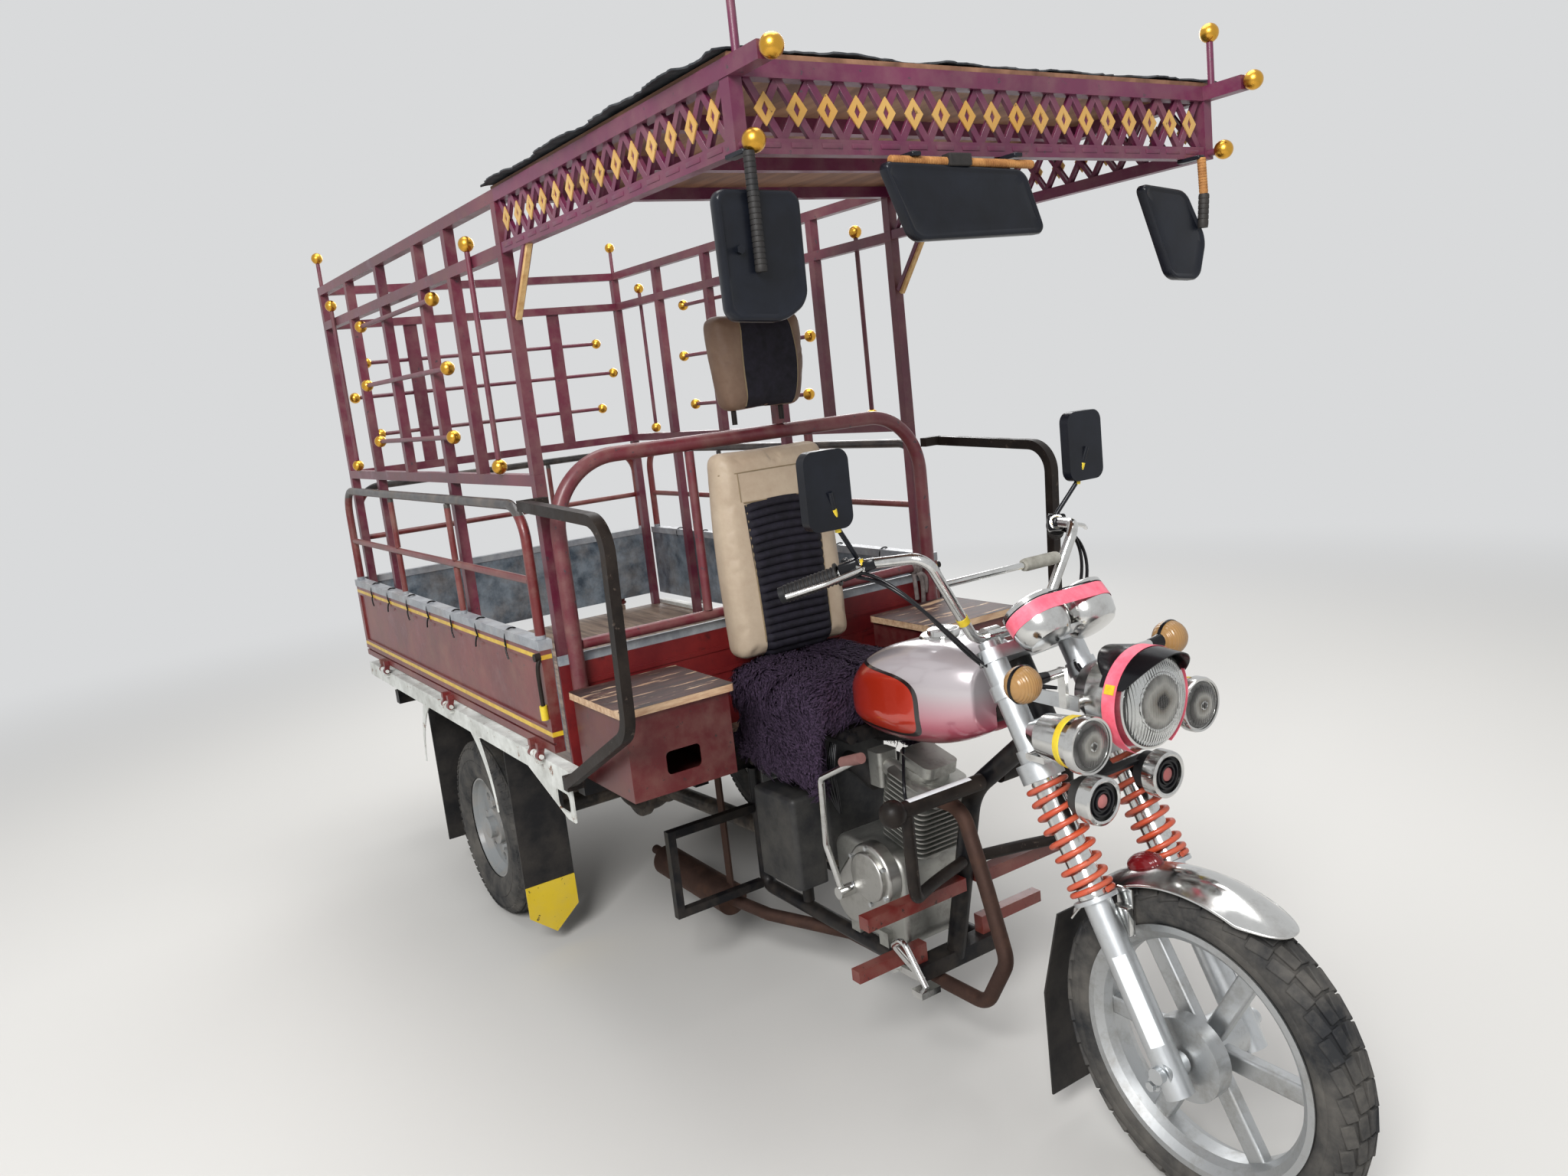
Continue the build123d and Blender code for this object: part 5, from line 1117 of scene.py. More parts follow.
def painted_reflection_dish(name, across, height, radius):
    """Vapour-plated reflector with a painted reflection: dark round the bulb, bright, then dark rings to its rim.
    """
    material, output, place = new_material(name)
    split = node(material, "ShaderNodeSeparateXYZ", {"Vector": place})
    side = node(material, "ShaderNodeMath", {0: split.outputs["Y"]}, operation="ABSOLUTE")
    off_side = node(material, "ShaderNodeMath", {0: side.outputs[0], 1: across}, operation="SUBTRACT")
    off_up = node(material, "ShaderNodeMath", {0: split.outputs["Z"], 1: height}, operation="SUBTRACT")
    off = node(material, "ShaderNodeCombineXYZ", {"Y": off_side.outputs[0], "Z": off_up.outputs[0]})
    reach = node(material, "ShaderNodeVectorMath", {0: off.outputs[0]}, operation="LENGTH")
    share = node(
        material, "ShaderNodeMapRange", {"Value": reach.outputs["Value"], "From Min": 0, "From Max": radius}
    )
    # This noise only shifts the painted reflection rings a little; it marks no stain.
    stain = node(material, "ShaderNodeTexNoise", {"Vector": place, "Scale": 34, "Detail": 4})
    uneven = node(
        material, "ShaderNodeMapRange", {"Value": stain.outputs["Fac"], "To Min": -0.16, "To Max": 0.16}
    )
    ring_place = node(
        material, "ShaderNodeMath", {0: share.outputs[0], 1: uneven.outputs[0]}, operation="ADD"
    )
    # Painted reflection: these dark and bright rings stand in for what the silver dish mirrors.
    rings = [
        (0.12, "#241f1b"),
        (0.22, "#8a8378"),
        (0.42, "#c4c1ba"),
        (0.60, "#63605c"),
        (0.78, "#2f2d2b"),
        (0.96, "#a3a19e"),
    ]
    colour = node(
        material, "ShaderNodeValToRGB", {"Fac": ring_place.outputs[0]},
        stops=[rings[0], rings[-1], *rings[1:-1]]
    )
    shader = node(
        material,
        "ShaderNodeBsdfPrincipled",
        {"Base Color": colour.outputs["Color"], "Metallic": 0.6, "Roughness": 0.3},
    )
    return close_material(material, output, shader)


def reflector(name, centres, radius, height, finish):
    """A stepped silver face on each lamp's blunt cone, with the bulb's shield at its middle."""
    shape = bmesh.new()
    steps = []
    for index, share in enumerate(stations(0.985, 0.16, 13)):
        lift = height * (1 - share) if share > 0.5 else height * (0.5 + (0.5 - share) * 0.34)
        steps.append((radius * share, lift * 1.25 + 0.0008 + 0.0006 * (index % 2)))
    top = steps[-1][1]
    shield = [(0.135, 0.0), (0.13, 0.0022), (0.10, 0.0034), (0.05, 0.0040), (0.0, 0.0042)]
    for centre in centres:
        profile = steps + [(radius * share, top + forward) for share, forward in shield]
        turn(shape, profile, centre, (1, 0, 0), 56)
    return new_piece(name, shape, "front_fork", finish)


# The head lamp's reflector takes painted reflection rings.
lamp_painted_reflection = painted_reflection_dish("head_lamp_reflector_painted_reflection", LAMP.y, LAMP.z, 0.083)
reflector("head_lamp_reflector", [LAMP], 0.083, 0.0215, lamp_painted_reflection)
PEAK_HALF_ARC = math.radians(66)
PEAK_LENGTH = 0.050
shape = bmesh.new()
peak_start = Matrix.Rotation(-PEAK_HALF_ARC, 3, "X") @ Vector((0, 0, 1))
turn(
    shape,
    [(LAMP_RADIUS - 0.004, -0.100), (LAMP_RADIUS + 0.003, -0.045), (LAMP_RADIUS + 0.0045, 0.0),
        (LAMP_RADIUS, PEAK_LENGTH)],
    LAMP,
    (1, 0, 0),
    44,
    2 * PEAK_HALF_ARC,
    peak_start,
)
for vert in shape.verts:
    from_top = abs(math.atan2(vert.co.y, vert.co.z - LAMP.z)) / PEAK_HALF_ARC
    if vert.co.x > LAMP.x + 0.01:
        vert.co.x -= PEAK_LENGTH * 0.92 * from_top**2.2
    elif vert.co.x < LAMP.x - 0.06:
        vert.co.x += 0.075 * from_top**2
bmesh.ops.solidify(shape, geom=shape.faces, thickness=0.002)
new_piece("head_lamp_peak", shape, "front_fork", gloss_black)


def lamp_band(name, finish, radius, low, high, first, last, steps):
    """A strip of tape round the head lamp between two angles from its top."""
    shape = bmesh.new()
    start = Matrix.Rotation(math.radians(first), 3, "X") @ Vector((0, 0, 1))
    turn(
        shape, [(radius, low), (radius + 0.001, high)], LAMP, (1, 0, 0), steps, math.radians(last - first),
        start
    )
    bmesh.ops.solidify(shape, geom=shape.faces, thickness=0.0006)
    return new_piece(name, shape, "front_fork", finish)


lamp_band("head_lamp_pink_tape", pink_tape, LAMP_RADIUS + 0.0062, -0.034, -0.004, -152, 152, 72)
lamp_band("head_lamp_yellow_tape", yellow_tape, LAMP_RADIUS + 0.0074, -0.030, -0.008, 62, 72, 8)
print("head lamp done")

# %% [markdown]
# ## Small lamps, signals and horns
# The two torpedo lamps get ribbed lenses and a chrome bezel, and a scrap of
# yellow tape on top. The ball signals are amber on black bases. Each horn has
# a heavy chrome ring, black rings inside it and a pink centre.

# %% Small lamps, signals and horns
SPOTS = [at(2.182, side * 0.150, 0.907) for side in (-1, 1)]
shape = bmesh.new()
for spot in SPOTS:
    turn(
        shape, [(0.0, 0.0135), (0.018, 0.0125), (0.034, 0.0085), (0.0445, 0.0020), (0.0455, 0.0)], spot,
        (1, 0, 0), 48
    )
new_piece("spot_lamp_lenses", shape, "front_fork", clear_glass)
# The spot lamps' reflectors take painted reflection rings as well.
spot_painted_reflection = painted_reflection_dish("spot_lamp_reflector_painted_reflection", abs(SPOTS[0].y), SPOTS[0].z, 0.045)
reflector("spot_lamp_reflectors", SPOTS, 0.045, 0.0075, spot_painted_reflection)
shape = bmesh.new()
for spot in SPOTS:
    turn(
        shape,
        [(0.0460, -0.001), (0.0470, 0.0045), (0.0510, 0.0050), (0.0530, 0.0), (0.0530, -0.014),
            (0.0500, -0.016)],
        spot,
        (1, 0, 0),
        56,
    )
new_piece("spot_lamp_bezels", shape, "front_fork", chrome)
shape = bmesh.new()
for spot in SPOTS:
    turn(shape, [(0.0455, -0.046), (0.0470, -0.045), (0.0482, -0.032), (0.0468, -0.031)], spot, (1, 0, 0), 48)
new_piece("spot_lamp_tape", shape, "front_fork", yellow_tape)
SIGNALS = [at(2.080, side * 0.200, 1.013) for side in (-1, 1)]
shape = bmesh.new()
for centre in SIGNALS:
    bmesh.ops.create_uvsphere(
        shape, u_segments=36, v_segments=20, radius=0.0345, matrix=Matrix.Translation(centre)
    )
new_piece("signal_lenses", shape, "front_fork", amber_glass)
shape = bmesh.new()
for centre in SIGNALS:
    inward = Vector((0, -math.copysign(1, centre.y), 0))
    turn(shape, [(0.0350, -0.004), (0.0362, 0.0), (0.0350, 0.004)], centre, (1, 0, 0), 40)
    turn(shape, [(0.0100, 0.024), (0.0150, 0.030), (0.0110, 0.046), (0.0098, 0.060)], centre, inward, 24)
new_piece("signal_bases", shape, "front_fork", gloss_black)
HORNS = [at(2.144, side * 0.090, 0.778) for side in (-1, 1)]
shape = bmesh.new()
for horn in HORNS:
    turn(
        shape,
        [(0.0350, 0.0004), (0.0360, 0.0075), (0.0400, 0.0095), (0.0450, 0.0070), (0.0462, 0.0),
            (0.0462, -0.020), (0.0442, -0.022)],
        horn,
        (1, 0, 0),
        56,
    )
new_piece("horn_chrome_rings", shape, "front_fork", chrome)
shape = bmesh.new()
for horn in HORNS:
    turn(
        shape,
        [(0.0140, 0.001), (0.0160, 0.006), (0.0190, 0.0062), (0.0205, 0.002), (0.0240, 0.002),
            (0.0255, 0.006), (0.0290, 0.006), (0.0310, 0.001)],
        horn,
        (1, 0, 0),
        48,
    )
new_piece("horn_black_rings", shape, "front_fork", gloss_black)
shape = bmesh.new()
for horn in HORNS:
    turn(shape, [(0.0, 0.0075), (0.007, 0.0068), (0.0125, 0.0040), (0.0138, 0.0005)], horn, (1, 0, 0), 32)
new_piece("horn_pink_centres", shape, "front_fork", pink_cone)
print("small lamps and horns done")

# %% [markdown]
# ## Gauges
# Speed and engine speed are shown in two chrome bowls. A band of wide pink
# tape runs round the pair. Its outline is a circle pulled apart at the middle,
# so one circle is made and its halves are moved outwards.

# %% Gauges
GAUGE = at(1.995, 0, 1.085)
GAUGE_Y = 0.062
GAUGE_RADIUS = 0.056
GAUGE_UP = Vector((-math.sin(math.radians(42)), 0, math.cos(math.radians(42))))


def gauge_belt(name, finish, radius, low, high, thickness):
    """A belt round both gauge bowls."""
    shape = bmesh.new()
    matrix = facing(GAUGE + GAUGE_UP * low, GAUGE_UP, (0, 1, 0))
    ring = bmesh.ops.create_circle(shape, segments=72, radius=radius, matrix=matrix)["verts"]
    for vert in ring:
        vert.co.y += math.copysign(GAUGE_Y, vert.co.y)
    lifted = bmesh.ops.extrude_edge_only(shape, edges=shape.edges[:])["geom"]
    for vert in [part for part in lifted if isinstance(part, bmesh.types.BMVert)]:
        vert.co += GAUGE_UP * (high - low)
    bmesh.ops.solidify(shape, geom=shape.faces, thickness=thickness)
    return new_piece(name, shape, "front_fork", finish)


shape = bmesh.new()
for side in (-1, 1):
    bowl = GAUGE + Vector((0, side * GAUGE_Y, 0))
    turn(
        shape,
        [(0.0, -0.0405), (0.026, -0.0400), (0.0415, -0.0370), (0.0500, -0.0270), (0.0545, -0.0130),
            (0.0566, 0.002)],
        bowl,
        GAUGE_UP,
        56,
    )
new_piece("gauge_bowls", shape, "front_fork", chrome)
gauge_belt("gauge_pink_tape", pink_tape, GAUGE_RADIUS + 0.0016, 0.0, 0.029, 0.0008)
gauge_belt("gauge_black_seal", gloss_black, GAUGE_RADIUS + 0.0012, 0.0305, 0.0335, 0.001)
shape = bmesh.new()
for side in (-1, 1):
    face = GAUGE + Vector((0, side * GAUGE_Y, 0)) + GAUGE_UP * 0.034
    turn(
        shape, [(0.0475, 0.0005), (0.0480, 0.0080), (0.0530, 0.0092), (0.0572, 0.0060), (0.0574, -0.002)],
        face, GAUGE_UP, 64
    )
new_piece("gauge_bezels", shape, "front_fork", chrome)
shape = bmesh.new()
for side in (-1, 1):
    face = GAUGE + Vector((0, side * GAUGE_Y, 0)) + GAUGE_UP * 0.0346
    turn(shape, [(0.0, 0.0005), (0.0470, 0.0005)], face, GAUGE_UP, 48)
new_piece("gauge_dials", shape, "front_fork", dial_black)
shape = bmesh.new()
TICKS = 11
for side in (-1, 1):
    face = GAUGE + Vector((0, side * GAUGE_Y, 0)) + GAUGE_UP * 0.0356
    for tick in range(TICKS):
        turned = Matrix.Rotation(math.radians(-130 + 260 * tick / (TICKS - 1)), 4, "Z")
        slab(
            shape, (0.0014, 0.008, 0.0004),
            facing(face, GAUGE_UP, (1, 0, 0)) @ turned @ Matrix.Translation((0, 0.039, 0)), 0.0001, 1
        )
    slab(
        shape, (0.0018, 0.034, 0.0006),
        facing(face, GAUGE_UP, (1, 0, 0)) @ Matrix.Rotation(math.radians(128), 4,
            "Z") @ Matrix.Translation((0, 0.014, 0.0008)),
        0.0002, 1
    )
new_piece("gauge_ticks", shape, "front_fork", white_tape)
shape = bmesh.new()
for side in (-1, 1):
    face = GAUGE + Vector((0, side * GAUGE_Y, 0)) + GAUGE_UP * 0.034
    turn(shape, [(0.0, 0.0072), (0.030, 0.0066), (0.0472, 0.0050)], face, GAUGE_UP, 48)
new_piece("gauge_glasses", shape, "front_fork", clear_glass)
print("gauges done")

# %% [markdown]
# ## Soft pads
# Seat, backrest and headrest are foam under a sewn cover. The cover is cut a
# little small, so the foam bulges between its seams. A pad starts as a block
# that is slightly too small, gets an even mesh, and is blown up by the cloth
# solver for twenty steps. How far a point may move is capped.

# %% Pads blown up by the cloth solver
PAD_STEPS = 20


def settle(pad):
    """Apply what the modifiers have made and take them off."""
    graph = bpy.context.evaluated_depsgraph_get()
    mesh = bpy.data.meshes.new_from_object(pad.evaluated_get(graph))
    pad.modifiers.clear()
    pad.data = mesh


def swollen(name, shape, voxel, cap, warp, finish, stands_for):
    """A sewn pad that stands for a node: remeshed, bent by warp and blown up."""
    pad = new_piece(name, shape, "chassis", finish, [stands_for], 180)
    remesh = pad.modifiers.new("Even mesh", "REMESH")
    remesh.mode = "VOXEL"
    remesh.voxel_size = voxel
    settle(pad)
    for vert in pad.data.vertices:
        vert.co = warp(vert.co)
    before = [vert.co.copy() for vert in pad.data.vertices]
    cloth = pad.modifiers.new("Cloth", "CLOTH")
    cloth.settings.use_pressure = True
    cloth.settings.uniform_pressure_force = 4
    cloth.settings.effector_weights.gravity = 0
    for step in range(1, PAD_STEPS + 1):
        bpy.context.scene.frame_set(step)
    settle(pad)
    bpy.context.scene.frame_set(1)
    for vert, place in zip(pad.data.vertices, before):
        moved = vert.co - place
        if moved.length > cap:
            vert.co = place + moved.normalized() * cap
    smooth = pad.modifiers.new("Smooth", "SUBSURF")
    smooth.levels = smooth.render_levels = 1
    settle(pad)
    pad.data.materials.clear()
    pad.data.materials.append(finish)
    pad.data.shade_smooth()
    return pad


def on_front(pad, y, z, lift):
    """The point of a pad's front at a height and a place across, lifted off by a little."""
    hit, place, normal, _ = pad.ray_cast(Vector((REAR_X + 1.6, y, z)), Vector((-1, 0, 0)))
    return place + normal * lift if hit else Vector((REAR_X + 1.0, y, z))


def seam(shape, pad, places, radius=0.0016):
    """A sewn seam with a fine cord in it, laid on a pad's front."""
    wire(shape, [on_front(pad, y, z, radius * 0.3) for y, z in places], radius, sides=1)


# %% Backrest
BACK_LOW, BACK_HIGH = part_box("backrest")
BACK_HALF = 0.190
INSERT_HALF = 0.100
INSERT_TOP = 1.285
RIBS = 19


def lean_back(place):
    """Lean the backrest, and draw its top in like a car seat's."""
    rise = (place.z - BACK_LOW.z) / (BACK_HIGH.z - BACK_LOW.z)
    rise = min(1, max(0, rise))
    narrow = 1 - 0.13 * rise**3 - 0.05 * (1 - rise) ** 3
    thick = 0.010 * math.cos(math.pi * (place.y / BACK_HALF) * 0.5)
    forward = thick if place.x > REAR_X + 1.0 else 0
    return Vector((place.x + 0.014 - 0.030 * rise + forward, place.y * narrow, place.z))


shape = bmesh.new()
slab(
    shape,
    (0.074, 2 * BACK_HALF, BACK_HIGH.z - BACK_LOW.z - 0.006),
    Matrix.Translation((REAR_X + 1.006, 0, (BACK_LOW.z + BACK_HIGH.z) / 2)),
    0.028,
    4,
)
backrest = swollen(
    "backrest_pad", shape, 0.006, 0.009, lean_back, finishes["beige_vinyl"], "backrest"
)
shape = bmesh.new()
bmesh.ops.create_grid(shape, x_segments=26, y_segments=RIBS * 8, size=1)
for vert in shape.verts:
    across, up = vert.co.x, (vert.co.y + 1) / 2
    z = BACK_LOW.z + 0.004 + up * (INSERT_TOP - BACK_LOW.z + 0.010 * (1 - across**2))
    edge = min(1, (1 - abs(across)) * 6, (1 - up) * 30 + 0.1)
    rib = abs(math.sin(math.pi * RIBS * up)) ** 0.6
    vert.co = on_front(backrest, across * (INSERT_HALF + 0.012 * up), z, 0.0015 + 0.0085 * rib * edge)
ribbed_cloth = moulded("black_ribbed_cloth", "#0e0c14", "#221f2b", 0.75, 500, 0.5, 0.7, 40)
new_piece("backrest_black_ribs", shape, "chassis", ribbed_cloth, angle=60)
shape = bmesh.new()
seam(shape, backrest, [(y, 1.372 - 0.10 * y * y) for y in stations(-0.160, 0.160, 12)])
for side in (-1, 1):
    seam(shape, backrest, [(side * 0.118, z) for z in stations(1.298, 1.371, 5)])
    seam(
        shape, backrest, [(side * (0.102 + 0.012 * (z - 0.9)), z) for z in stations(0.900, 1.290, 14)],
        0.0022
    )
seam(shape, backrest, [(y, INSERT_TOP + 0.010) for y in stations(-0.112, 0.112, 8)], 0.0022)
seam_finish = moulded("vinyl_seam", "#7c6c54", "#9a8a6e", 0.7)
new_piece("backrest_seams", shape, "chassis", seam_finish)

# %% Headrest
HEAD_LOW, HEAD_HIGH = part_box("headrest")
HEAD_PAD_LOW = HEAD_LOW.z + 0.028
HEAD_MIDDLE_Y = (HEAD_LOW.y + HEAD_HIGH.y) / 2


def narrow_below(place):
    """Draw the headrest in towards its lower edge."""
    rise = min(1, max(0, (place.z - HEAD_PAD_LOW) / (HEAD_HIGH.z - HEAD_PAD_LOW)))
    narrow = 1 - 0.20 * (1 - rise) ** 2 - 0.06 * rise**4
    bulge = 0.012 * math.sin(math.pi * rise) if place.x > (HEAD_LOW.x + HEAD_HIGH.x) / 2 else 0
    return Vector((place.x + bulge - 0.004, HEAD_MIDDLE_Y + (place.y - HEAD_MIDDLE_Y) * narrow, place.z))


shape = bmesh.new()
slab(
    shape,
    (HEAD_HIGH.x - HEAD_LOW.x - 0.016, HEAD_HIGH.y - HEAD_LOW.y - 0.012, HEAD_HIGH.z - HEAD_PAD_LOW - 0.010),
    Matrix.Translation(((HEAD_LOW.x + HEAD_HIGH.x) / 2, HEAD_MIDDLE_Y, (HEAD_PAD_LOW + HEAD_HIGH.z) / 2)),
    0.026,
    4,
)
headrest = swollen(
    "headrest_pad", shape, 0.005, 0.007, narrow_below, finishes["brown_vinyl"], "headrest"
)
shape = bmesh.new()
bmesh.ops.create_grid(shape, x_segments=24, y_segments=40, size=1)
for vert in shape.verts:
    across, up = vert.co.x, (vert.co.y + 1) / 2
    z = HEAD_PAD_LOW + 0.012 + up * (HEAD_HIGH.z - HEAD_PAD_LOW - 0.030)
    half = 0.070 + 0.010 * math.sin(math.pi * up)
    vert.co = on_front(headrest, HEAD_MIDDLE_Y + 0.012 + across * half, z, 0.0012)
new_piece("headrest_black_front", shape, "chassis", ribbed_cloth, angle=60)
shape = bmesh.new()
for side in (-1, 1):
    line = [
        (HEAD_MIDDLE_Y + 0.012 + side * (0.071 + 0.010 * math.sin(math.pi * up)),
            up) for up in stations(0.02, 0.98, 12)
    ]
    seam(
        shape, headrest,
        [(y, HEAD_PAD_LOW + 0.012 + up * (HEAD_HIGH.z - HEAD_PAD_LOW - 0.030)) for y, up in line], 0.002
    )
new_piece("headrest_piping", shape, "chassis", seam_finish)
shape = bmesh.new()
for y in (-0.075, 0.068):
    rod(shape, at(0.990, y, 1.488), at(0.990, y, 1.530), 0.007)
new_piece("headrest_pegs", shape, "chassis", finishes["black_bar_paint"])
print("backrest and headrest:", len(backrest.data.polygons), len(headrest.data.polygons), "faces")

# %% [markdown]
# ## Seat under a shaggy cover
# A long-pile cover lies over the saddle and hangs down both sides. The pad and
# its two flaps are one soft form, and the pile is some thousands of narrow
# bent tufts, set by a seeded draw and combed down the sides.

# %% Seat and its pile
SEAT_LOW, SEAT_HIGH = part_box("seat_cushion")
SEAT_FLOOR = 0.759
SEAT_MIDDLE_X = (SEAT_LOW.x + SEAT_HIGH.x) / 2
SEAT_HALF_LENGTH = (SEAT_HIGH.x - SEAT_LOW.x) / 2
TUFTS = 15000
TUFT_LENGTH = 0.034
TUFT_WIDTH = 0.0021


def saddle(place):
    """Round the saddle's top across and narrow it towards the tank."""
    along = (place.x - SEAT_MIDDLE_X) / SEAT_HALF_LENGTH
    across = place.y / SEAT_HIGH.y
    drop = 0.020 * across**4 + 0.010 * max(0, along) ** 2 if place.z > 0.82 else 0
    narrow = 1 - 0.10 * max(0, along) ** 2
    ragged = 0
    if place.z < 0.70:
        ragged = 0.030 * (1 - along) * 0.5 + 0.006 * math.sin(31 * place.x)
    return Vector((place.x, place.y * narrow, place.z - drop + ragged * (0.70 - place.z) / 0.09))


shape = bmesh.new()
slab(
    shape,
    (2 * SEAT_HALF_LENGTH - 0.014, 2 * SEAT_HIGH.y - 0.014, SEAT_HIGH.z - SEAT_FLOOR - 0.008),
    Matrix.Translation((SEAT_MIDDLE_X, 0, (SEAT_HIGH.z + SEAT_FLOOR) / 2 - 0.002)),
    0.034,
    4,
)
for side in (-1, 1):
    slab(
        shape,
        (2 * SEAT_HALF_LENGTH - 0.070, 0.020, 0.190),
        Matrix.Translation((SEAT_MIDDLE_X + 0.010, side * 0.176, SEAT_LOW.z + 0.098)),
        0.008,
        2,
    )
fur = moulded("purple_long_pile", "#0d0911", "#4a3b50", 0.9, 400, 0.3, 1.0, 190, 0.15)
seat = swollen("seat_fur_pad", shape, 0.006, 0.006, saddle, fur, "seat_cushion")
draw = random.Random(7)
faces = [face for face in seat.data.polygons if face.normal.z > -0.3]
shape = bmesh.new()
for _ in range(TUFTS):
    face = draw.choice(faces)
    normal = face.normal.copy()
    root = face.center - normal * 0.001
    flow = Vector(
        (math.sin(9 * root.x + 5 * root.z), 0.6 * math.copysign(1, root.y), -0.9 * (1 - abs(normal.z)))
    )
    lock = noise.noise_vector(root * 19)
    flow += Vector((draw.uniform(-0.3, 0.3), draw.uniform(-0.3, 0.3), draw.uniform(-0.3, 0.1))) + 1.5 * lock
    flow -= normal * flow.dot(normal)
    flow.normalize()
    across = normal.cross(flow) * TUFT_WIDTH * draw.uniform(0.7, 1.3)
    reach = TUFT_LENGTH * draw.uniform(0.6, 1.15)
    curl = normal.cross(flow) * reach * draw.uniform(-0.35, 0.35)
    rows = []
    for along, wide, high in ((0, 1, 0), (0.35, 1, 0.24), (0.7, 0.8, 0.26), (1, 0.25, 0.14)):
        middle = root + flow * reach * along + normal * reach * high + curl * along**2
        rows.append([shape.verts.new(middle + across * wide), shape.verts.new(middle - across * wide)])
    for low, high in zip(rows, rows[1:]):
        shape.faces.new((low[0], low[1], high[1], high[0]))
pile = new_piece("seat_fur_pile", shape, "chassis", fur, angle=80)
print("seat pile:", len(pile.data.polygons), "faces")

# %% [markdown]
# ## Handlebar fittings
# Switch boxes clamp round the bar beside each grip, with yellow tape where the
# rider has tied the cables. Grips have rings of ribs. A pale foam sleeve sits
# on the cross brace. The control cables run along the bar and go down behind
# the gauges.

# %% Switches, grips, foam, cables and mirror parts
BAR_ROUTE = [
    at(1.842, 0.092, 1.040), at(1.850, 0.205, 1.228), at(1.738, 0.268, 1.217), at(1.618, 0.386, 1.168)
]


def mirrored(place, side):
    return Vector((place.x, side * place.y, place.z))


shape = bmesh.new()
rings = bmesh.new()
belts = bmesh.new()
sleeves = bmesh.new()
cables = bmesh.new()
for side in (-1, 1):
    inner, outer = mirrored(BAR_ROUTE[2], side), mirrored(BAR_ROUTE[3], side)
    way = (outer - inner).normalized()
    switch = inner + way * 0.028
    slab(shape, (0.040, 0.036, 0.044), facing(switch + Vector((0, 0, 0.001)), way), 0.006, 3)
    slab(
        shape, (0.030, 0.022, 0.026), facing(switch - way * 0.036 + Vector((0.006, 0, -0.002)), way), 0.005,
        2
    )
    slab(shape, (0.012, 0.014, 0.014), facing(switch + Vector((-0.018, 0, 0.014)), way), 0.003, 2)
    for ring in range(13):
        turn(
            rings, [(0.0168, 0.0), (0.0186, 0.0015), (0.0186, 0.0035), (0.0168, 0.0050)],
            outer - way * (0.112 - 0.0085 * ring), way, 28
        )
    turn(
        rings, [(0.0168, 0.0), (0.0235, 0.001), (0.0235, 0.005), (0.0168, 0.006)], outer - way * 0.121, way,
        28
    )
    turn(
        belts, [(0.0118, 0.0), (0.0130, 0.001), (0.0130, 0.030), (0.0118, 0.031)], inner - way * 0.002, way,
        24
    )
    riser = (mirrored(BAR_ROUTE[1], side) - mirrored(BAR_ROUTE[0], side)).normalized()
    turn(
        belts, [(0.0116, 0.0), (0.0124, 0.001), (0.0124, 0.016), (0.0116, 0.017)],
        mirrored(BAR_ROUTE[0], side) + riser * 0.045, riser, 24
    )
    for bottom, top in (
        (at(1.7475, 0.329, 1.292), at(1.7485, 0.3305, 1.306)),
        (at(1.7525, 0.336, 1.322), at(1.7555, 0.3405, 1.338))
    ):
        rod(belts, mirrored(bottom, side), mirrored(top, side), 0.0064, 16)
    for lift, swing in ((0.0, 0.0), (0.010, 0.014)):
        wire(
            cables,
            [
                switch + Vector((0.016, 0, -0.004 - lift)),
                switch + Vector((0.052 + swing, -side * 0.012, -0.006 - lift)),
                mirrored(at(1.838 + swing, 0.236, 1.150 - lift), side),
                mirrored(at(1.868 + swing, 0.180, 1.070), side),
                mirrored(at(1.900 + swing, 0.128, 1.000), side),
                mirrored(at(1.944, 0.080 - swing, 0.960), side),
                mirrored(at(2.010, 0.045, 0.958), side),
            ],
            0.0036,
        )
new_piece("bar_switch_boxes", shape, "front_fork", gloss_black)
new_piece("grip_ribs", rings, "front_fork", finishes["black_rubber"])
new_piece("bar_yellow_tapes", belts, "front_fork", yellow_tape)
new_piece("control_cables", cables, "front_fork", gloss_black)
turn(
    sleeves,
    [(0.0072, 0.0), (0.0125, 0.002), (0.0135, 0.010), (0.0135, 0.090), (0.0120, 0.098), (0.0072, 0.100)],
    at(1.846, 0.050, 1.166), (0, 1, 0), 32
)
new_piece("brace_foam_sleeve", sleeves, "front_fork", foam_grey)
shape = bmesh.new()
for side in (-1, 1):
    slab(shape, (0.0016, 0.090, 0.136), Matrix.Translation(at(1.7345, side * 0.350, 1.375)), 0.0007, 1)
new_piece("bar_mirror_glass", shape, "front_fork", mirror_glass)
print("handlebar fittings done")

# %% [markdown]
# ## Engine dressing
# Hexagon bolts hold the side covers. A rubber intake leads from the
# carburettor to the air box under the seat, a plug lead crosses the fins, and
# loose wires are bundled behind the kick lever. The kick lever ends in a worn
# rubber.

# %% Bolts, air box, hose and leads
shape = bmesh.new()
ENGINE_COVER_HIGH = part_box("engine_covers")[1]
ROUND_COVER = at(1.458, 0, 0.430)
BOLT_CIRCLE = 0.070
for side in (-1, 1):
    for bolt in range(6):
        turned = math.radians(30 + 60 * bolt)
        out = side * (ENGINE_COVER_HIGH.y - 0.018)
        seat_point = ROUND_COVER + Vector(
            (BOLT_CIRCLE * math.cos(turned), out, BOLT_CIRCLE * math.sin(turned))
        )
        rod(shape, seat_point, seat_point + Vector((0, side * 0.014, 0)), 0.006, 6)
new_piece("cover_bolts", shape, "chassis", finishes["fork_silver"])
shape = bmesh.new()
slab(shape, (0.105, 0.205, 0.350), Matrix.Translation(at(1.205, 0, 0.565)), 0.014, 3)
new_piece("air_box", shape, "chassis", finishes["black_plastic"])
shape = bmesh.new()
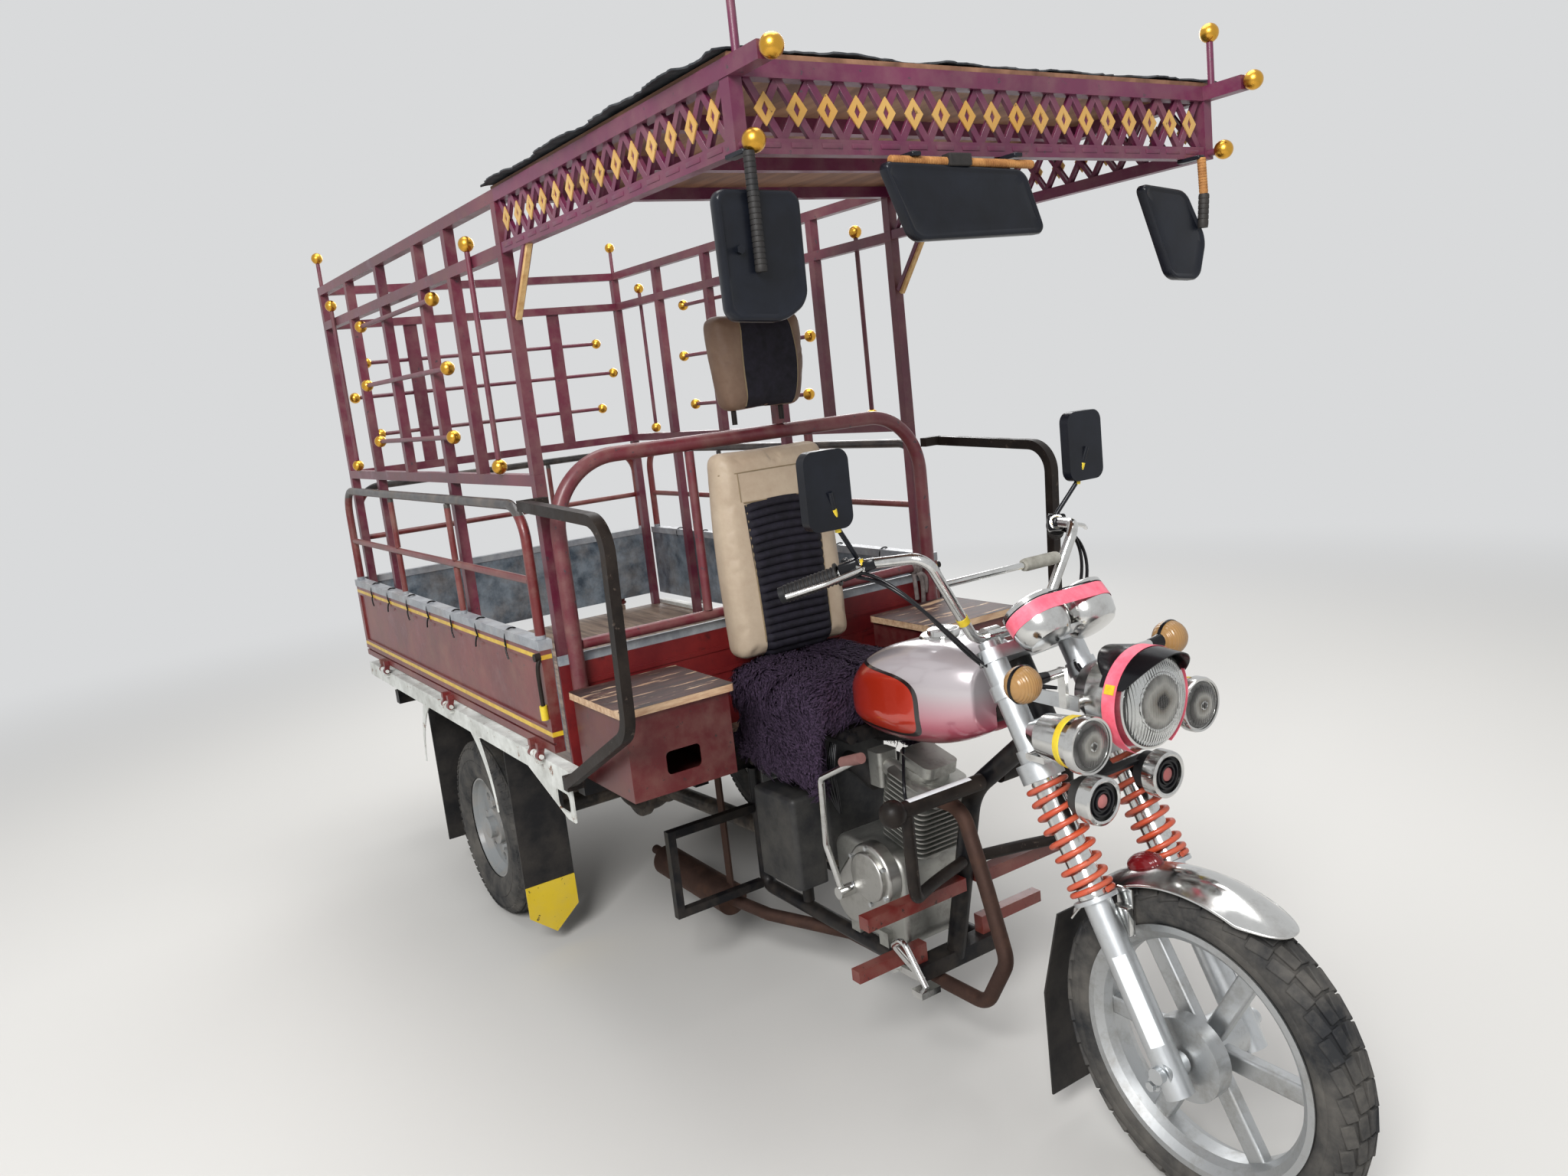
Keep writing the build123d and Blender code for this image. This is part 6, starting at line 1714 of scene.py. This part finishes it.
wire(
    shape,
    [at(1.255, -0.02, 0.640), at(1.300, -0.02, 0.640), at(1.340, -0.02, 0.622), at(1.372, -0.02, 0.610)],
    0.024, sides=6
)
new_piece("intake_hose", shape, "chassis", finishes["black_rubber"])
shape = bmesh.new()
wire(
    shape,
    [at(1.560, -0.070, 0.600), at(1.585, -0.105, 0.625), at(1.560, -0.085, 0.690), at(1.500, -0.030, 0.725)],
    0.0042
)
for strand in range(4):
    shift = 0.007 * strand
    wire(
        shape,
        [at(1.300 + shift, -0.095, 0.715), at(1.318 + shift, -0.125, 0.660),
            at(1.305 + shift, -0.128 + shift, 0.600), at(1.330, -0.110, 0.545)],
        0.0034
    )
new_piece("engine_leads", shape, "chassis", gloss_black)
shape = bmesh.new()
rod(shape, at(1.500, -0.204, 0.739), at(1.572, -0.204, 0.765), 0.0125, 20)
new_piece(
    "kick_lever_rubber", shape, "chassis",
    moulded("worn_red_rubber", "#6b4444", "#9a7a70", 0.7)
)

# %% [markdown]
# ## Crash bars
# A thick black bar crosses the down tube on each side and ends in a big black
# ball. A bent pipe returns from the ball to the foot of the down tube. A white
# stripe of tape runs along the top of the bar.

# %% Crash bars and their stripe
CRASH_X, CRASH_Z = 1.752, 0.703
shape = bmesh.new()
for side in (-1, 1):
    rod(shape, at(CRASH_X, side * 0.026, CRASH_Z), at(CRASH_X, side * 0.256, CRASH_Z), 0.0175, 28)
    bmesh.ops.create_uvsphere(
        shape, u_segments=32, v_segments=20, radius=0.029,
        matrix=Matrix.Translation(at(CRASH_X, side * 0.268, CRASH_Z))
    )
    loop = [
        (1.752, 0.232, 0.703), (1.752, 0.232, 0.640), (1.752, 0.232, 0.540), (1.744, 0.222, 0.500),
        (1.716, 0.184, 0.490), (1.690, 0.120, 0.490), (1.662, 0.020, 0.490)
    ]
    wire(shape, [at(x, side * y, z) for x, y, z in loop], 0.0135, sides=6)
new_piece("crash_bar_pipes", shape, "chassis", finishes["black_bar_paint"], ["crash_bars"])
shape = bmesh.new()
for side in (-1, 1):
    turn(
        shape, [(0.0182, 0.0), (0.0182, 0.170)], at(CRASH_X, side * 0.060, CRASH_Z), (0, side, 0), 10,
        math.radians(64), Vector((-0.6, 0, 1)) if side > 0 else Vector((0.6, 0, 1))
    )
new_piece("crash_bar_white_tape", shape, "chassis", white_tape)

# %% Filler plate
shape = bmesh.new()
bmesh.ops.create_uvsphere(
    shape,
    u_segments=48,
    v_segments=20,
    radius=1,
    matrix=Matrix.Translation(at(1.655, 0, 0.998)) @ Matrix.Rotation(math.radians(6), 4,
        "Y") @ Matrix.Diagonal((0.072, 0.056, 0.014, 1)),
)
turn(
    shape, [(0.0, 0.0245), (0.0260, 0.0240), (0.0350, 0.0200), (0.0362, 0.0080), (0.0362, -0.004)],
    at(1.640, 0, 1.000), (0, 0, 1), 48
)
new_piece("tank_filler_plate", shape, "chassis", chrome)

# %% [markdown]
# ## Bright front mudguard
# The mudguard is rolled from thin chromed sheet: round across, with a bead
# along each edge and a rounded tongue in front. It replaces the plain solid.

# %% Front mudguard
GUARD_RADIUS = 0.340
GUARD_HALF = 0.057
GUARD_FRONT, GUARD_REAR = math.radians(57), math.radians(149)
TONGUE = math.radians(12)


def guard_point(along, across, lift=0.0):
    """A point of the mudguard, from its front to its rear and from side to side."""
    first = GUARD_FRONT + TONGUE * abs(across) ** 2.6
    last = GUARD_REAR - TONGUE * 0.35 * abs(across) ** 3
    angle = first + (last - first) * along
    out = GUARD_RADIUS - 0.024 * (1 - math.cos(math.radians(74) * across)) / 0.724 + lift
    return FRONT_AXLE + Vector((out * math.cos(angle), GUARD_HALF * across, out * math.sin(angle)))


shape = bmesh.new()
bmesh.ops.create_grid(shape, x_segments=90, y_segments=18, size=1)
for vert in shape.verts:
    vert.co = guard_point((vert.co.x + 1) / 2, vert.co.y)
bmesh.ops.recalc_face_normals(shape, faces=shape.faces)
bmesh.ops.solidify(shape, geom=shape.faces, thickness=0.0016)
edge_route = [guard_point(along, -1) for along in stations(1, 0, 26)]
edge_route += [guard_point(0, across) for across in stations(-0.9, 0.9, 11)]
edge_route += [guard_point(along, 1) for along in stations(0, 1, 26)]
wire(shape, edge_route, 0.0026)
stay_box = [vert.co for vert in nodes["front_mudguard"].data.vertices if abs(vert.co.y) > 0.0585]
stay_low = Vector([min(place[axis] for place in stay_box) for axis in range(3)])
stay_high = Vector([max(place[axis] for place in stay_box) for axis in range(3)])
for side in (-1, 1):
    middle = (stay_low + stay_high) / 2
    tall = stay_high.z - stay_low.z
    deep = stay_high.x - stay_low.x
    slab(shape, (deep, 0.006, tall), Matrix.Translation((middle.x, side * 0.0600, middle.z)), 0.0015, 2)
    reach = stay_high.y - 0.056
    arm = Matrix.Translation((middle.x, side * (0.056 + reach / 2), stay_low.z + 0.030))
    slab(shape, (deep, reach, 0.058), arm, 0.004, 2)
new_piece("front_chrome_mudguard", shape, "front_fork", chrome, ["front_mudguard"])
print("mudguard stays:", stay_low, stay_high)

# %% [markdown]
# ## Small parts of the load bed
# The aluminium cap of each drop side is in lengths, tied with black wire. A
# hook with a taped handle holds the drop side's front end, and three bolts
# hold each mud flap.

# %% Gate ties, hooks and flap bolts
TIE_RADIUS = 0.0024
TIE_PLACES = (-0.700, -0.482, -0.255, -0.030, 0.200, 0.424, 0.650)
HOOK_X = 0.878


def gate_fittings(side, name, body):
    """The wire ties, hook and taped handle of one drop side."""
    ties = bmesh.new()
    for count, x in enumerate(TIE_PLACES):
        lean = 0.006 * (-1) ** count
        outer, inner = side * 0.6385, side * 0.6020
        ring = [(outer, 0.972), (outer, 1.034), (inner, 1.034), (inner, 0.998)]
        ring = [at(x + lean * (z - 1.0) / 0.03, y, z) for y, z in ring]
        wire(ties, ring, TIE_RADIUS, cyclic=True)
        tail = [
            at(x, outer, 0.985), at(x + lean, outer + side * 0.004, 0.972),
            at(x + 2.6 * lean, outer + side * 0.002, 0.955)
        ]
        wire(ties, tail, TIE_RADIUS)
    new_piece(f"gate_cap_ties_{name}", ties, body, gloss_black)
    hook = bmesh.new()
    hook_route = [(0.000, 0.628, 0.992), (0.004, 0.645, 0.982), (0.002, 0.647, 0.930), (-0.003, 0.643, 0.840)]
    wire(hook, [at(HOOK_X + x, side * y, z) for x, y, z in hook_route], 0.0055)
    rod(hook, at(HOOK_X, side * 0.634, 0.990), at(HOOK_X, side * 0.650, 0.990), 0.010, 20)
    new_piece(f"gate_hook_{name}", hook, body, finishes["black_bar_paint"])
    handle = bmesh.new()
    rod(
        handle, at(HOOK_X - 0.0012, side * 0.6445, 0.868), at(HOOK_X - 0.0030, side * 0.6430, 0.832),
        0.0095, 14
    )
    new_piece(f"gate_hook_tape_{name}", handle, body, yellow_tape)


gate_fittings(1, "left", "drop_side_left")
gate_fittings(-1, "right", "drop_side_right")
shape = bmesh.new()
for side in (-1, 1):
    for y in (0.470, 0.520, 0.570):
        rod(shape, at(0.370, side * y, 0.672), at(0.3765, side * y, 0.672), 0.0085, 6)
new_piece("flap_bolts", shape, "chassis", chrome)

# %% [markdown]
# ## Roof sheet
# An old bitumen sheet lies on the plywood. It was cut by hand, so its edge is
# ragged, and where it passes the boards it sags and curls a little.

# %% Roof sheet
COVER_LOW, COVER_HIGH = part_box("roof_cover")
SHEET_THICK = 0.003
cover_centre = (COVER_LOW + COVER_HIGH) / 2
cover_half = (COVER_HIGH - COVER_LOW) / 2
shape = bmesh.new()
bmesh.ops.create_grid(shape, x_segments=110, y_segments=126, size=1)
for vert in shape.verts:
    along, across = vert.co.x, vert.co.y
    rough = noise.noise(Vector((along * 14, across * 16, 0.0)))
    fold = noise.noise(Vector((along * 3.2, across * 3.6, 7.0)))
    tear = noise.noise(Vector((along * 5.5, across * 6.5, 3.0))) + 0.5 * noise.noise(
        Vector((along * 31, across * 37, 5.0))
    )
    edge = max(abs(along), abs(across))
    ragged = 1 - 0.026 * max(0.0, 0.35 + tear) * max(0.0, (edge - 0.93) / 0.07)
    over = max(0.0, abs(across) - 0.955) + max(0.0, abs(along) - 0.970)
    curl = 0.35 + 0.65 * noise.noise(Vector((along * 4.0, across * 4.5, 11.0)))
    vert.co = Vector(
        (
            cover_centre.x + along * cover_half.x * ragged,
            across * cover_half.y * ragged,
            COVER_LOW.z + 0.0085 + 0.0048 * fold + 0.0018 * rough - 0.20 * over * curl + 0.05 * over * rough,
        )
    )
bmesh.ops.recalc_face_normals(shape, faces=shape.faces)
bmesh.ops.solidify(shape, geom=shape.faces, thickness=SHEET_THICK)
roof_sheet = new_piece(
    "ragged_roof_sheet", shape, "chassis", finishes["roofing_felt"], ["roof_cover"], 60
)

# %% Rag on the hoop and wooden braces
shape = bmesh.new()
for loop in range(3):
    ring_place = at(0.932, 0.500 + 0.011 * loop, 1.010)
    turn(
        shape, [(0.0145, -0.006), (0.0200, -0.003), (0.0205, 0.003), (0.0145, 0.006)], ring_place,
        Vector((0.1 * (loop - 1), 1, 0.1)), 20
    )
for tail, (reach, drop) in enumerate(((0.016, 0.090), (0.030, 0.060), (-0.012, 0.075))):
    wire(
        shape,
        [
            at(0.932, 0.510, 0.998),
            at(0.940 + reach * 0.4, 0.510 + reach * 0.6, 0.990),
            at(0.944, 0.512 + reach, 0.990 - drop * 0.5),
            at(0.940, 0.514 + reach * 0.8, 0.992 - drop),
        ],
        0.0065,
    )
rag_cloth = moulded("grey_rag", "#5e5553", "#8b8380", 0.95, 300, 0.7, 0.9, 50)
rag = new_piece("tied_rag", shape, "chassis", rag_cloth)
BRACE_LOW, BRACE_TOP = (0.902, 1.796), (1.035, 1.958)
shape = bmesh.new()
for side in (-1, 1):
    start = at(BRACE_LOW[0], side * 0.575, BRACE_LOW[1])
    end = at(BRACE_TOP[0], side * 0.575, BRACE_TOP[1])
    slab(
        shape, (0.0145, 0.0250, (end - start).length), facing((start + end) / 2, end - start, (1, 0, 0)),
        0.0015, 1
    )
new_piece("roof_wooden_braces", shape, "chassis", pale_batten)
print("bed, roof sheet and braces done")

# %% [markdown]
# ## Roof edge
# The three edges of the roof are a lattice of crossed flat bars, with a gold
# diamond welded on each crossing and short flats along the lower rail. The
# diamonds are pierced, so each is an inset square whose middle is taken out.
# The gold balls are turned, one on every rod end that the CAD piece has.

# %% Lattice strips, pierced diamonds and balls
LATTICE_LOW, LATTICE_TOP = 1.964, 2.059
STRIP_WIDE = 0.0135
BAR_HALF = 0.0045
DIAMOND_HALF = (0.0205, 0.0265)
DIAMOND_RIM = 0.0140
DIAMOND_THICK = 0.0026
RAIL_FACE = 0.0122


def pierced_diamond(shape, place, outward):
    """An upright diamond with a diamond hole, raised from the crossing behind it."""
    upright = facing(place, outward) @ Matrix.Diagonal((*DIAMOND_HALF, 1, 1))
    made = bmesh.ops.create_circle(shape, cap_ends=True, segments=4, radius=1, matrix=upright)
    middle = made["verts"][0].link_faces[0]
    rim = bmesh.ops.inset_individual(shape, faces=[middle], thickness=DIAMOND_RIM)["faces"]
    bmesh.ops.delete(shape, geom=[middle], context="FACES")
    raised = bmesh.ops.extrude_face_region(shape, geom=rim, use_keep_orig=True)["geom"]
    lifted = [part for part in raised if isinstance(part, bmesh.types.BMVert)]
    bmesh.ops.translate(shape, verts=lifted, vec=Vector(outward) * DIAMOND_THICK)


def dress_lattice(strips, gold, start, step, cells, outward):
    """Flat strips over one row of crossed bars, its diamonds and its flats."""
    rise = Vector((0, 0, LATTICE_TOP - LATTICE_LOW))
    for cell in range(cells):
        left = start + step * cell
        right = left + step
        for first, last, thick in ((left, right + rise, 0.0016), (left + rise, right, 0.0022)):
            face_place = (first + last) / 2 + outward * (BAR_HALF + thick / 2)
            slab(
                strips, (STRIP_WIDE, (last - first).length, thick),
                facing(face_place, outward, last - first), 0.0004, 1
            )
        pierced_diamond(gold, (left + right + rise) / 2 + outward * (BAR_HALF + 0.0020), outward)
        flat_place = (left + right) / 2 + outward * RAIL_FACE - Vector((0, 0, 0.008))
        slab(strips, (step.length * 0.66, 0.0085, 0.0024), facing(flat_place, outward), 0.0008, 2)


def shells_of(shape):
    """The separate closed shells of a mesh, as lists of vertices."""
    left = set(shape.verts)
    shells = []
    while left:
        shell = [left.pop()]
        for vert in shell:
            for edge in vert.link_edges:
                other = edge.other_vert(vert)
                if other in left:
                    left.remove(other)
                    shell.append(other)
        shells.append(shell)
    return shells


strips = bmesh.new()
diamonds = bmesh.new()
SIDE_STEP = Vector(((1.912 - 0.905) / 14, 0, 0))
FRONT_STEP = Vector((0, 2 * 0.552 / 18, 0))
for side in (-1, 1):
    dress_lattice(strips, diamonds, at(0.905, side * 0.575, LATTICE_LOW), SIDE_STEP, 14, Vector((0, side, 0)))
dress_lattice(strips, diamonds, at(1.926, -0.552, LATTICE_LOW), FRONT_STEP, 18, Vector((1, 0, 0)))
new_piece("roof_lattice_strips", strips, "chassis", finishes["purple_band_paint"])
mustard = enamel("mustard_gold_enamel", "#b98a3c", "#d0a860", chip="#6a4a24", chips=0.6, dustiness=0.2)
new_piece("roof_gold_diamonds", diamonds, "chassis", mustard)
turned = bmesh.new()
turned.from_mesh(nodes["gold_ornaments"].data)
bmesh.ops.remove_doubles(turned, verts=turned.verts, dist=0.00005)
gold = bmesh.new()
balls = 0
for shell in shells_of(turned):
    low = Vector([min(vert.co[axis] for vert in shell) for axis in range(3)])
    high = Vector([max(vert.co[axis] for vert in shell) for axis in range(3)])
    if min(high - low) > 0.02:
        ball_place = Matrix.Translation((low + high) / 2)
        bmesh.ops.create_uvsphere(gold, u_segments=32, v_segments=20, radius=0.0192, matrix=ball_place)
        balls += 1
turned.free()
new_piece("gold_balls", gold, "chassis", finishes["gold_plate"], ["gold_ornaments"])
print("gold balls:", balls)

# %% [markdown]
# ## Roof mirrors
# Three driving mirrors hang from the front band with their glass to the rear,
# so the front shows their moulded backs: rounded plates with a raised rim.
# Their stalks are wound with tape, tan or black. Each back starts as a few
# corners whose points are bevelled round, and is then extruded and inset.

# %% Roof mirrors
MIRROR_FRONT, MIRROR_DEEP = 1.969, 0.022
MIRROR_OUTLINES = [
    [(-0.650, 1.884), (-0.496, 1.880), (-0.498, 1.708), (-0.546, 1.680), (-0.648, 1.688)],
    [(-0.318, 1.927), (0.008, 1.914), (0.052, 1.802), (-0.262, 1.797)],
    [(0.326, 1.888), (0.458, 1.874), (0.516, 1.778), (0.490, 1.698), (0.405, 1.704)],
]
MIRROR_ROUNDING = 0.0200
BACK_PROFILE = [
    # forward of the glass side, drawn in from the outline
    (0.0030, -0.0014),
    (0.0160, -0.0014),
    (0.0205, 0.0008),
    (0.0220, 0.0040),
    (0.0214, 0.0066),
    (0.0186, 0.0086),
    (0.0186, 0.0110),
    (0.0202, 0.0260),
]
GLASS_PROFILE = [(-0.0014, 0.0060)]


def mirror_plate(outline, drawn_in, profile):
    """A closed plate across the vehicle: its rounded outline grows forward ring by ring."""
    plate = bmesh.new()
    verts = [plate.verts.new(at(MIRROR_FRONT - MIRROR_DEEP, y, z)) for y, z in outline]
    plate.faces.new(verts)
    bmesh.ops.bevel(
        plate, geom=verts, offset=MIRROR_ROUNDING, segments=8, profile=0.5, affect="VERTICES", material=-1
    )
    low = Vector([min(vert.co[axis] for vert in plate.verts) for axis in range(3)])
    high = Vector([max(vert.co[axis] for vert in plate.verts) for axis in range(3)])
    centre, half = (low + high) / 2, (high - low) / 2
    ring, moved = plate.edges[:], plate.verts[:]
    forward_now, inward_now = 0.0, 0.0
    for forward, inward in [(0.0, drawn_in), *profile]:
        if forward != forward_now:
            grown = bmesh.ops.extrude_edge_only(plate, edges=ring)["geom"]
            ring = [part for part in grown if isinstance(part, bmesh.types.BMEdge)]
            moved = [part for part in grown if isinstance(part, bmesh.types.BMVert)]
        bmesh.ops.translate(plate, verts=moved, vec=(forward - forward_now, 0, 0))
        narrower = [1.0] + [(half[axis] - inward) / (half[axis] - inward_now) for axis in (1, 2)]
        bmesh.ops.scale(plate, verts=moved, vec=narrower, space=Matrix.Translation(-centre))
        forward_now, inward_now = forward, inward
    bmesh.ops.contextual_create(plate, geom=ring)
    return plate


def poured(target, source):
    """Add one bmesh's shape to another and free it."""
    data = bpy.data.meshes.new("poured")
    source.to_mesh(data)
    source.free()
    target.from_mesh(data)
    bpy.data.meshes.remove(data)


def wound_stalk(shape, top, bottom, radius, pitch):
    """A rod wound with tape: a turned profile with one low ridge for each turn of tape."""
    way = Vector(bottom) - Vector(top)
    profile = [(0.0, 0.0)]
    for lap in range(int(way.length / pitch)):
        profile += [
            (radius, pitch * lap), (radius + 0.0008, pitch * (lap + 0.3)),
            (radius + 0.0009, pitch * (lap + 0.9))
        ]
    profile += [(radius, way.length), (0.0, way.length)]
    turn(shape, profile, top, way, 20)


backs = bmesh.new()
glasses = bmesh.new()
for outline in MIRROR_OUTLINES:
    poured(backs, mirror_plate(outline, 0.0, BACK_PROFILE))
    poured(glasses, mirror_plate(outline, 0.0070, GLASS_PROFILE))
rod(backs, at(1.9655, -0.619, 1.793), at(1.9740, -0.619, 1.793), 0.0075, 6)
for y in (-0.588, -0.250, -0.012, 0.503):
    slab(backs, (0.054, 0.020, 0.008), Matrix.Translation(at(1.948, y, 1.9385)), 0.0015, 1)
new_piece(
    "roof_mirror_backs", backs, "chassis", finishes["mirror_plastic"], ["roof_mirrors"]
)
new_piece("roof_mirror_glass", glasses, "chassis", mirror_glass)
black_windings = bmesh.new()
wound_stalk(black_windings, at(1.976, -0.588, 1.938), at(1.976, -0.588, 1.757), 0.0088, 0.0085)
wound_stalk(black_windings, at(1.9760, 0.503, 1.866), at(1.9735, 0.498, 1.800), 0.0100, 0.010)
slab(black_windings, (0.024, 0.052, 0.022), Matrix.Translation(at(1.962, -0.150, 1.9300)), 0.003, 2)
new_piece(
    "roof_mirror_black_tape", black_windings, "chassis", finishes["black_rubber"], angle=20
)
tan_windings = bmesh.new()
wound_stalk(tan_windings, at(1.962, -0.300, 1.9300), at(1.962, 0.032, 1.9240), 0.0068, 0.0055)
wound_stalk(tan_windings, at(1.972, 0.505, 1.937), at(1.9755, 0.503, 1.866), 0.0080, 0.0055)
new_piece("roof_mirror_tan_cord", tan_windings, "chassis", tan_winding, angle=20)
print("roof mirrors done")

# %% [markdown]
# ## Stage
# A pale floor and even, soft light from a large overhead panel, a key panel in
# front and the pale room itself.

# %% Floor, light and backdrop
floor_mesh = bmesh.new()
bmesh.ops.create_grid(floor_mesh, x_segments=1, y_segments=1, size=60)
floor_data = bpy.data.meshes.new("studio_floor")
floor_mesh.to_mesh(floor_data)
floor = bpy.data.objects.new("studio_floor", floor_data)
bpy.context.scene.collection.objects.link(floor)
floor_material, floor_output, floor_place = new_material("studio_floor_paint")
BACKDROP = "#d9dadb"
FLOOR_NEAR, FLOOR_FAR = 3.2, 7.5
floor_paint = node(floor_material, "ShaderNodeBsdfDiffuse", {"Color": linear("#cfcdc9")})
far_glow = node(floor_material, "ShaderNodeEmission", {"Color": linear(BACKDROP), "Strength": 1.0})
distance = node(floor_material, "ShaderNodeVectorMath", {0: floor_place}, operation="LENGTH")
melt = node(
    floor_material,
    "ShaderNodeMapRange",
    {"Value": distance.outputs["Value"], "From Min": FLOOR_NEAR, "From Max": FLOOR_FAR},
    interpolation_type="SMOOTHSTEP",
)
floor_mix = node(
    floor_material, "ShaderNodeMixShader",
    {0: melt.outputs[0], 1: floor_paint.outputs[0], 2: far_glow.outputs[0]}
)
floor_material.node_tree.links.new(floor_mix.outputs[0], floor_output.inputs["Surface"])
floor_data.materials.append(floor_material)

world = bpy.data.worlds.new("studio")
bpy.context.scene.world = world
world.use_nodes = True
world.node_tree.nodes.clear()
world_output = node(world, "ShaderNodeOutputWorld")
path = node(world, "ShaderNodeLightPath")
seen = node(
    world,
    "ShaderNodeMath",
    {0: path.outputs["Is Camera Ray"], 1: path.outputs["Is Transmission Ray"]},
    operation="MAXIMUM",
)
seen_or_mirrored = node(
    world, "ShaderNodeMath", {0: seen.outputs[0], 1: path.outputs["Is Glossy Ray"]}, operation="MAXIMUM"
)
room = node(world, "ShaderNodeBackground", {"Color": linear("#e9edf2"), "Strength": 0.46})
backdrop = node(world, "ShaderNodeBackground", {"Color": linear(BACKDROP), "Strength": 1.0})
room_mix = node(
    world, "ShaderNodeMixShader",
    {0: seen_or_mirrored.outputs[0], 1: room.outputs[0], 2: backdrop.outputs[0]}
)
world.node_tree.links.new(room_mix.outputs[0], world_output.inputs["Surface"])


def panel_light(name, place, aim, size, power):
    """A square soft light at place, facing aim."""
    data = bpy.data.lights.new(name, "AREA")
    data.size = size
    data.energy = power
    lamp = bpy.data.objects.new(name, data)
    lamp.location = place
    lamp.rotation_euler = (Vector(aim) - Vector(place)).to_track_quat("-Z", "Y").to_euler()
    bpy.context.scene.collection.objects.link(lamp)
    return lamp


panel_light("key_panel", (4.2, -4.2, 4.6), (0.2, 0, 0.9), 2.4, 430)
panel_light("top_panel", (-0.5, 0.5, 6.0), (0, 0, 0.5), 4.0, 230)
panel_light("rim_panel", (-4.5, 3.5, 3.5), (0, 0, 1.0), 3.0, 150)
print("stage set")
